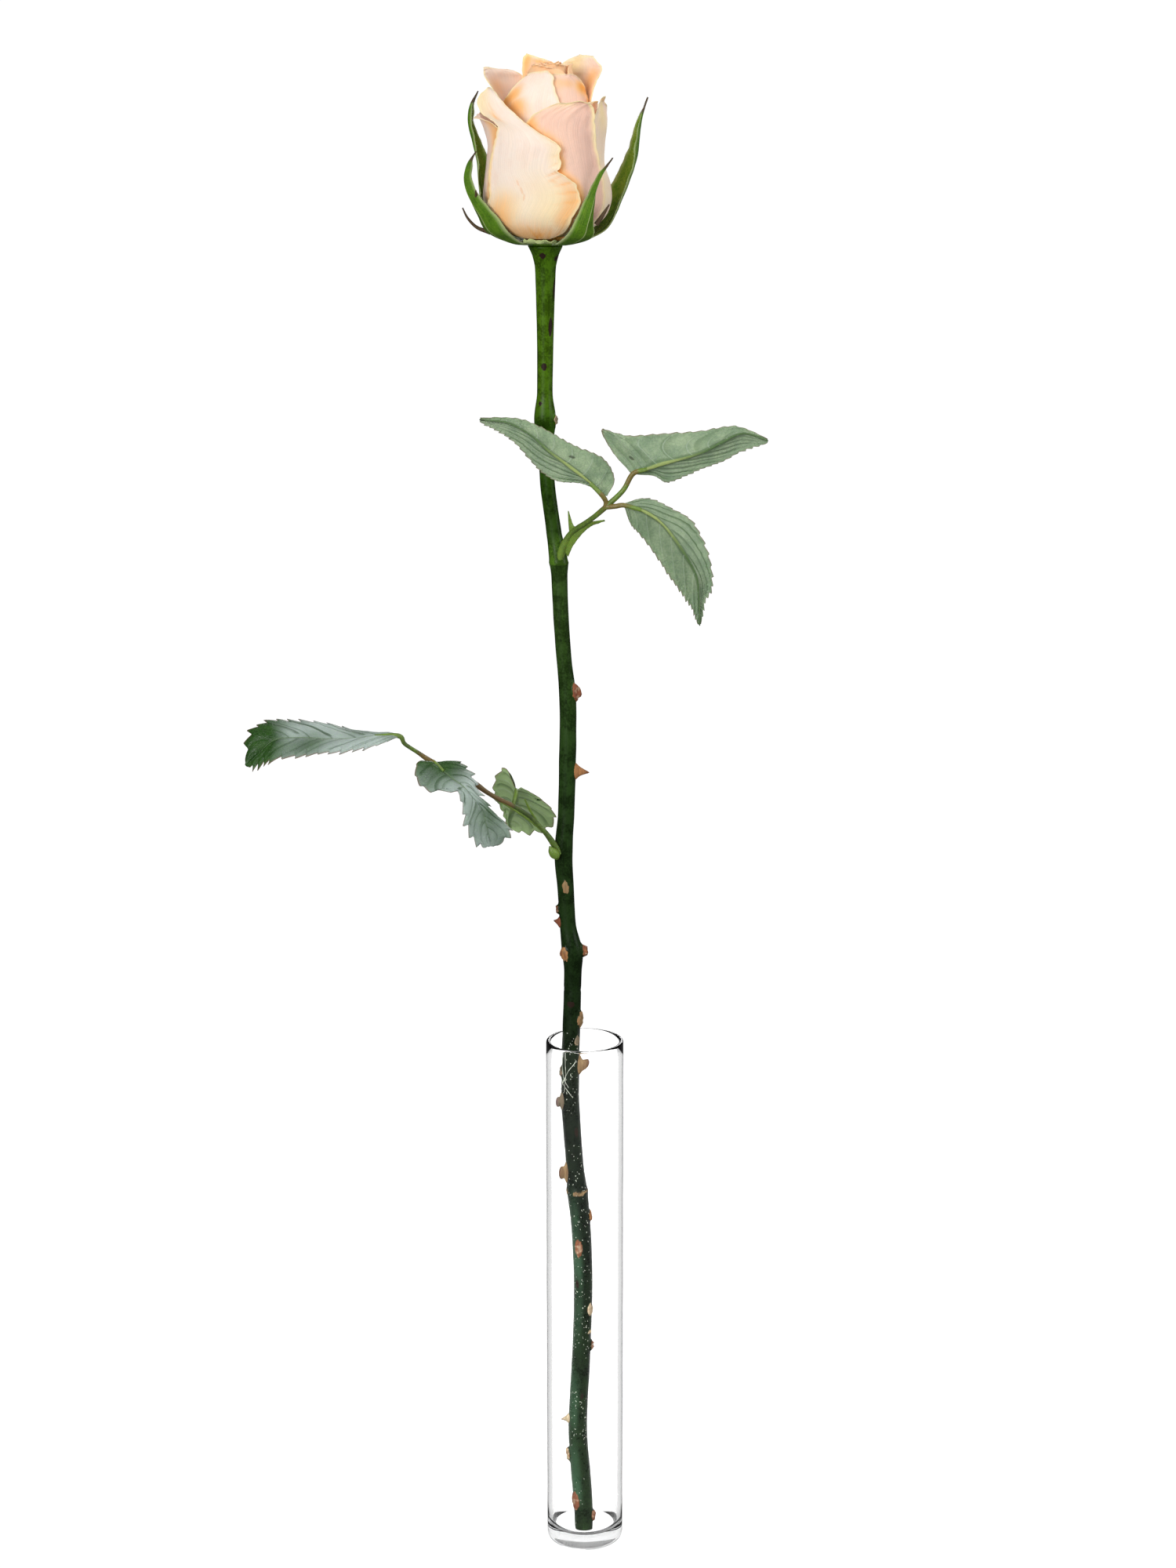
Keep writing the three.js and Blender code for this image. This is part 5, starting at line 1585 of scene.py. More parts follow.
@dataclass(frozen=True)
class Petal:
    """One petal: its edges from root to tip, how it curls, and where it is coloured.

    tone runs from cream at 0 over pink at 1 to dusky pink at 2, given for the left and the right
    edge; tone above 1 is painted shade, given to the petals on the shaded right. roll is how far the left,
    right and top rims turn out. A blush is an orange patch, partly real tint and partly painted shade where
    a neighbour covers the petal, a glow a yellow one and a bruise a worn one: place across and along the
    petal, reach each way, strength.
    A nick is a notch in a side edge: 0 for the left or 1 for the right, place along it, depth, reach.
    Each of the creases is a fine line from one place to another, each in degrees and height, and its
    strength; it is pressed in and painted orange along its line as painted shade. seam is how much painted
    shade lies under the edges of petals lapped over it.
    """

    name: str
    rows: Rows
    belly: float = 0.0
    roll: tuple[float, float, float] = (0.5, 0.5, 0.5)
    ripple: float = 0.3
    crinkle: float = 0.16
    ridges: float = 0.0
    tone: tuple[float, float] = (0.4, 0.4)
    blush: Rows = ()
    glow: Rows = ()
    nicks: Rows = ()
    bruise: Rows = ()
    creases: Rows = ()
    seam: float = 0.55
    fine: bool = True


@dataclass
class Bloom:
    """The half-open bud: outer petals, middle petals, the inner whorl and the core under it."""

    petals: tuple[Petal, ...] = (
        Petal("front_left_petal", (
            (-35, 4.5, 2.4, 3, 4.5, 2.4), (-50, 13.4, 3.6, 7, 13.2, 3), (-62, 19.7, 8, 22, 18.4, 5.6),
            (-62.5, 22, 13, 25, 21.4, 10), (-57, 22.3, 18.5, 33.5, 22, 16.5),
            (-58.5, 22.2, 23, 28, 22, 22), (-57, 22, 27.5, 16, 22, 26.2), (-53, 22.1, 32, 14, 21.9, 31),
            (-48.5, 22.2, 37, 13, 21.8, 35.3), (-45, 22.6, 42, -5, 21.1, 39.8),
            (-62, 24.4, 46, -22, 20.9, 44.2), (-66.5, 24.6, 50, -37, 20.7, 48.4),
            (-62, 22.8, 53.4, -49, 20.6, 52), (-58, 21.4, 54.8, -56, 21.2, 54.9),
        ), roll=(0.6, 0.7, 0.3), ripple=0.35, tone=(0.22, 0.1),
            blush=(
                (0.55, 0.1, 0.7, 0.1, 0.6), (0.2, 0.19, 0.2, 0.13, 0.62), (0.92, 0.27, 0.13, 0.15, 0.55),
                (0.32, 0.755, 0.1, 0.035, 0.35), (0.68, 0.1, 0.05, 0.05, 0.8),
                (0.8, 0.4, 0.06, 0.02, 0.3), (0.0, 0.42, 0.03, 0.24, 0.7),
            ),
            glow=(
                (0.1, 0.84, 0.3, 0.12, 0.75), (0.25, 0.22, 0.3, 0.12, 0.75), (0.8, 0.27, 0.4, 0.17, 0.75),
                (0.95, 0.55, 0.12, 0.12, 0.6),
            ),
            nicks=((1, 0.4675, 1.9, 1.0), (1, 0.57, 0.4, 1.2), (0, 0.79, 1.0, 1.0)),
            bruise=(
                (0.4, 0.385, 0.012, 0.022, 1.0), (0.415, 0.345, 0.014, 0.022, 1.0),
                (0.43, 0.31, 0.012, 0.02, 1.0),
            ),
            creases=(
                (11, 26.4, -2, 24.3, 0.8), (17, 25.6, 1, 22.6, 0.5), (25, 23, 0, 20.6, 0.5),
                (30, 19.6, -4, 18.4, 0.45), (32, 16.4, 2, 15.2, 0.4), (12, 29.4, 1, 27.4, 0.5),
                (12, 32.2, 3, 30.6, 0.4), (-10, 3.6, -17, 8, 0.6), (-4, 3.4, -7, 7.6, 0.5),
                (5, 3.4, 7, 8, 0.5), (15, 4.6, 20, 9.4, 0.45), (-55, 49, -42, 42.6, 0.5),
                (-52, 47.6, -40, 44, 0.5), (-62, 51, -52, 46, 0.4),
            )),
        Petal("front_right_petal", (
            (10, 4.5, 2.8, 50, 4.5, 2.8), (0, 12, 4.8, 50, 13, 4.2), (-6, 17.6, 8.4, 56, 19.4, 8),
            (-8, 20.1, 14, 64, 21.6, 14), (-8, 20.4, 20, 65, 21.4, 21), (-10, 20.3, 27, 61, 20.8, 28),
            (-14, 19.9, 34, 56, 20.4, 34.5), (-20, 19.3, 39.6, 54, 20.3, 40.5),
            (-18, 19.2, 43, 54, 20.3, 44.7), (-9, 19.2, 45.9, 53, 20, 47.5),
            (5, 19.1, 48.4, 47, 19.7, 49.2), (18, 19.1, 49.9, 34, 19.3, 50.2),
        ), roll=(0.5, 1.3, 0.6), ripple=0.35, ridges=0.2, tone=(0.7, 1.75), seam=0.85,
            blush=((0.3, 0.45, 0.14, 0.14, 0.3), (0.05, 0.75, 0.12, 0.1, 0.3),
            (0.45, 0.2, 0.3, 0.14, 0.5)),
            glow=((0.985, 0.75, 0.035, 0.25, 0.9), (0.3, 0.97, 0.4, 0.07, 0.7))),
        Petal("right_petal", (
            (55, 4.5, 3, 100, 4.5, 2.8), (50, 11.5, 6, 108, 14, 4), (48, 16.4, 10.4, 114, 21.6, 8.8),
            (49, 18.4, 16, 118, 24.4, 14.6), (50, 18.8, 22, 120, 23.4, 21),
            (52, 18.7, 28.4, 121, 20.2, 28), (54, 18.6, 35, 119, 20.4, 35),
            (57, 18.7, 41, 112, 21.6, 40.5), (62, 19, 45, 100, 21.2, 45),
            (68, 19.2, 48.6, 88, 20.2, 48.6), (71, 19.3, 51.2, 77, 19.5, 51.2),
        ), belly=1.2, roll=(0.5, 0.8, 1.0), ripple=0.4, ridges=0.22, tone=(0.1, 0.6), seam=0.3,
            blush=((0.5, 0.97, 0.6, 0.045, 0.4),),
            glow=((0.35, 0.84, 0.25, 0.2, 0.95), (0.2, 0.3, 0.3, 0.3, 0.8)), nicks=((0, 0.93, 1.4, 0.8),
            (1, 0.9, 1.2, 0.8))),
        Petal("back_right_petal", (
            (80, 4.5, 3, 165, 4.5, 2.6), (80, 12.4, 6, 175, 14, 3.8), (83, 18.2, 11, 186, 21, 8.4),
            (86, 20.4, 16, 196, 23.4, 15), (87, 19.4, 22, 198, 23, 22), (88, 17.6, 29, 198, 21.8, 29),
            (92, 18, 36, 192, 21.6, 36), (102, 19.6, 42, 180, 22.4, 42), (115, 21.6, 46, 164, 22.8, 46),
            (130, 22.2, 48.4, 147, 22.4, 48.4),
        ), belly=0.8, roll=(0.6, 0.8, 1.2), ripple=0.45, ridges=0.2, tone=(0.6, 0.5)),
        Petal("back_left_petal", (
            (-160, 4.5, 3, -75, 4.5, 3), (-168, 13, 5.6, -66, 12.4, 5.6),
            (-172, 19.2, 10, -60, 17.8, 10.4), (-173, 21.4, 15.6, -54, 20.4, 15.4),
            (-172, 20.6, 22, -48, 20.3, 21.4), (-170, 19.2, 29, -45, 19.8, 28),
            (-162, 19.2, 36, -44, 19.2, 34), (-150, 21, 42, -44, 20.6, 39.4),
            (-135, 22, 46, -56, 22.8, 43), (-117, 22, 47.6, -82, 23.8, 43.8),
        ), belly=0.8, roll=(0.8, 0.4, 0.6), ripple=0.4, ridges=0.14, tone=(0.5, 0.6), seam=0.7,
            blush=((0.9, 0.62, 0.1, 0.26, 0.8), (0.87, 0.42, 0.07, 0.2, 0.5)),
            nicks=((1, 0.93, 1.0, 0.8),)),
        Petal("centre_left_petal", (
            (-30, 4.5, 4, 25, 4.5, 4), (-60, 10.6, 7, 40, 10.6, 7), (-70, 14.8, 14, 48, 14.8, 14),
            (-74, 16.6, 23, 50, 16.6, 23), (-78, 16.6, 32, 48, 16.6, 32), (-80, 16, 41, 38, 15.8, 41),
            (-78, 14.9, 48, 24, 14.7, 48), (-63, 13.8, 52, 17, 13.4, 52.6),
            (-50, 12.4, 55.3, 15, 12.2, 56), (-37, 11.4, 57.8, 14.5, 11.4, 58.3),
            (-24, 10.9, 59.7, 6, 10.9, 60.2),
        ), roll=(0.3, 0.25, 0.4), ripple=0.18, crinkle=0.05, tone=(0.45, 0.1),
            blush=((0.15, 0.66, 0.2, 0.13, 0.8), (0.34, 0.59, 0.2, 0.08, 0.75)),
            nicks=((0, 0.93, 0.6, 0.7),)),
        Petal("centre_right_petal", (
            (15, 4.5, 4, 80, 4.5, 4), (0, 9.6, 7, 100, 10.6, 7), (-4, 13.4, 14, 108, 14.8, 14),
            (-4, 15, 23, 112, 16.6, 23), (-4, 15, 32, 112, 16.6, 32), (-4, 14.4, 41, 104, 16, 41),
            (-3, 13.2, 48, 92, 14.9, 48.6), (0, 12, 52.4, 93, 14, 52), (4, 10.9, 55.6, 90, 13.2, 54.6),
            (10, 10.1, 57.9, 73, 12, 57.3), (20, 9.8, 59.2, 50, 10.6, 59.2),
        ), roll=(0.3, 0.5, 0.5), ripple=0.25, ridges=0.08, tone=(0.7, 1.2), seam=0.25,
            blush=((0.82, 0.77, 0.22, 0.09, 1.0), (0.45, 0.82, 0.3, 0.08, 0.4))),
        Petal("left_petal", (
            (-140, 4.5, 4.4, -80, 4.5, 4.4), (-150, 11.6, 7.6, -72, 11.6, 7.6),
            (-154, 16.2, 14, -70, 16.2, 14), (-156, 17.8, 23, -69, 18, 23), (-156, 17.4, 32, -69, 18, 32),
            (-155, 16, 41, -71, 17.2, 41), (-154, 14.5, 48, -74, 15.6, 48.6),
            (-152, 13.6, 53, -78, 17.8, 53.4), (-148, 13.4, 56.5, -81, 20, 56.8),
            (-138, 13.8, 58.8, -84.5, 20.4, 59.3), (-118, 16.6, 60.6, -91, 19.8, 61),
        ), roll=(0.4, 0.6, 0.8), ripple=0.4, tone=(0.3, 0.4),
            blush=((0.8, 0.72, 0.35, 0.1, 0.34),), nicks=((1, 0.93, 1.4, 0.9), (1, 0.86, 0.6, 0.8))),
        Petal("back_right_inner_petal", (
            (85, 4.5, 4.4, 150, 4.5, 4.4), (80, 11.4, 7.6, 158, 11.6, 7.6), (78, 15.6, 14, 162, 16.2, 14),
            (77, 17.4, 23, 164, 17.8, 23), (77, 17.4, 32, 164, 17.4, 32), (79, 16.4, 41, 163, 16, 41),
            (83, 15.4, 48.6, 161, 14.4, 49), (86, 16.6, 54.4, 159, 13.2, 55),
            (89, 18.9, 59.2, 156, 12.6, 60), (96, 18.6, 61.9, 150, 12.9, 62.4),
            (111, 16.6, 64.6, 128, 14.4, 65),
        ), roll=(0.8, 0.4, 0.6), ripple=0.4, ridges=0.1, tone=(0.6, 0.0),
            blush=((0.2, 0.74, 0.2, 0.1, 0.5),),
            glow=((0.72, 0.9, 0.28, 0.2, 0.9),)),
        Petal("back_inner_petal", (
            (-205, 4, 5, -150, 4, 5), (-206, 8, 9, -142, 8, 9), (-207, 11.6, 16, -138, 11.6, 16),
            (-208, 13.4, 26, -136, 13.4, 26), (-208, 13.2, 36, -136, 13.2, 36),
            (-207, 12, 46, -137, 12.4, 46), (-205, 10.6, 54, -138, 11.6, 54),
            (-202, 9.8, 59, -140, 11.6, 60), (-198, 9.6, 61.4, -143, 11.8, 63.4),
            (-190, 9.8, 62.8, -149, 11.8, 65.6),
        ), roll=(0.3, 1.0, 0.3), ripple=0.4, tone=(0.4, 0.6),
            blush=((1.0, 0.9, 0.22, 0.2, 0.8), (0.45, 0.9, 0.4, 0.06, 0.5))),
        Petal("hidden_right_petal", (
            (30, 4.5, 4.2, 110, 4.5, 4.2), (26, 11.4, 7.2, 116, 11.6, 7.2), (24, 16, 13, 122, 16.6, 13),
            (24, 18.2, 22, 124, 19, 22), (26, 18, 32, 122, 18.6, 32), (32, 17.4, 40, 114, 18, 40),
            (42, 17, 46, 102, 18, 46), (58, 17, 49.6, 86, 17.6, 49.8),
        ), tone=(0.6, 0.7), fine=False),
        Petal("hidden_back_petal", (
            (150, 4.5, 4.2, 215, 4.5, 4.2), (144, 12, 7.4, 222, 12, 7.4), (140, 17.4, 13, 226, 17.4, 13),
            (138, 19.6, 22, 228, 19.6, 22), (140, 18.8, 32, 227, 18.8, 32),
            (144, 17.6, 42, 222, 17.6, 42), (150, 17.8, 50, 214, 18.2, 50), (164, 18.6, 55, 200, 19, 55),
        ), roll=(0.6, 0.6, 1.0), tone=(0.5, 0.5), fine=False),
    )
    core: Rows = (
        (0, 1.7), (6.4, 1.7), (9.6, 4.2), (11.4, 9), (12, 18), (11.8, 30), (10, 41), (6.5, 48), (0, 51),
    )
    whorl_count: int = 9
    whorl_start: float = 200.0
    whorl_turn: float = 137.5
    whorl_radius: tuple[float, float] = (8.4, 2.0)
    whorl_half: tuple[float, float] = (62.0, 88.0)
    whorl_top: tuple[float, float] = (61.6, 63.0)
    whorl_shift: tuple[float, float, float] = (2.4, -0.6, 0.0)
    whorl_root: float = 40.0
    thickness: float = 0.46
    rim_thickness: float = 0.2
    shade_reach: float = 8.0
    seam_reach: float = 4.5
    crease_width: float = 0.42
    crease_depth: float = 0.25
    coarse: tuple[int, int] = (26, 18)
    middling: tuple[int, int] = (60, 48)
    hidden: tuple[int, int] = (48, 40)
    finest: tuple[int, int] = (104, 84)
    roll_reach: tuple[float, float, float] = (1.6, 1.6, 1.8)
    rays: int = 20
    ray_start: float = 0.3
    core_steps: int = 32
    core_sides: int = 40

    def sheet(self, petal: Petal, lengths: int, widths: int, seed: int) -> tuple[Array, Array]:
        """Shapes one petal's middle surface.

        Args:
            petal: The petal.
            lengths: How many steps go along it.
            widths: How many steps go across it.
            seed: Which noise its rims follow.

        Returns:
            Its grid of points, and each point's distance from the nearest rim.
        """
        polar = wrapped(petal.rows, lengths, widths, petal.belly)
        along, s = places(lengths, widths)
        flat = on_bud(polar)
        across = np.linalg.norm(np.diff(flat, axis=1), axis=-1)
        upward = np.linalg.norm(np.diff(flat, axis=0), axis=-1)
        zero_row, zero_column = np.zeros((1, widths + 1)), np.zeros((lengths + 1, 1))
        left = np.concatenate([zero_column, np.cumsum(across, axis=1)], axis=1)
        right = left[:, -1:] - left
        top = np.concatenate([np.cumsum(upward[::-1], axis=0)[::-1], zero_row], axis=0)
        free = rise(0.12, 0.3, along)
        rims = zip(petal.roll, (left, right, top), self.roll_reach)
        turned = [roll * np.exp(-distance / reach) for roll, distance, reach in rims]
        rim = np.minimum(np.minimum(left, right), top + 0 * s)
        edge_noise = wobble(flat, 4.2, seed)
        ragged = wobble(flat, 1.7, seed + 40)
        waves = 1.5 * edge_noise + 0.5 * ragged
        lift = free * (sum(turned) + petal.ripple * np.exp(-rim / 3.0) * waves)
        soft = 0.32 * wobble(flat * [1, 1, 0.5], 11.0, seed + 60) * rise(0.0, 4.0, rim)
        wide, tall = left[:, -1:] + 0 * s, top[:1, :] + 0 * along
        beside = (along * tall, 2.0 * np.sign(s - 0.5) + 0 * tall, 0.12 * rim)
        by_side = wobble(np.stack(beside, axis=-1), 1.5, seed + 50)
        by_top = wobble(np.stack([s * wide, 9.0 + 0 * wide, 0.12 * rim], axis=-1), 1.5, seed + 50)
        near_side, near_top = np.exp(-np.minimum(left, right) / 3.0), np.exp(-top / 3.0)
        crinkle = petal.crinkle * (by_side * near_side + by_top * near_top)
        lengthways = np.stack([s * wide, 0.1 * along * tall, 0 * wide], axis=-1)
        furrow = petal.ridges * wobble(lengthways, 2.6, seed + 80)
        grain = np.stack([s * 90 + 0 * along, along * 6 + 0 * s, 0 * s * along], axis=-1)
        fine = 0.03 * wobble(grain, 1.0, seed + 90)
        polar[..., 1] += lift + free * (soft + crinkle) + furrow * rise(0.25, 0.6, along) + fine
        frayed = free * np.exp(-top / 2.2) * (0.55 * edge_noise + 0.3 * ragged)
        polar[..., 2] += frayed - 0.35 * free * turned[2]
        polar[..., 0] += free * np.exp(-rim / 1.5) * np.sign(s - 0.5) * 1.3 * ragged
        length = tall[0].mean()
        for edge, v, depth, reach in petal.nicks:
            near = np.exp(-np.abs((along * length - v * length) / reach) ** 1.3)
            pull = depth * near * np.exp(-(right if edge else left) / 2.5)
            polar[..., 0] += np.degrees(pull / polar[..., 1]) * (-1 if edge else 1)
        return on_bud(polar), rim

    def crowding(self, grids: Sequence[Array]) -> list[tuple[Array, Array]]:
        """Finds how closely other petals crowd each face of each petal, casting rays; the petals paint this
        as orange crevice shade.

        Args:
            grids: A coarse grid of each petal.

        Returns:
            For each petal, values from 0 in the open to 1 in a crevice, on its two faces.
        """
        points, faces = [], []
        for grid in grids:
            faces += (quads(*grid.shape[:2]) + len(points)).tolist()
            points += grid.reshape(-1, 3).tolist()
        tree = BVHTree.FromPolygons(points, faces)
        golden = np.pi * (3 - 5**0.5)
        number = np.arange(self.rays)
        level = 0.25 + 0.75 * (number + 0.5) / self.rays
        round_it = np.stack([np.cos(golden * number), np.sin(golden * number)], axis=-1)
        spread = round_it * np.sqrt(1 - level**2)[:, None]
        found = []
        for grid in grids:
            normal = normals(grid)
            side = unit(np.gradient(grid, axis=1))
            other = np.cross(normal, side)
            pair = []
            for sign in (1.0, -1.0):
                rays = (
                    sign * normal[..., None, :] * level[:, None]
                    + side[..., None, :] * spread[:, :1]
                    + other[..., None, :] * spread[:, 1:]
                )
                starts = grid + self.ray_start * sign * normal
                shade = np.zeros(grid.shape[:2])
                for place in np.ndindex(*shade.shape):
                    origin = Vector(starts[place])
                    near = 0.0
                    for ray in rays[place].tolist():
                        distance = tree.ray_cast(origin, Vector(ray), self.shade_reach)[3]
                        if distance is not None:
                            near += 1 - 0.6 * distance / self.shade_reach
                    shade[place] = near / len(level)
                pair.append(shade)
            found.append(tuple(pair))
        return found

    def seams(self, grids: Sequence[Array]) -> list[Array]:
        """Finds how near each petal's outer face comes to the edge of a petal lapped over it, for the
        painted shade along such edges.

        Args:
            grids: A grid of each petal, of one size.

        Returns:
            For each petal, values from 0 away from such edges to 1 right under one.
        """
        edges, owners = [], []
        for owner, grid in enumerate(grids):
            first = len(grid) // 6
            edge = np.concatenate([grid[first:, 0], grid[-1], grid[first:, -1]])
            edges += edge.tolist()
            owners += [owner] * len(edge)
        tree = KDTree(len(edges))
        for number, point in enumerate(edges):
            tree.insert(point, number)
        tree.balance()
        wide = np.linalg.norm((np.array(edges) - BUD_AXIS)[:, :2], axis=-1)
        found = []
        for owner, grid in enumerate(grids):
            reach = np.linalg.norm((grid - BUD_AXIS)[..., :2], axis=-1)
            near = np.zeros(grid.shape[:2])
            for place in np.ndindex(*near.shape):
                for _, number, distance in tree.find_range(grid[place].tolist(), self.seam_reach):
                    if owners[number] != owner and wide[number] > reach[place] + 0.2:
                        near[place] = max(near[place], 1 - distance / self.seam_reach)
            found.append(near)
        return found

    def refine(self, coarse: Array, lengths: int, widths: int) -> Array:
        """Reads a coarse grid of values at a finer one's points."""
        down = through(coarse, np.linspace(0, 1, lengths + 1))
        return np.clip(through(down.T, np.linspace(0, 1, widths + 1)).T, 0, 1)

    def skin(self, petal: Petal, crowd: tuple[Array, Array], seam: Array, seed: int) -> Shell:
        """Makes one petal with its colour values.

        Args:
            petal: The petal.
            crowd: How crowded its two faces are, on the coarse grid.
            seam: How near it is to the edges of petals over it, on the middling grid.
            seed: Which noise its rims follow.

        Returns:
            The petal's shell.
        """
        lengths, widths = self.finest if petal.fine else self.hidden
        grid, rim = self.sheet(petal, lengths, widths, seed)
        along, s = places(lengths, widths)
        patches = (petal.blush, petal.glow, petal.bruise)
        blush, glow, mark = (self.patched(rows, along, s) for rows in patches)
        outer, inner = (self.refine(face, lengths, widths) for face in crowd)
        seam = self.refine(seam, lengths, widths)
        pressed, degrees = self.pressed_lines(petal, grid)
        grid = grid - outward(degrees) * (self.crease_depth * pressed)[..., None]
        # Painted shade: each pressed crease line is painted orange
        blush = blush + 0.5 * pressed
        # Painted crevice shade: orange where other petals crowd a face or lap over its edge, added to the
        # blush patches
        painted_crevice_shade = 0.55 * rise(0.15, 0.9, outer) + petal.seam * rise(0.0, 1.0, seam)
        warm_and_shade_outer = np.clip(painted_crevice_shade + blush, 0, 1)
        warm_and_shade_inner = np.clip(0.06 + 0.25 * rise(0.12, 0.9, inner) + blush, 0, 1)
        tone = petal.tone[0] * (1 - s) + petal.tone[1] * s
        half = 0.5 * (self.rim_thickness + (self.thickness - self.rim_thickness) * rise(0.0, 3.5, rim))
        values = {
            "warm": (warm_and_shade_outer, warm_and_shade_inner),
            "yellow": glow,
            "rim": np.exp(-((rim / 0.7) ** 2)) * rise(0.08, 0.2, along),
            "tone": (tone, np.clip(tone + 0.1, 0, 2)),
            "bruise": (mark, 0.0),
        }
        return blade(grid, half, half, values)

    def patched(self, rows: Rows, along: Array, s: Array) -> Array:
        """Lays soft patches over a petal, the strongest showing where they meet."""
        found = 0 * (along + s)
        for u, v, wide, high, strength in rows:
            patch = strength * np.exp(-(((s - u) / wide) ** 2) - ((along - v) / high) ** 2)
            found = np.maximum(found, patch)
        return found

    def pressed_lines(self, petal: Petal, grid: Array) -> tuple[Array, Array]:
        """Draws a petal's fine creases, each strongest where it begins.

        Args:
            petal: The petal.
            grid: Its middle surface.

        Returns:
            How strongly each point is creased, and its degrees round the bud.
        """
        x, y = grid[..., 0] - BUD_AXIS[0], grid[..., 1] - BUD_AXIS[1]
        degrees, radius = np.degrees(np.arctan2(x, -y)), np.hypot(x, y)
        marks = np.zeros_like(radius)
        for turn, height, turn_end, height_end, strength in petal.creases:
            round_it, up = np.radians(degrees - turn) * radius, grid[..., 2] - CALYX_BASE - height
            run, climb = np.radians(turn_end - turn) * radius, height_end - height
            part = np.clip((round_it * run + up * climb) / (run**2 + climb**2), 0, 1)
            gap = np.hypot(round_it - part * run, up - part * climb)
            depth = strength * (1 - 0.75 * part) * np.exp(-((gap / self.crease_width) ** 2))
            marks = np.maximum(marks, depth)
        return marks, degrees

    def whorl(self, tree: WhorlTree, finish: Material) -> None:
        """Grows the inner whorl and gives it the petals' colour values."""
        bare = bpy.data.meshes.new("whorl_start")
        sizes = {
            "Petals": self.whorl_count,
            "Start": math.radians(self.whorl_start), "Turn": math.radians(self.whorl_turn),
            "Outer Radius": self.whorl_radius[0] * MM, "Inner Radius": self.whorl_radius[1] * MM,
            "Outer Half": math.radians(self.whorl_half[0]), "Inner Half": math.radians(self.whorl_half[1]),
            "Low": self.whorl_top[0] * MM, "High": self.whorl_top[1] * MM, "Root": self.whorl_root * MM,
            "Slope": 0.8 * MM, "Ripple": 0.35 * MM, "Thickness": 0.3 * MM,
            "Axis": (BUD_FOOT + self.whorl_shift) * MM, "Material": finish,
        }
        piece = tree.run("inner_whorl", bare, sizes)
        mesh = piece.data
        along = np.empty(len(mesh.vertices), np.float32)
        mesh.attributes["along_petal"].data.foreach_get("value", along)
        marks = {
            # Painted shade: the whorl petals, shut inside the bud, are orange up to just below their rims
            "warm": 0.42 - 0.36 * rise(0.84, 0.98, along),
            "rim": rise(0.95, 1.0, along),
            "tone": 0.5 + 0 * along,
        }
        for name, value in marks.items():
            keep_values(mesh, name, value)
        settle(piece, "bloom")

    def build(self, finish: Material, tree: WhorlTree) -> None:
        """Makes every petal, the whorl and the core."""
        rough = [self.sheet(petal, *self.coarse, seed)[0] for seed, petal in enumerate(self.petals)]
        closer = [self.sheet(petal, *self.middling, seed)[0] for seed, petal in enumerate(self.petals)]
        found = zip(self.petals, self.crowding(rough), self.seams(closer))
        for seed, (petal, crowd, seam) in enumerate(found):
            settle(mesh_object(petal.name, [self.skin(petal, crowd, seam, seed)], finish), "bloom")
        self.whorl(tree, finish)
        smooth_core = through(self.core, np.linspace(0, 1, self.core_steps + 1))
        shell = lathe(smooth_core.tolist(), self.core_sides, BUD_FOOT)
        # Painted shade: the hidden core is orange all over
        shell.values = {"warm": np.ones(len(shell.points)), "tone": np.full(len(shell.points), 0.5)}
        settle(mesh_object("petal_core", [shell], finish), "bloom")


# Leaves


class UpperFace(Enum):
    """Which face of a leaflet's shell is the leaf's own upper face."""

    FIRST = "first"
    SECOND = "second"


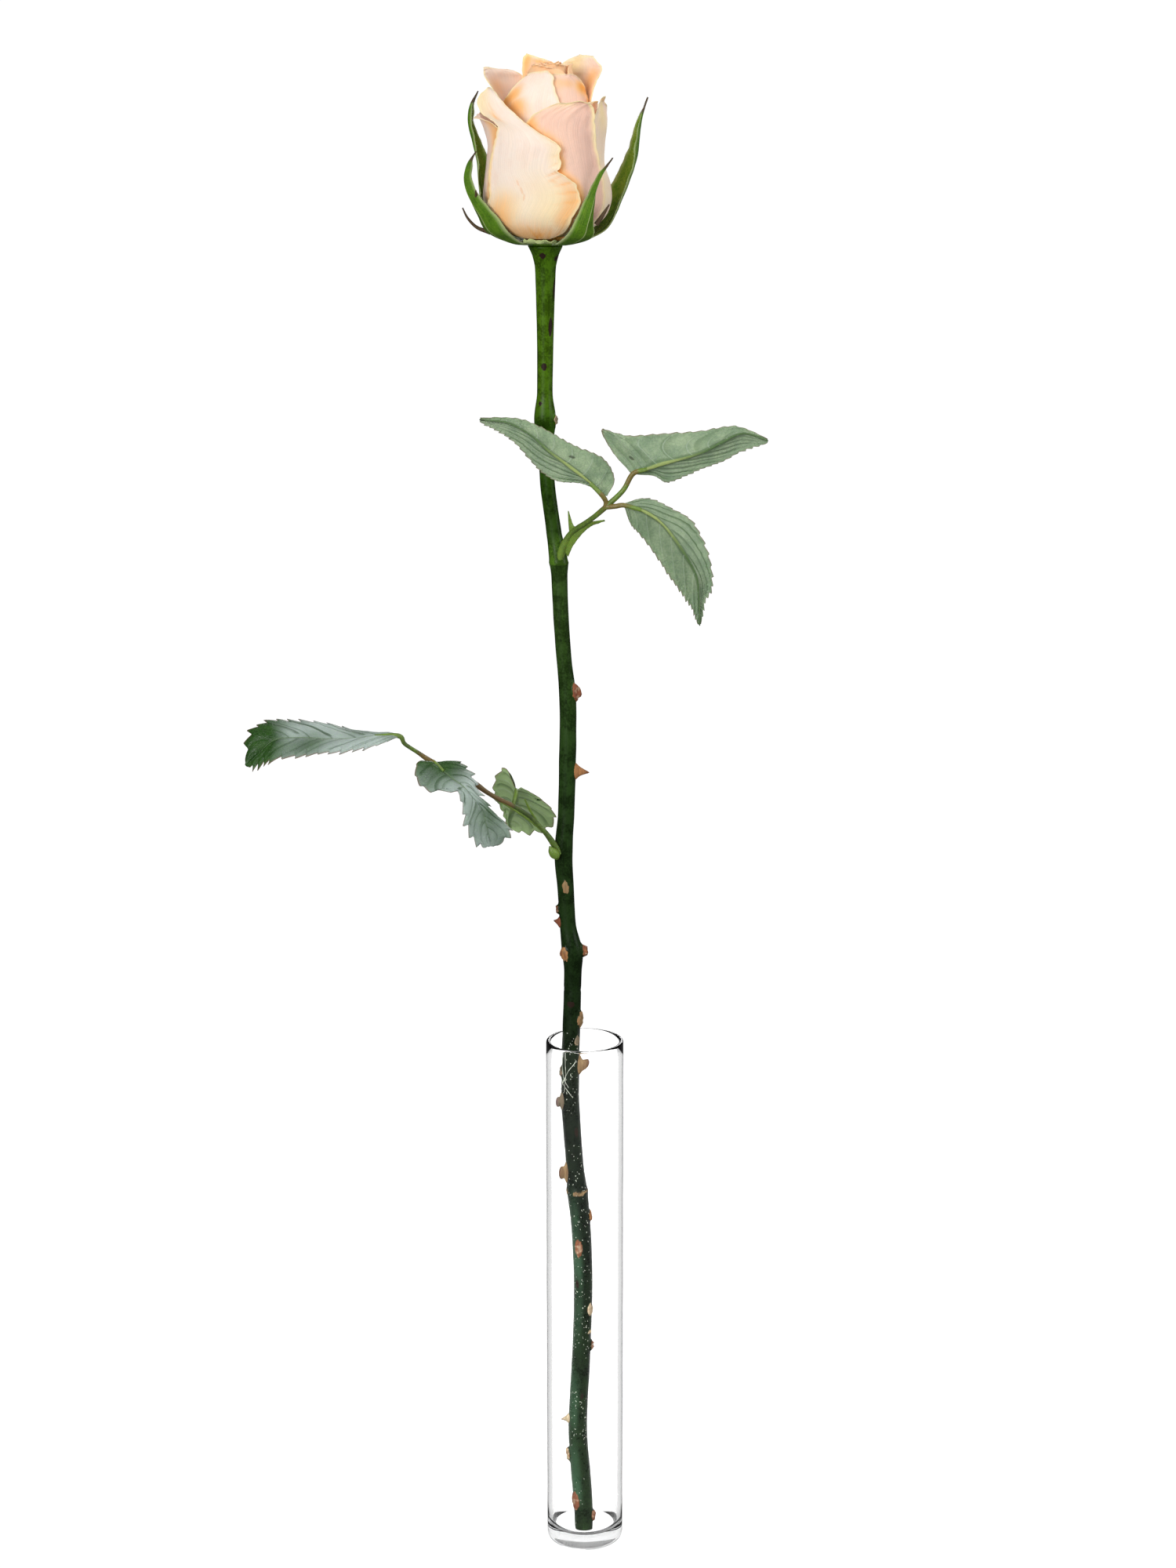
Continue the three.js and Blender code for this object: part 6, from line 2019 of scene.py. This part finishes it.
@dataclass(frozen=True)
class LeafBlade:
    """One leaflet: rows from foot to tip of one edge, the midrib and the other edge, each x, y, z."""

    rows: tuple[tuple[tuple[float, float, float], ...], ...]
    upper: UpperFace
    arch: float = 0.6
    # How much painted grey-white sheen the upper face shows, and the span along the leaflet where it fades
    # in
    powder: float = 0.0
    painted_sheen_reach: tuple[float, float] = (1.05, 1.0)
    spots: tuple[tuple[float, float, float], ...] = ()
    seed: int = 0
    tooth: float = 1.5
    tooth_pitch: float = 3.3
    tooth_lean: float = 0.9
    tooth_peak: float = 0.74
    thickness: float = 0.34
    # How much the underside is lightened as painted backlight
    fresh: float = 0.0
    lean: tuple[float, float] = (0.25, 0.25)
    # How strongly each half shows painted shade in its folds and a pale painted sheen
    crease: tuple[float, float] = (0.7, 0.7)
    step: float = 0.42
    half_width: int = 28

    def shell(self) -> Shell:
        """Makes the leaflet with its teeth, ribs and quilted skin."""
        flat = np.array(self.rows, float)
        rib = flat[:, 1]
        length = np.linalg.norm(np.diff(rib, axis=0), axis=-1).sum()
        along = np.linspace(0, 1, round(length / self.step) + 1)
        read = through(flat.reshape(len(flat), 9), along).reshape(-1, 3, 3)
        ahead = unit(np.gradient(read[:, 1], axis=0))
        s = np.linspace(-1, 1, 2 * self.half_width + 1)
        s = np.sign(s) * np.abs(s) ** 0.9
        reach = np.abs(s)[None, :, None]
        edge = np.where(s[None, :, None] < 0, read[:, None, 0], read[:, None, 2])
        middle = read[:, None, 1]
        grid = middle * (1 - reach) + edge * reach
        out = unit(edge - middle)
        saw = self.teeth(along, length)[:, None, None] * reach**5
        grid = grid + saw * (out + self.tooth_lean * ahead[:, None, :])
        normal = normals(grid)
        sign = 1.0 if self.upper is UpperFace.FIRST else -1.0
        v, u = along[:, None], s[None, :]
        side = np.abs(u)
        lean = np.where(u > 0, self.lean[1], self.lean[0])
        wave = (v - lean * side**1.3) * VEINS_ON_BLADE + np.where(u > 0, 0.5, 0.0)
        near = 2 * np.abs(wave % 1.0 - 0.5)
        inside = rise(1.0, 0.8, side) * rise(0.0, 0.06, v) * rise(1.0, 0.9, v)
        quilt = (1 - near**3) * inside * rise(0.0, 0.25, side)
        groove = np.exp(-((side / 0.05) ** 2))
        vein = near**10 * inside
        swell = self.arch * 4 * side * (1 - side) * rise(0.0, 0.15, v)
        lift = 0.42 * quilt + swell - 0.35 * groove + 0.5 * wobble(grid, 9.0, self.seed)
        lift = lift + 0.12 * wobble(grid, 3.0, self.seed + 9)
        grid = grid + normal * (sign * lift)[..., None]
        thin = 0.5 * self.thickness * (1 - 0.5 * side**4)
        ribbed = thin + 0.34 * groove * (1 - 0.6 * v) + 0.1 * vein
        pair = (thin, ribbed) if sign > 0 else (ribbed, thin)
        spot = np.zeros_like(lift)
        for across, place, size in self.spots:
            distance = ((u - across) * 9) ** 2 + ((v - place) * length) ** 2
            spot = np.maximum(spot, np.exp(-(distance / size**2)))
        is_under = (0.0, 1.0) if sign > 0 else (1.0, 0.0)
        cloud = np.clip(0.75 + 0.8 * wobble(grid, 12.0, self.seed + 30), 0, 1)
        values = {
            "under": is_under,
            "margin": rise(0.955, 1.0, side),
            # Painted sheen, in clouds, fading along the leaflet
            "powder": self.powder * cloud * (1 - 0.5 * vein) * rise(*self.painted_sheen_reach, v),
            "crease": np.where(u > 0, self.crease[1], self.crease[0]),
            "lean": lean,
            "fresh": self.fresh,
            "spot": spot,
        }
        return blade(grid, *pair, values)

    def teeth(self, along: Array, length: float) -> Array:
        """Gives how far the edge's teeth stand out, each leaning on toward the tip."""
        count = round(length / self.tooth_pitch)
        place = along * count
        part = place % 1.0
        size = 0.75 + 0.5 * ((np.floor(place) * 0.618 + 0.37 * self.seed) % 1.0)
        saw = np.where(part < self.tooth_peak, part / self.tooth_peak, (1 - part) / (1 - self.tooth_peak))
        return self.tooth * size * saw * np.minimum(1, 5 * along) * np.minimum(1, 14 * (1 - along))


@dataclass(frozen=True)
class StalkLine:
    """One stalk: rows of x, y, z and radius, with how dark and how red it is at each row."""

    rows: Rows
    shade: tuple[float, ...]
    blush: tuple[float, ...]


@dataclass
class Leaf:
    """A compound leaf: stalks, serrated leaflets, and stipules or wings along the stalk."""

    name: str
    node: str
    stalks: tuple[StalkLine, ...]
    blades: tuple[LeafBlade, ...]
    wings: tuple[tuple[tuple[tuple[float, float, float], ...], ...], ...]
    wing_thickness: float = 0.4
    wing_grid: tuple[int, int] = (40, 6)

    def wing(self, rows: tuple[tuple[tuple[float, float, float], ...], ...]) -> Shell:
        """Makes a thin strip between two edges."""
        along, s = places(*self.wing_grid)
        read = through(np.array(rows, float).reshape(len(rows), 6), along[:, 0]).reshape(-1, 2, 3)
        grid = read[:, :1] * (1 - s[..., None]) + read[:, 1:] * s[..., None]
        half = 0.5 * self.wing_thickness * (1 - 0.6 * np.abs(2 * s - 1) ** 2)
        grid[..., 2] -= (0.35 * np.abs(wobble(grid, 1.5, 12)) * s**3) * rise(0.0, 0.3, along)
        return blade(grid, half, half, {"shade": 0.1, "blush": 0.0})

    def build(self, blade_finish: Material, stalk_finish: Material, sweep: SweepTree) -> None:
        """Makes the leaflets, the stalks and the stipules."""
        for number, shape in enumerate(self.blades):
            piece = mesh_object(f"{self.name}_leaflet_{number + 1}", [shape.shell()], blade_finish)
            settle(piece, self.node)
        values = [{"shade": stalk.shade, "blush": stalk.blush} for stalk in self.stalks]
        rows = [stalk.rows for stalk in self.stalks]
        settle(sweep.stalks(f"{self.name}_stalks", rows, values, stalk_finish), self.node)
        strips = [self.wing(rows) for rows in self.wings]
        settle(mesh_object(f"{self.name}_stipules", strips, stalk_finish), self.node)


UPPER_JOINT = (7.5, -6.5, 399.5, 1.0)

UPPER_LEAF = Leaf(
    name="upper",
    node="upper_leaf",
    stalks=(
        StalkLine((
            (-9.2, 9.6, 377.6, 1.3), (-7.6, 8.2, 382.6, 1.5), (-5.2, 5.6, 387.6, 1.1),
            (-2.6, 2.6, 390.4, 1), (0, 0, 392.5, 0.95),
            (3.5, -3, 395.5, 0.95), UPPER_JOINT,
        ), (0.0, 0.1, 0.3, 0.5, 0.5, 0.4, 0.3), (0, 0, 0, 0, 0.1, 0.3, 0.5)),
        StalkLine((
            UPPER_JOINT, (7.5, -7, 401.5, 0.9), (6, -8, 404, 0.85), (2, -7.2, 408, 0.7),
        ), (0.3, 0.2, 0.1, 0.0), (0.5, 0.7, 0.5, 0.0)),
        StalkLine((
            UPPER_JOINT, (13.5, -7.5, 405.5, 0.9), (17, -8.2, 411.5, 0.9), (22, -10.2, 413.5, 0.7),
        ), (0.5, 0.3, 0.1, 0.0), (0.3, 0.35, 0.75, 0.0)),
        StalkLine((
            UPPER_JOINT, (11, -8, 400, 0.9), (14, -9, 400.5, 0.85), (20, -10.2, 399, 0.7),
        ), (0.3, 0.3, 0.1, 0.0), (0.5, 0.75, 0.6, 0.0)),
    ),
    blades=(
        LeafBlade((
            ((8, -7, 403.5), (5.5, -8, 404.5), (4.5, -7.5, 405.5)),
            ((10.5, -2, 408.5), (2, -7, 408), (-1.5, -4, 407.5)),
            ((6.5, 0, 415.5), (-5, -6, 413.5), (-10.5, -1.5, 408.5)),
            ((-3.5, 0.5, 420), (-12.5, -5, 419), (-17, -0.5, 413)),
            ((-12.5, 1, 425), (-19, -3.5, 424.5), (-24, 0, 421)),
            ((-23, 0.5, 429.5), (-27, -1.5, 428.5), (-30.5, 0.5, 425.5)),
            ((-36.8, 1, 430), (-37, 1, 429.3), (-37, 1, 428.6)),
        ), UpperFace.FIRST, spots=((-0.45, 0.42, 0.9), (0.0, 0.99, 1.2)), seed=1, tooth=0.6,
            tooth_pitch=2.3,
            lean=(0.15, 0.6), crease=(0.15, 0.9)),
        LeafBlade((
            ((16, -7, 411.8), (17, -8, 412), (18.2, -7.5, 411.3)),
            ((10, -5, 418.5), (22, -10, 413.5), (24, -7, 410.5)),
            ((6, -5, 426.5), (27.5, -12, 415.5), (28.5, -8, 408.5)),
            ((15, -6, 424.5), (34.5, -13, 417.5), (35, -9, 411)),
            ((27.5, -8, 425.5), (41.5, -14, 420), (41.5, -10, 414)),
            ((41, -9, 426.5), (48, -14, 423.5), (48.5, -10.5, 416.5)),
            ((53, -11, 428.5), (55.5, -13, 426.5), (56, -11, 420.5)),
            ((63.8, -12, 424.4), (64, -12, 423.7), (63.8, -12, 423)),
        ), UpperFace.SECOND, spots=((-0.5, 0.16, 0.8),), seed=2, tooth=0.6, tooth_pitch=2.3,
            lean=(0.25, 0.55), crease=(0.45, 0.7)),
        LeafBlade((
            ((14.3, -8.5, 401.3), (14, -9, 400.5), (14, -8.5, 399.5)),
            ((21, -6, 402.5), (20, -10, 399), (16, -7, 394)),
            ((29, -6, 399.5), (26, -11, 395.5), (19.5, -6.5, 390)),
            ((37.5, -6, 394.5), (30.5, -11, 390.5), (25.5, -6, 382)),
            ((43, -5, 383.5), (35.5, -10, 383), (30.5, -6, 374.5)),
            ((45, -4, 371.5), (39.5, -8, 375), (35, -5, 368)),
            ((42.5, -4, 365), (40.5, -6, 366.5), (38.5, -4.5, 363)),
            ((41.4, -4, 357), (41, -4, 356.5), (40.4, -4, 356.8)),
        ), UpperFace.SECOND, seed=3, tooth=0.75, tooth_pitch=2.6, lean=(0.55, 0.2), crease=(0.9, 0.15)),
    ),
    wings=(
        (
            ((-7.4, 8, 381.6), (-5.9, 6.8, 379.4)), ((-5, 5.4, 386.8), (-4, 4.6, 384)),
            ((-1.6, 1.8, 390.6), (-0.8, 2, 388.6)),
            ((1.8, -1.4, 393.2), (2.6, -0.6, 391.9)), ((7, -3, 394.4), (7.2, -3, 393.9)),
        ),
        (((-5.4, 5, 388), (-2.8, 2.4, 390.6)), ((-5.7, 4.7, 391), (-4.2, 3.8, 391.8)), ((-6, 4, 396.4),
        (-5.6, 4, 396.4))),
    ),
)

LOWER_LEAF = Leaf(
    name="lower",
    node="lower_leaf",
    stalks=(
        StalkLine((
            (-9.4, 7.6, 269, 1.2), (-11.4, 6.8, 273, 1.2), (-14.8, 5.4, 278.2, 0.95),
            (-20.5, 4, 284.5, 0.9), (-26.5, 3, 288.5, 0.95), (-31, 2, 291, 0.9), (-35.5, 1, 294, 0.85),
            (-40, 0, 297.5, 1.1), (-47, -1.5, 301.5, 0.8), (-55, -4, 306.5, 1), (-60, -6, 310.5, 0.75),
            (-64.5, -7.5, 314, 0.75), (-66.5, -8, 317, 0.9), (-75, -8, 317, 0.6),
        ), (0.2, 0.4, 0.6, 0.9, 1, 1, 1, 0.8, 0.9, 0.7, 0.8, 0.6, 0.2, 0.1),
            (0, 0, 0, 0.2, 0.5, 0.6, 0.6, 0.9, 0.5, 0.9, 0.4, 0.1, 0, 0)),
        StalkLine((
            (-10, 6.2, 267.4, 0.4), (-10.6, 5.4, 269, 1.7), (-11.8, 4.6, 270.8, 1.6),
            (-12.8, 4, 272.8, 0.3),
        ), (0, 0, 0.1, 0.3), (0, 0, 0, 0.3)),
        StalkLine((
            (-55, -4, 306.5, 0.9), (-54, -7, 307, 0.8), (-50.5, -10, 304.5, 0.6),
        ), (0.4, 0.3, 0.2), (0.9, 0.5, 0.0)),
        StalkLine((
            (-26, 3, 288.5, 0.8), (-25.5, 6, 290, 0.7), (-25, 9, 291.5, 0.7), (-25, 12, 292, 0.7),
            (-25.5, 15, 289, 0.6),
        ), (0.4, 0.2, 0.1, 0.0, 0.0), (0.3, 0.2, 0.0, 0.0, 0.0)),
    ),
    blades=(
        LeafBlade((
            ((-67, -7, 317.5), (-66.5, -8, 317), (-67, -9, 316.5)),
            ((-74, -2, 316.5), (-75, -8, 317), (-75, -13, 314.5)),
            ((-83.5, 2, 317), (-84.5, -7, 316), (-83.5, -15, 313.5)),
            ((-95, 5, 318.5), (-94, -6, 315.5), (-92.5, -15.5, 313)),
            ((-105, 6, 319), (-103, -5, 315.5), (-101, -14, 311.5)),
            ((-113.5, 4, 319.5), (-111, -5, 315), (-111, -12, 310)),
            ((-119.5, -1, 316.5), (-116.5, -6, 310.5), (-116, -9, 308)),
            ((-121.8, -6.6, 306), (-121.5, -7, 305.5), (-121, -7.4, 305.5)),
        ), UpperFace.SECOND, powder=1.0, painted_sheen_reach=(0.74, 0.6), seed=4, tooth=2.3, tooth_pitch=4.0,
            crease=(0.7, 0.5)),
        LeafBlade((
            ((-55, -7, 307.5), (-54, -7, 307), (-53.5, -6, 307)),
            ((-59.5, -10, 308), (-50.5, -10, 304.5), (-46.5, -5, 307)),
            ((-60, -14, 303.5), (-46.5, -13, 302), (-43, -6, 304.5)),
            ((-55.5, -16.5, 299.5), (-43, -15, 300), (-40, -10, 301)),
            ((-45.5, -17, 299), (-40, -16, 296.5), (-38, -14, 296.5)),
            ((-43, -17, 292.5), (-36.5, -17, 292), (-33.5, -15.5, 291.5)),
            ((-41.5, -17.5, 287), (-35.5, -18, 288), (-29, -16, 287.5)),
            ((-38.5, -18, 281), (-34.5, -18.5, 284), (-27.5, -17, 283.5)),
            ((-34.2, -19, 279), (-33.5, -19, 279), (-32.7, -19, 279)),
        ), UpperFace.SECOND, arch=0.3, powder=1.0, painted_sheen_reach=(0.1, 0.4), seed=5, tooth=1.9),
        LeafBlade((
            ((-25.5, 11, 293.5), (-25, 12, 292), (-23.5, 14, 292.5)),
            ((-28.5, 13, 299.5), (-25.5, 15, 289), (-19, 16, 289.5)),
            ((-32, 16, 296), (-26, 18, 285.5), (-13.5, 18, 284.5)),
            ((-33, 19, 289.5), (-27, 21, 282), (-11.5, 20.5, 279.5)),
            ((-31, 22, 283), (-28, 24, 278.5), (-15.5, 23, 274.5)),
            ((-29.5, 25, 278.5), (-28, 26, 276), (-22, 25.5, 273)),
            ((-28.5, 28, 273.5), (-28, 28, 273), (-27.4, 28, 273)),
        ), UpperFace.FIRST, seed=6, tooth=1.7, fresh=0.75),
    ),
    wings=(
        (
            ((-30.5, 2, 290.8), (-30.5, 1.5, 289.9)), ((-24.5, 3.2, 287.4), (-24.5, 2.6, 285.8)),
            ((-19, 4.2, 283), (-18.6, 4, 281)), ((-14.4, 5.3, 278.2), (-13, 5.4, 275.5)),
        ),
        (((-14.5, 5.4, 278.5), (-17, 4.6, 281.2)), ((-18.6, 4.3, 285), (-20.2, 4, 286.2)),
        ((-21.6, 2.4, 291.2), (-22, 2.2, 291))),
    ),
)


# Studio


@dataclass(frozen=True)
class Lamp:
    """One soft rectangular lamp, sizes in metres, aimed at a point."""

    name: str
    place: tuple[float, float, float]
    size: float
    power: float
    colour: Colour = (1.0, 1.0, 1.0)


@dataclass
class Studio:
    """The camera, a pale floor that curves up all round into a wall, and the soft lamps."""

    camera_place: tuple[float, float, float] = (0.0012, -1.150, 0.584)
    camera_tilt: float = 76.0
    lens: float = 75.2
    floor_radius: float = 1.7
    sweep_radius: float = 0.8
    wall_top: float = 1.6
    arc_steps: int = 16
    sides: int = 96
    aim: tuple[float, float, float] = (0.0, 0.0, 0.34)
    lamps: tuple[Lamp, ...] = (
        Lamp("key_lamp", (-0.95, -1.6, 0.95), 0.9, 27.5),
        Lamp("fill_lamp", (1.6, -0.4, 0.85), 0.9, 8.5),
        Lamp("front_lamp", (0.1, -1.9, 1.25), 1.1, 3.5),
        Lamp("top_lamp", (0.55, -0.4, 1.9), 1.1, 10.5),
        Lamp("back_lamp", (0.4, 1.5, 0.9), 0.9, 11.0),
    )
    seen_glow: float = 1.0
    through_glow: float = 1.5
    bent_glow: float = 0.9
    mirrored_glow: float = 0.13
    soft_glow: float = 0.36
    dim_glow: float = 0.03
    world_light: float = 0.22

    def camera(self) -> None:
        """Makes the scene's camera at the photograph's viewing angle."""
        data = bpy.data.cameras.new("camera")
        data.lens = self.lens
        data.sensor_width = 36.0
        data.clip_end = 20.0
        camera = add_object("camera", data)
        camera.location = self.camera_place
        camera.rotation_euler = (math.radians(self.camera_tilt), 0.0, 0.0)
        bpy.context.scene.camera = camera

    def backdrop(self) -> None:
        """Makes the floor and the wall round it as one smooth bowl."""
        arc = np.radians(np.linspace(0, 90, self.arc_steps + 1))
        bend = self.sweep_radius
        line = [(radius, 0.0) for radius in (0.3, 0.7, 1.2)]
        line += [(self.floor_radius + bend * math.sin(a), bend * (1 - math.cos(a))) for a in arc]
        line.append((self.floor_radius + bend, self.wall_top))
        turn = np.arange(self.sides) * 2 * np.pi / self.sides
        points = [(0.0, 0.0, 0.0)] + [(r * math.cos(a), r * math.sin(a), z) for r, z in line for a in turn]
        index = 1 + np.arange(len(line) * self.sides).reshape(len(line), self.sides)
        after = np.roll(index, -1, axis=1)
        faces = [(0, int(a), int(b)) for a, b in zip(index[0], after[0])]
        faces += np.stack([index[:-1], index[1:], after[1:], after[:-1]], axis=-1).reshape(-1, 4).tolist()
        mesh = bpy.data.meshes.new("studio_sweep")
        mesh.from_pydata(points, [], faces)
        mesh.shade_smooth()
        mesh.materials.append(self.paper())
        add_object("studio_sweep", mesh)

    def paper(self) -> Material:
        """Builds the sweep's finish: white to the eye and through glass, soft as a light, dim mirrored."""
        material, graph, shader = new_material("studio_paper")
        path = graph.node("ShaderNodeLightPath").outputs
        glow = graph.times_plus(path["Is Camera Ray"], self.seen_glow - self.dim_glow, self.dim_glow)
        where = graph.node("ShaderNodeTexCoord").outputs["Object"]
        depth = graph.axis(where, 1)
        bent_glow = graph.ease(depth, -0.02, 0.02, self.mirrored_glow, self.bent_glow)
        bent = graph.reckon("GREATER_THAN", path["Glossy Depth"], 0.5)
        change = graph.minus(bent_glow, self.through_glow)
        clear = graph.times_plus(bent, change, self.through_glow - self.dim_glow)
        glow = graph.times_plus(path["Is Transmission Ray"], clear, glow)
        soft = graph.reckon("GREATER_THAN", path["Diffuse Depth"], 0.5)
        glow = graph.times_plus(soft, graph.minus(self.soft_glow, glow), glow)
        dress(graph, shader, {
            "Base Color": (0.06, 0.06, 0.06), "Roughness": 0.9, "Specular IOR Level": 0.0,
            "Emission Color": (1.0, 1.0, 1.0), "Emission Strength": glow,
        })
        return material

    def room(self) -> None:
        """Makes the room round the sweep: white to the eye, dim as a light."""
        world = bpy.data.worlds.new("studio_room")
        world.use_nodes = True
        graph = Graph(world.node_tree)
        seen = graph.node("ShaderNodeLightPath").outputs["Is Camera Ray"]
        strength = graph.times_plus(seen, 1.0 - self.world_light, self.world_light)
        graph.feed(world.node_tree.nodes["Background"].inputs["Strength"], strength)
        world.node_tree.nodes["Background"].inputs["Color"].default_value = (1.0, 1.0, 1.0, 1.0)
        bpy.context.scene.world = world

    def light(self) -> None:
        """Makes the lamps and the even light of the room."""
        for lamp in self.lamps:
            data = bpy.data.lights.new(lamp.name, "AREA")
            data.shape = "SQUARE"
            data.size = lamp.size
            data.energy = lamp.power
            data.color = lamp.colour
            item = add_object(lamp.name, data)
            item.location = lamp.place
            facing = Vector(self.aim) - Vector(lamp.place)
            item.rotation_euler = facing.to_track_quat("-Z", "Y").to_euler()
            item.visible_camera = False
        self.room()
        bpy.context.scene.view_settings.view_transform = "Standard"

    def build(self) -> None:
        """Makes the camera, the backdrop and the light."""
        self.camera()
        self.backdrop()
        self.light()


def main() -> None:
    """Builds the studio and every sub-assembly in order."""
    logging.basicConfig(level=logging.INFO, format="%(name)s: %(message)s", force=True)
    effects = SharedEffects()
    sweep = SweepTree()
    Studio().build()
    Vase().build(GlassFinish().material())
    Stem().build(StemFinish().material(effects), SpeckTree(), SpeckFinish().material(), sweep)
    sepal_finish = SepalFinish().material(effects)
    Calyx().build(sepal_finish, HairFinish().material(), sweep, FringeTree())
    Bloom().build(PetalFinish().material(effects), WhorlTree())
    leaf_finish = LeafFinish().material(effects)
    stalk_finish = StalkFinish().material(effects)
    UPPER_LEAF.build(leaf_finish, stalk_finish, sweep)
    LOWER_LEAF.build(leaf_finish, stalk_finish, sweep)


if __name__ == "__main__":
    main()
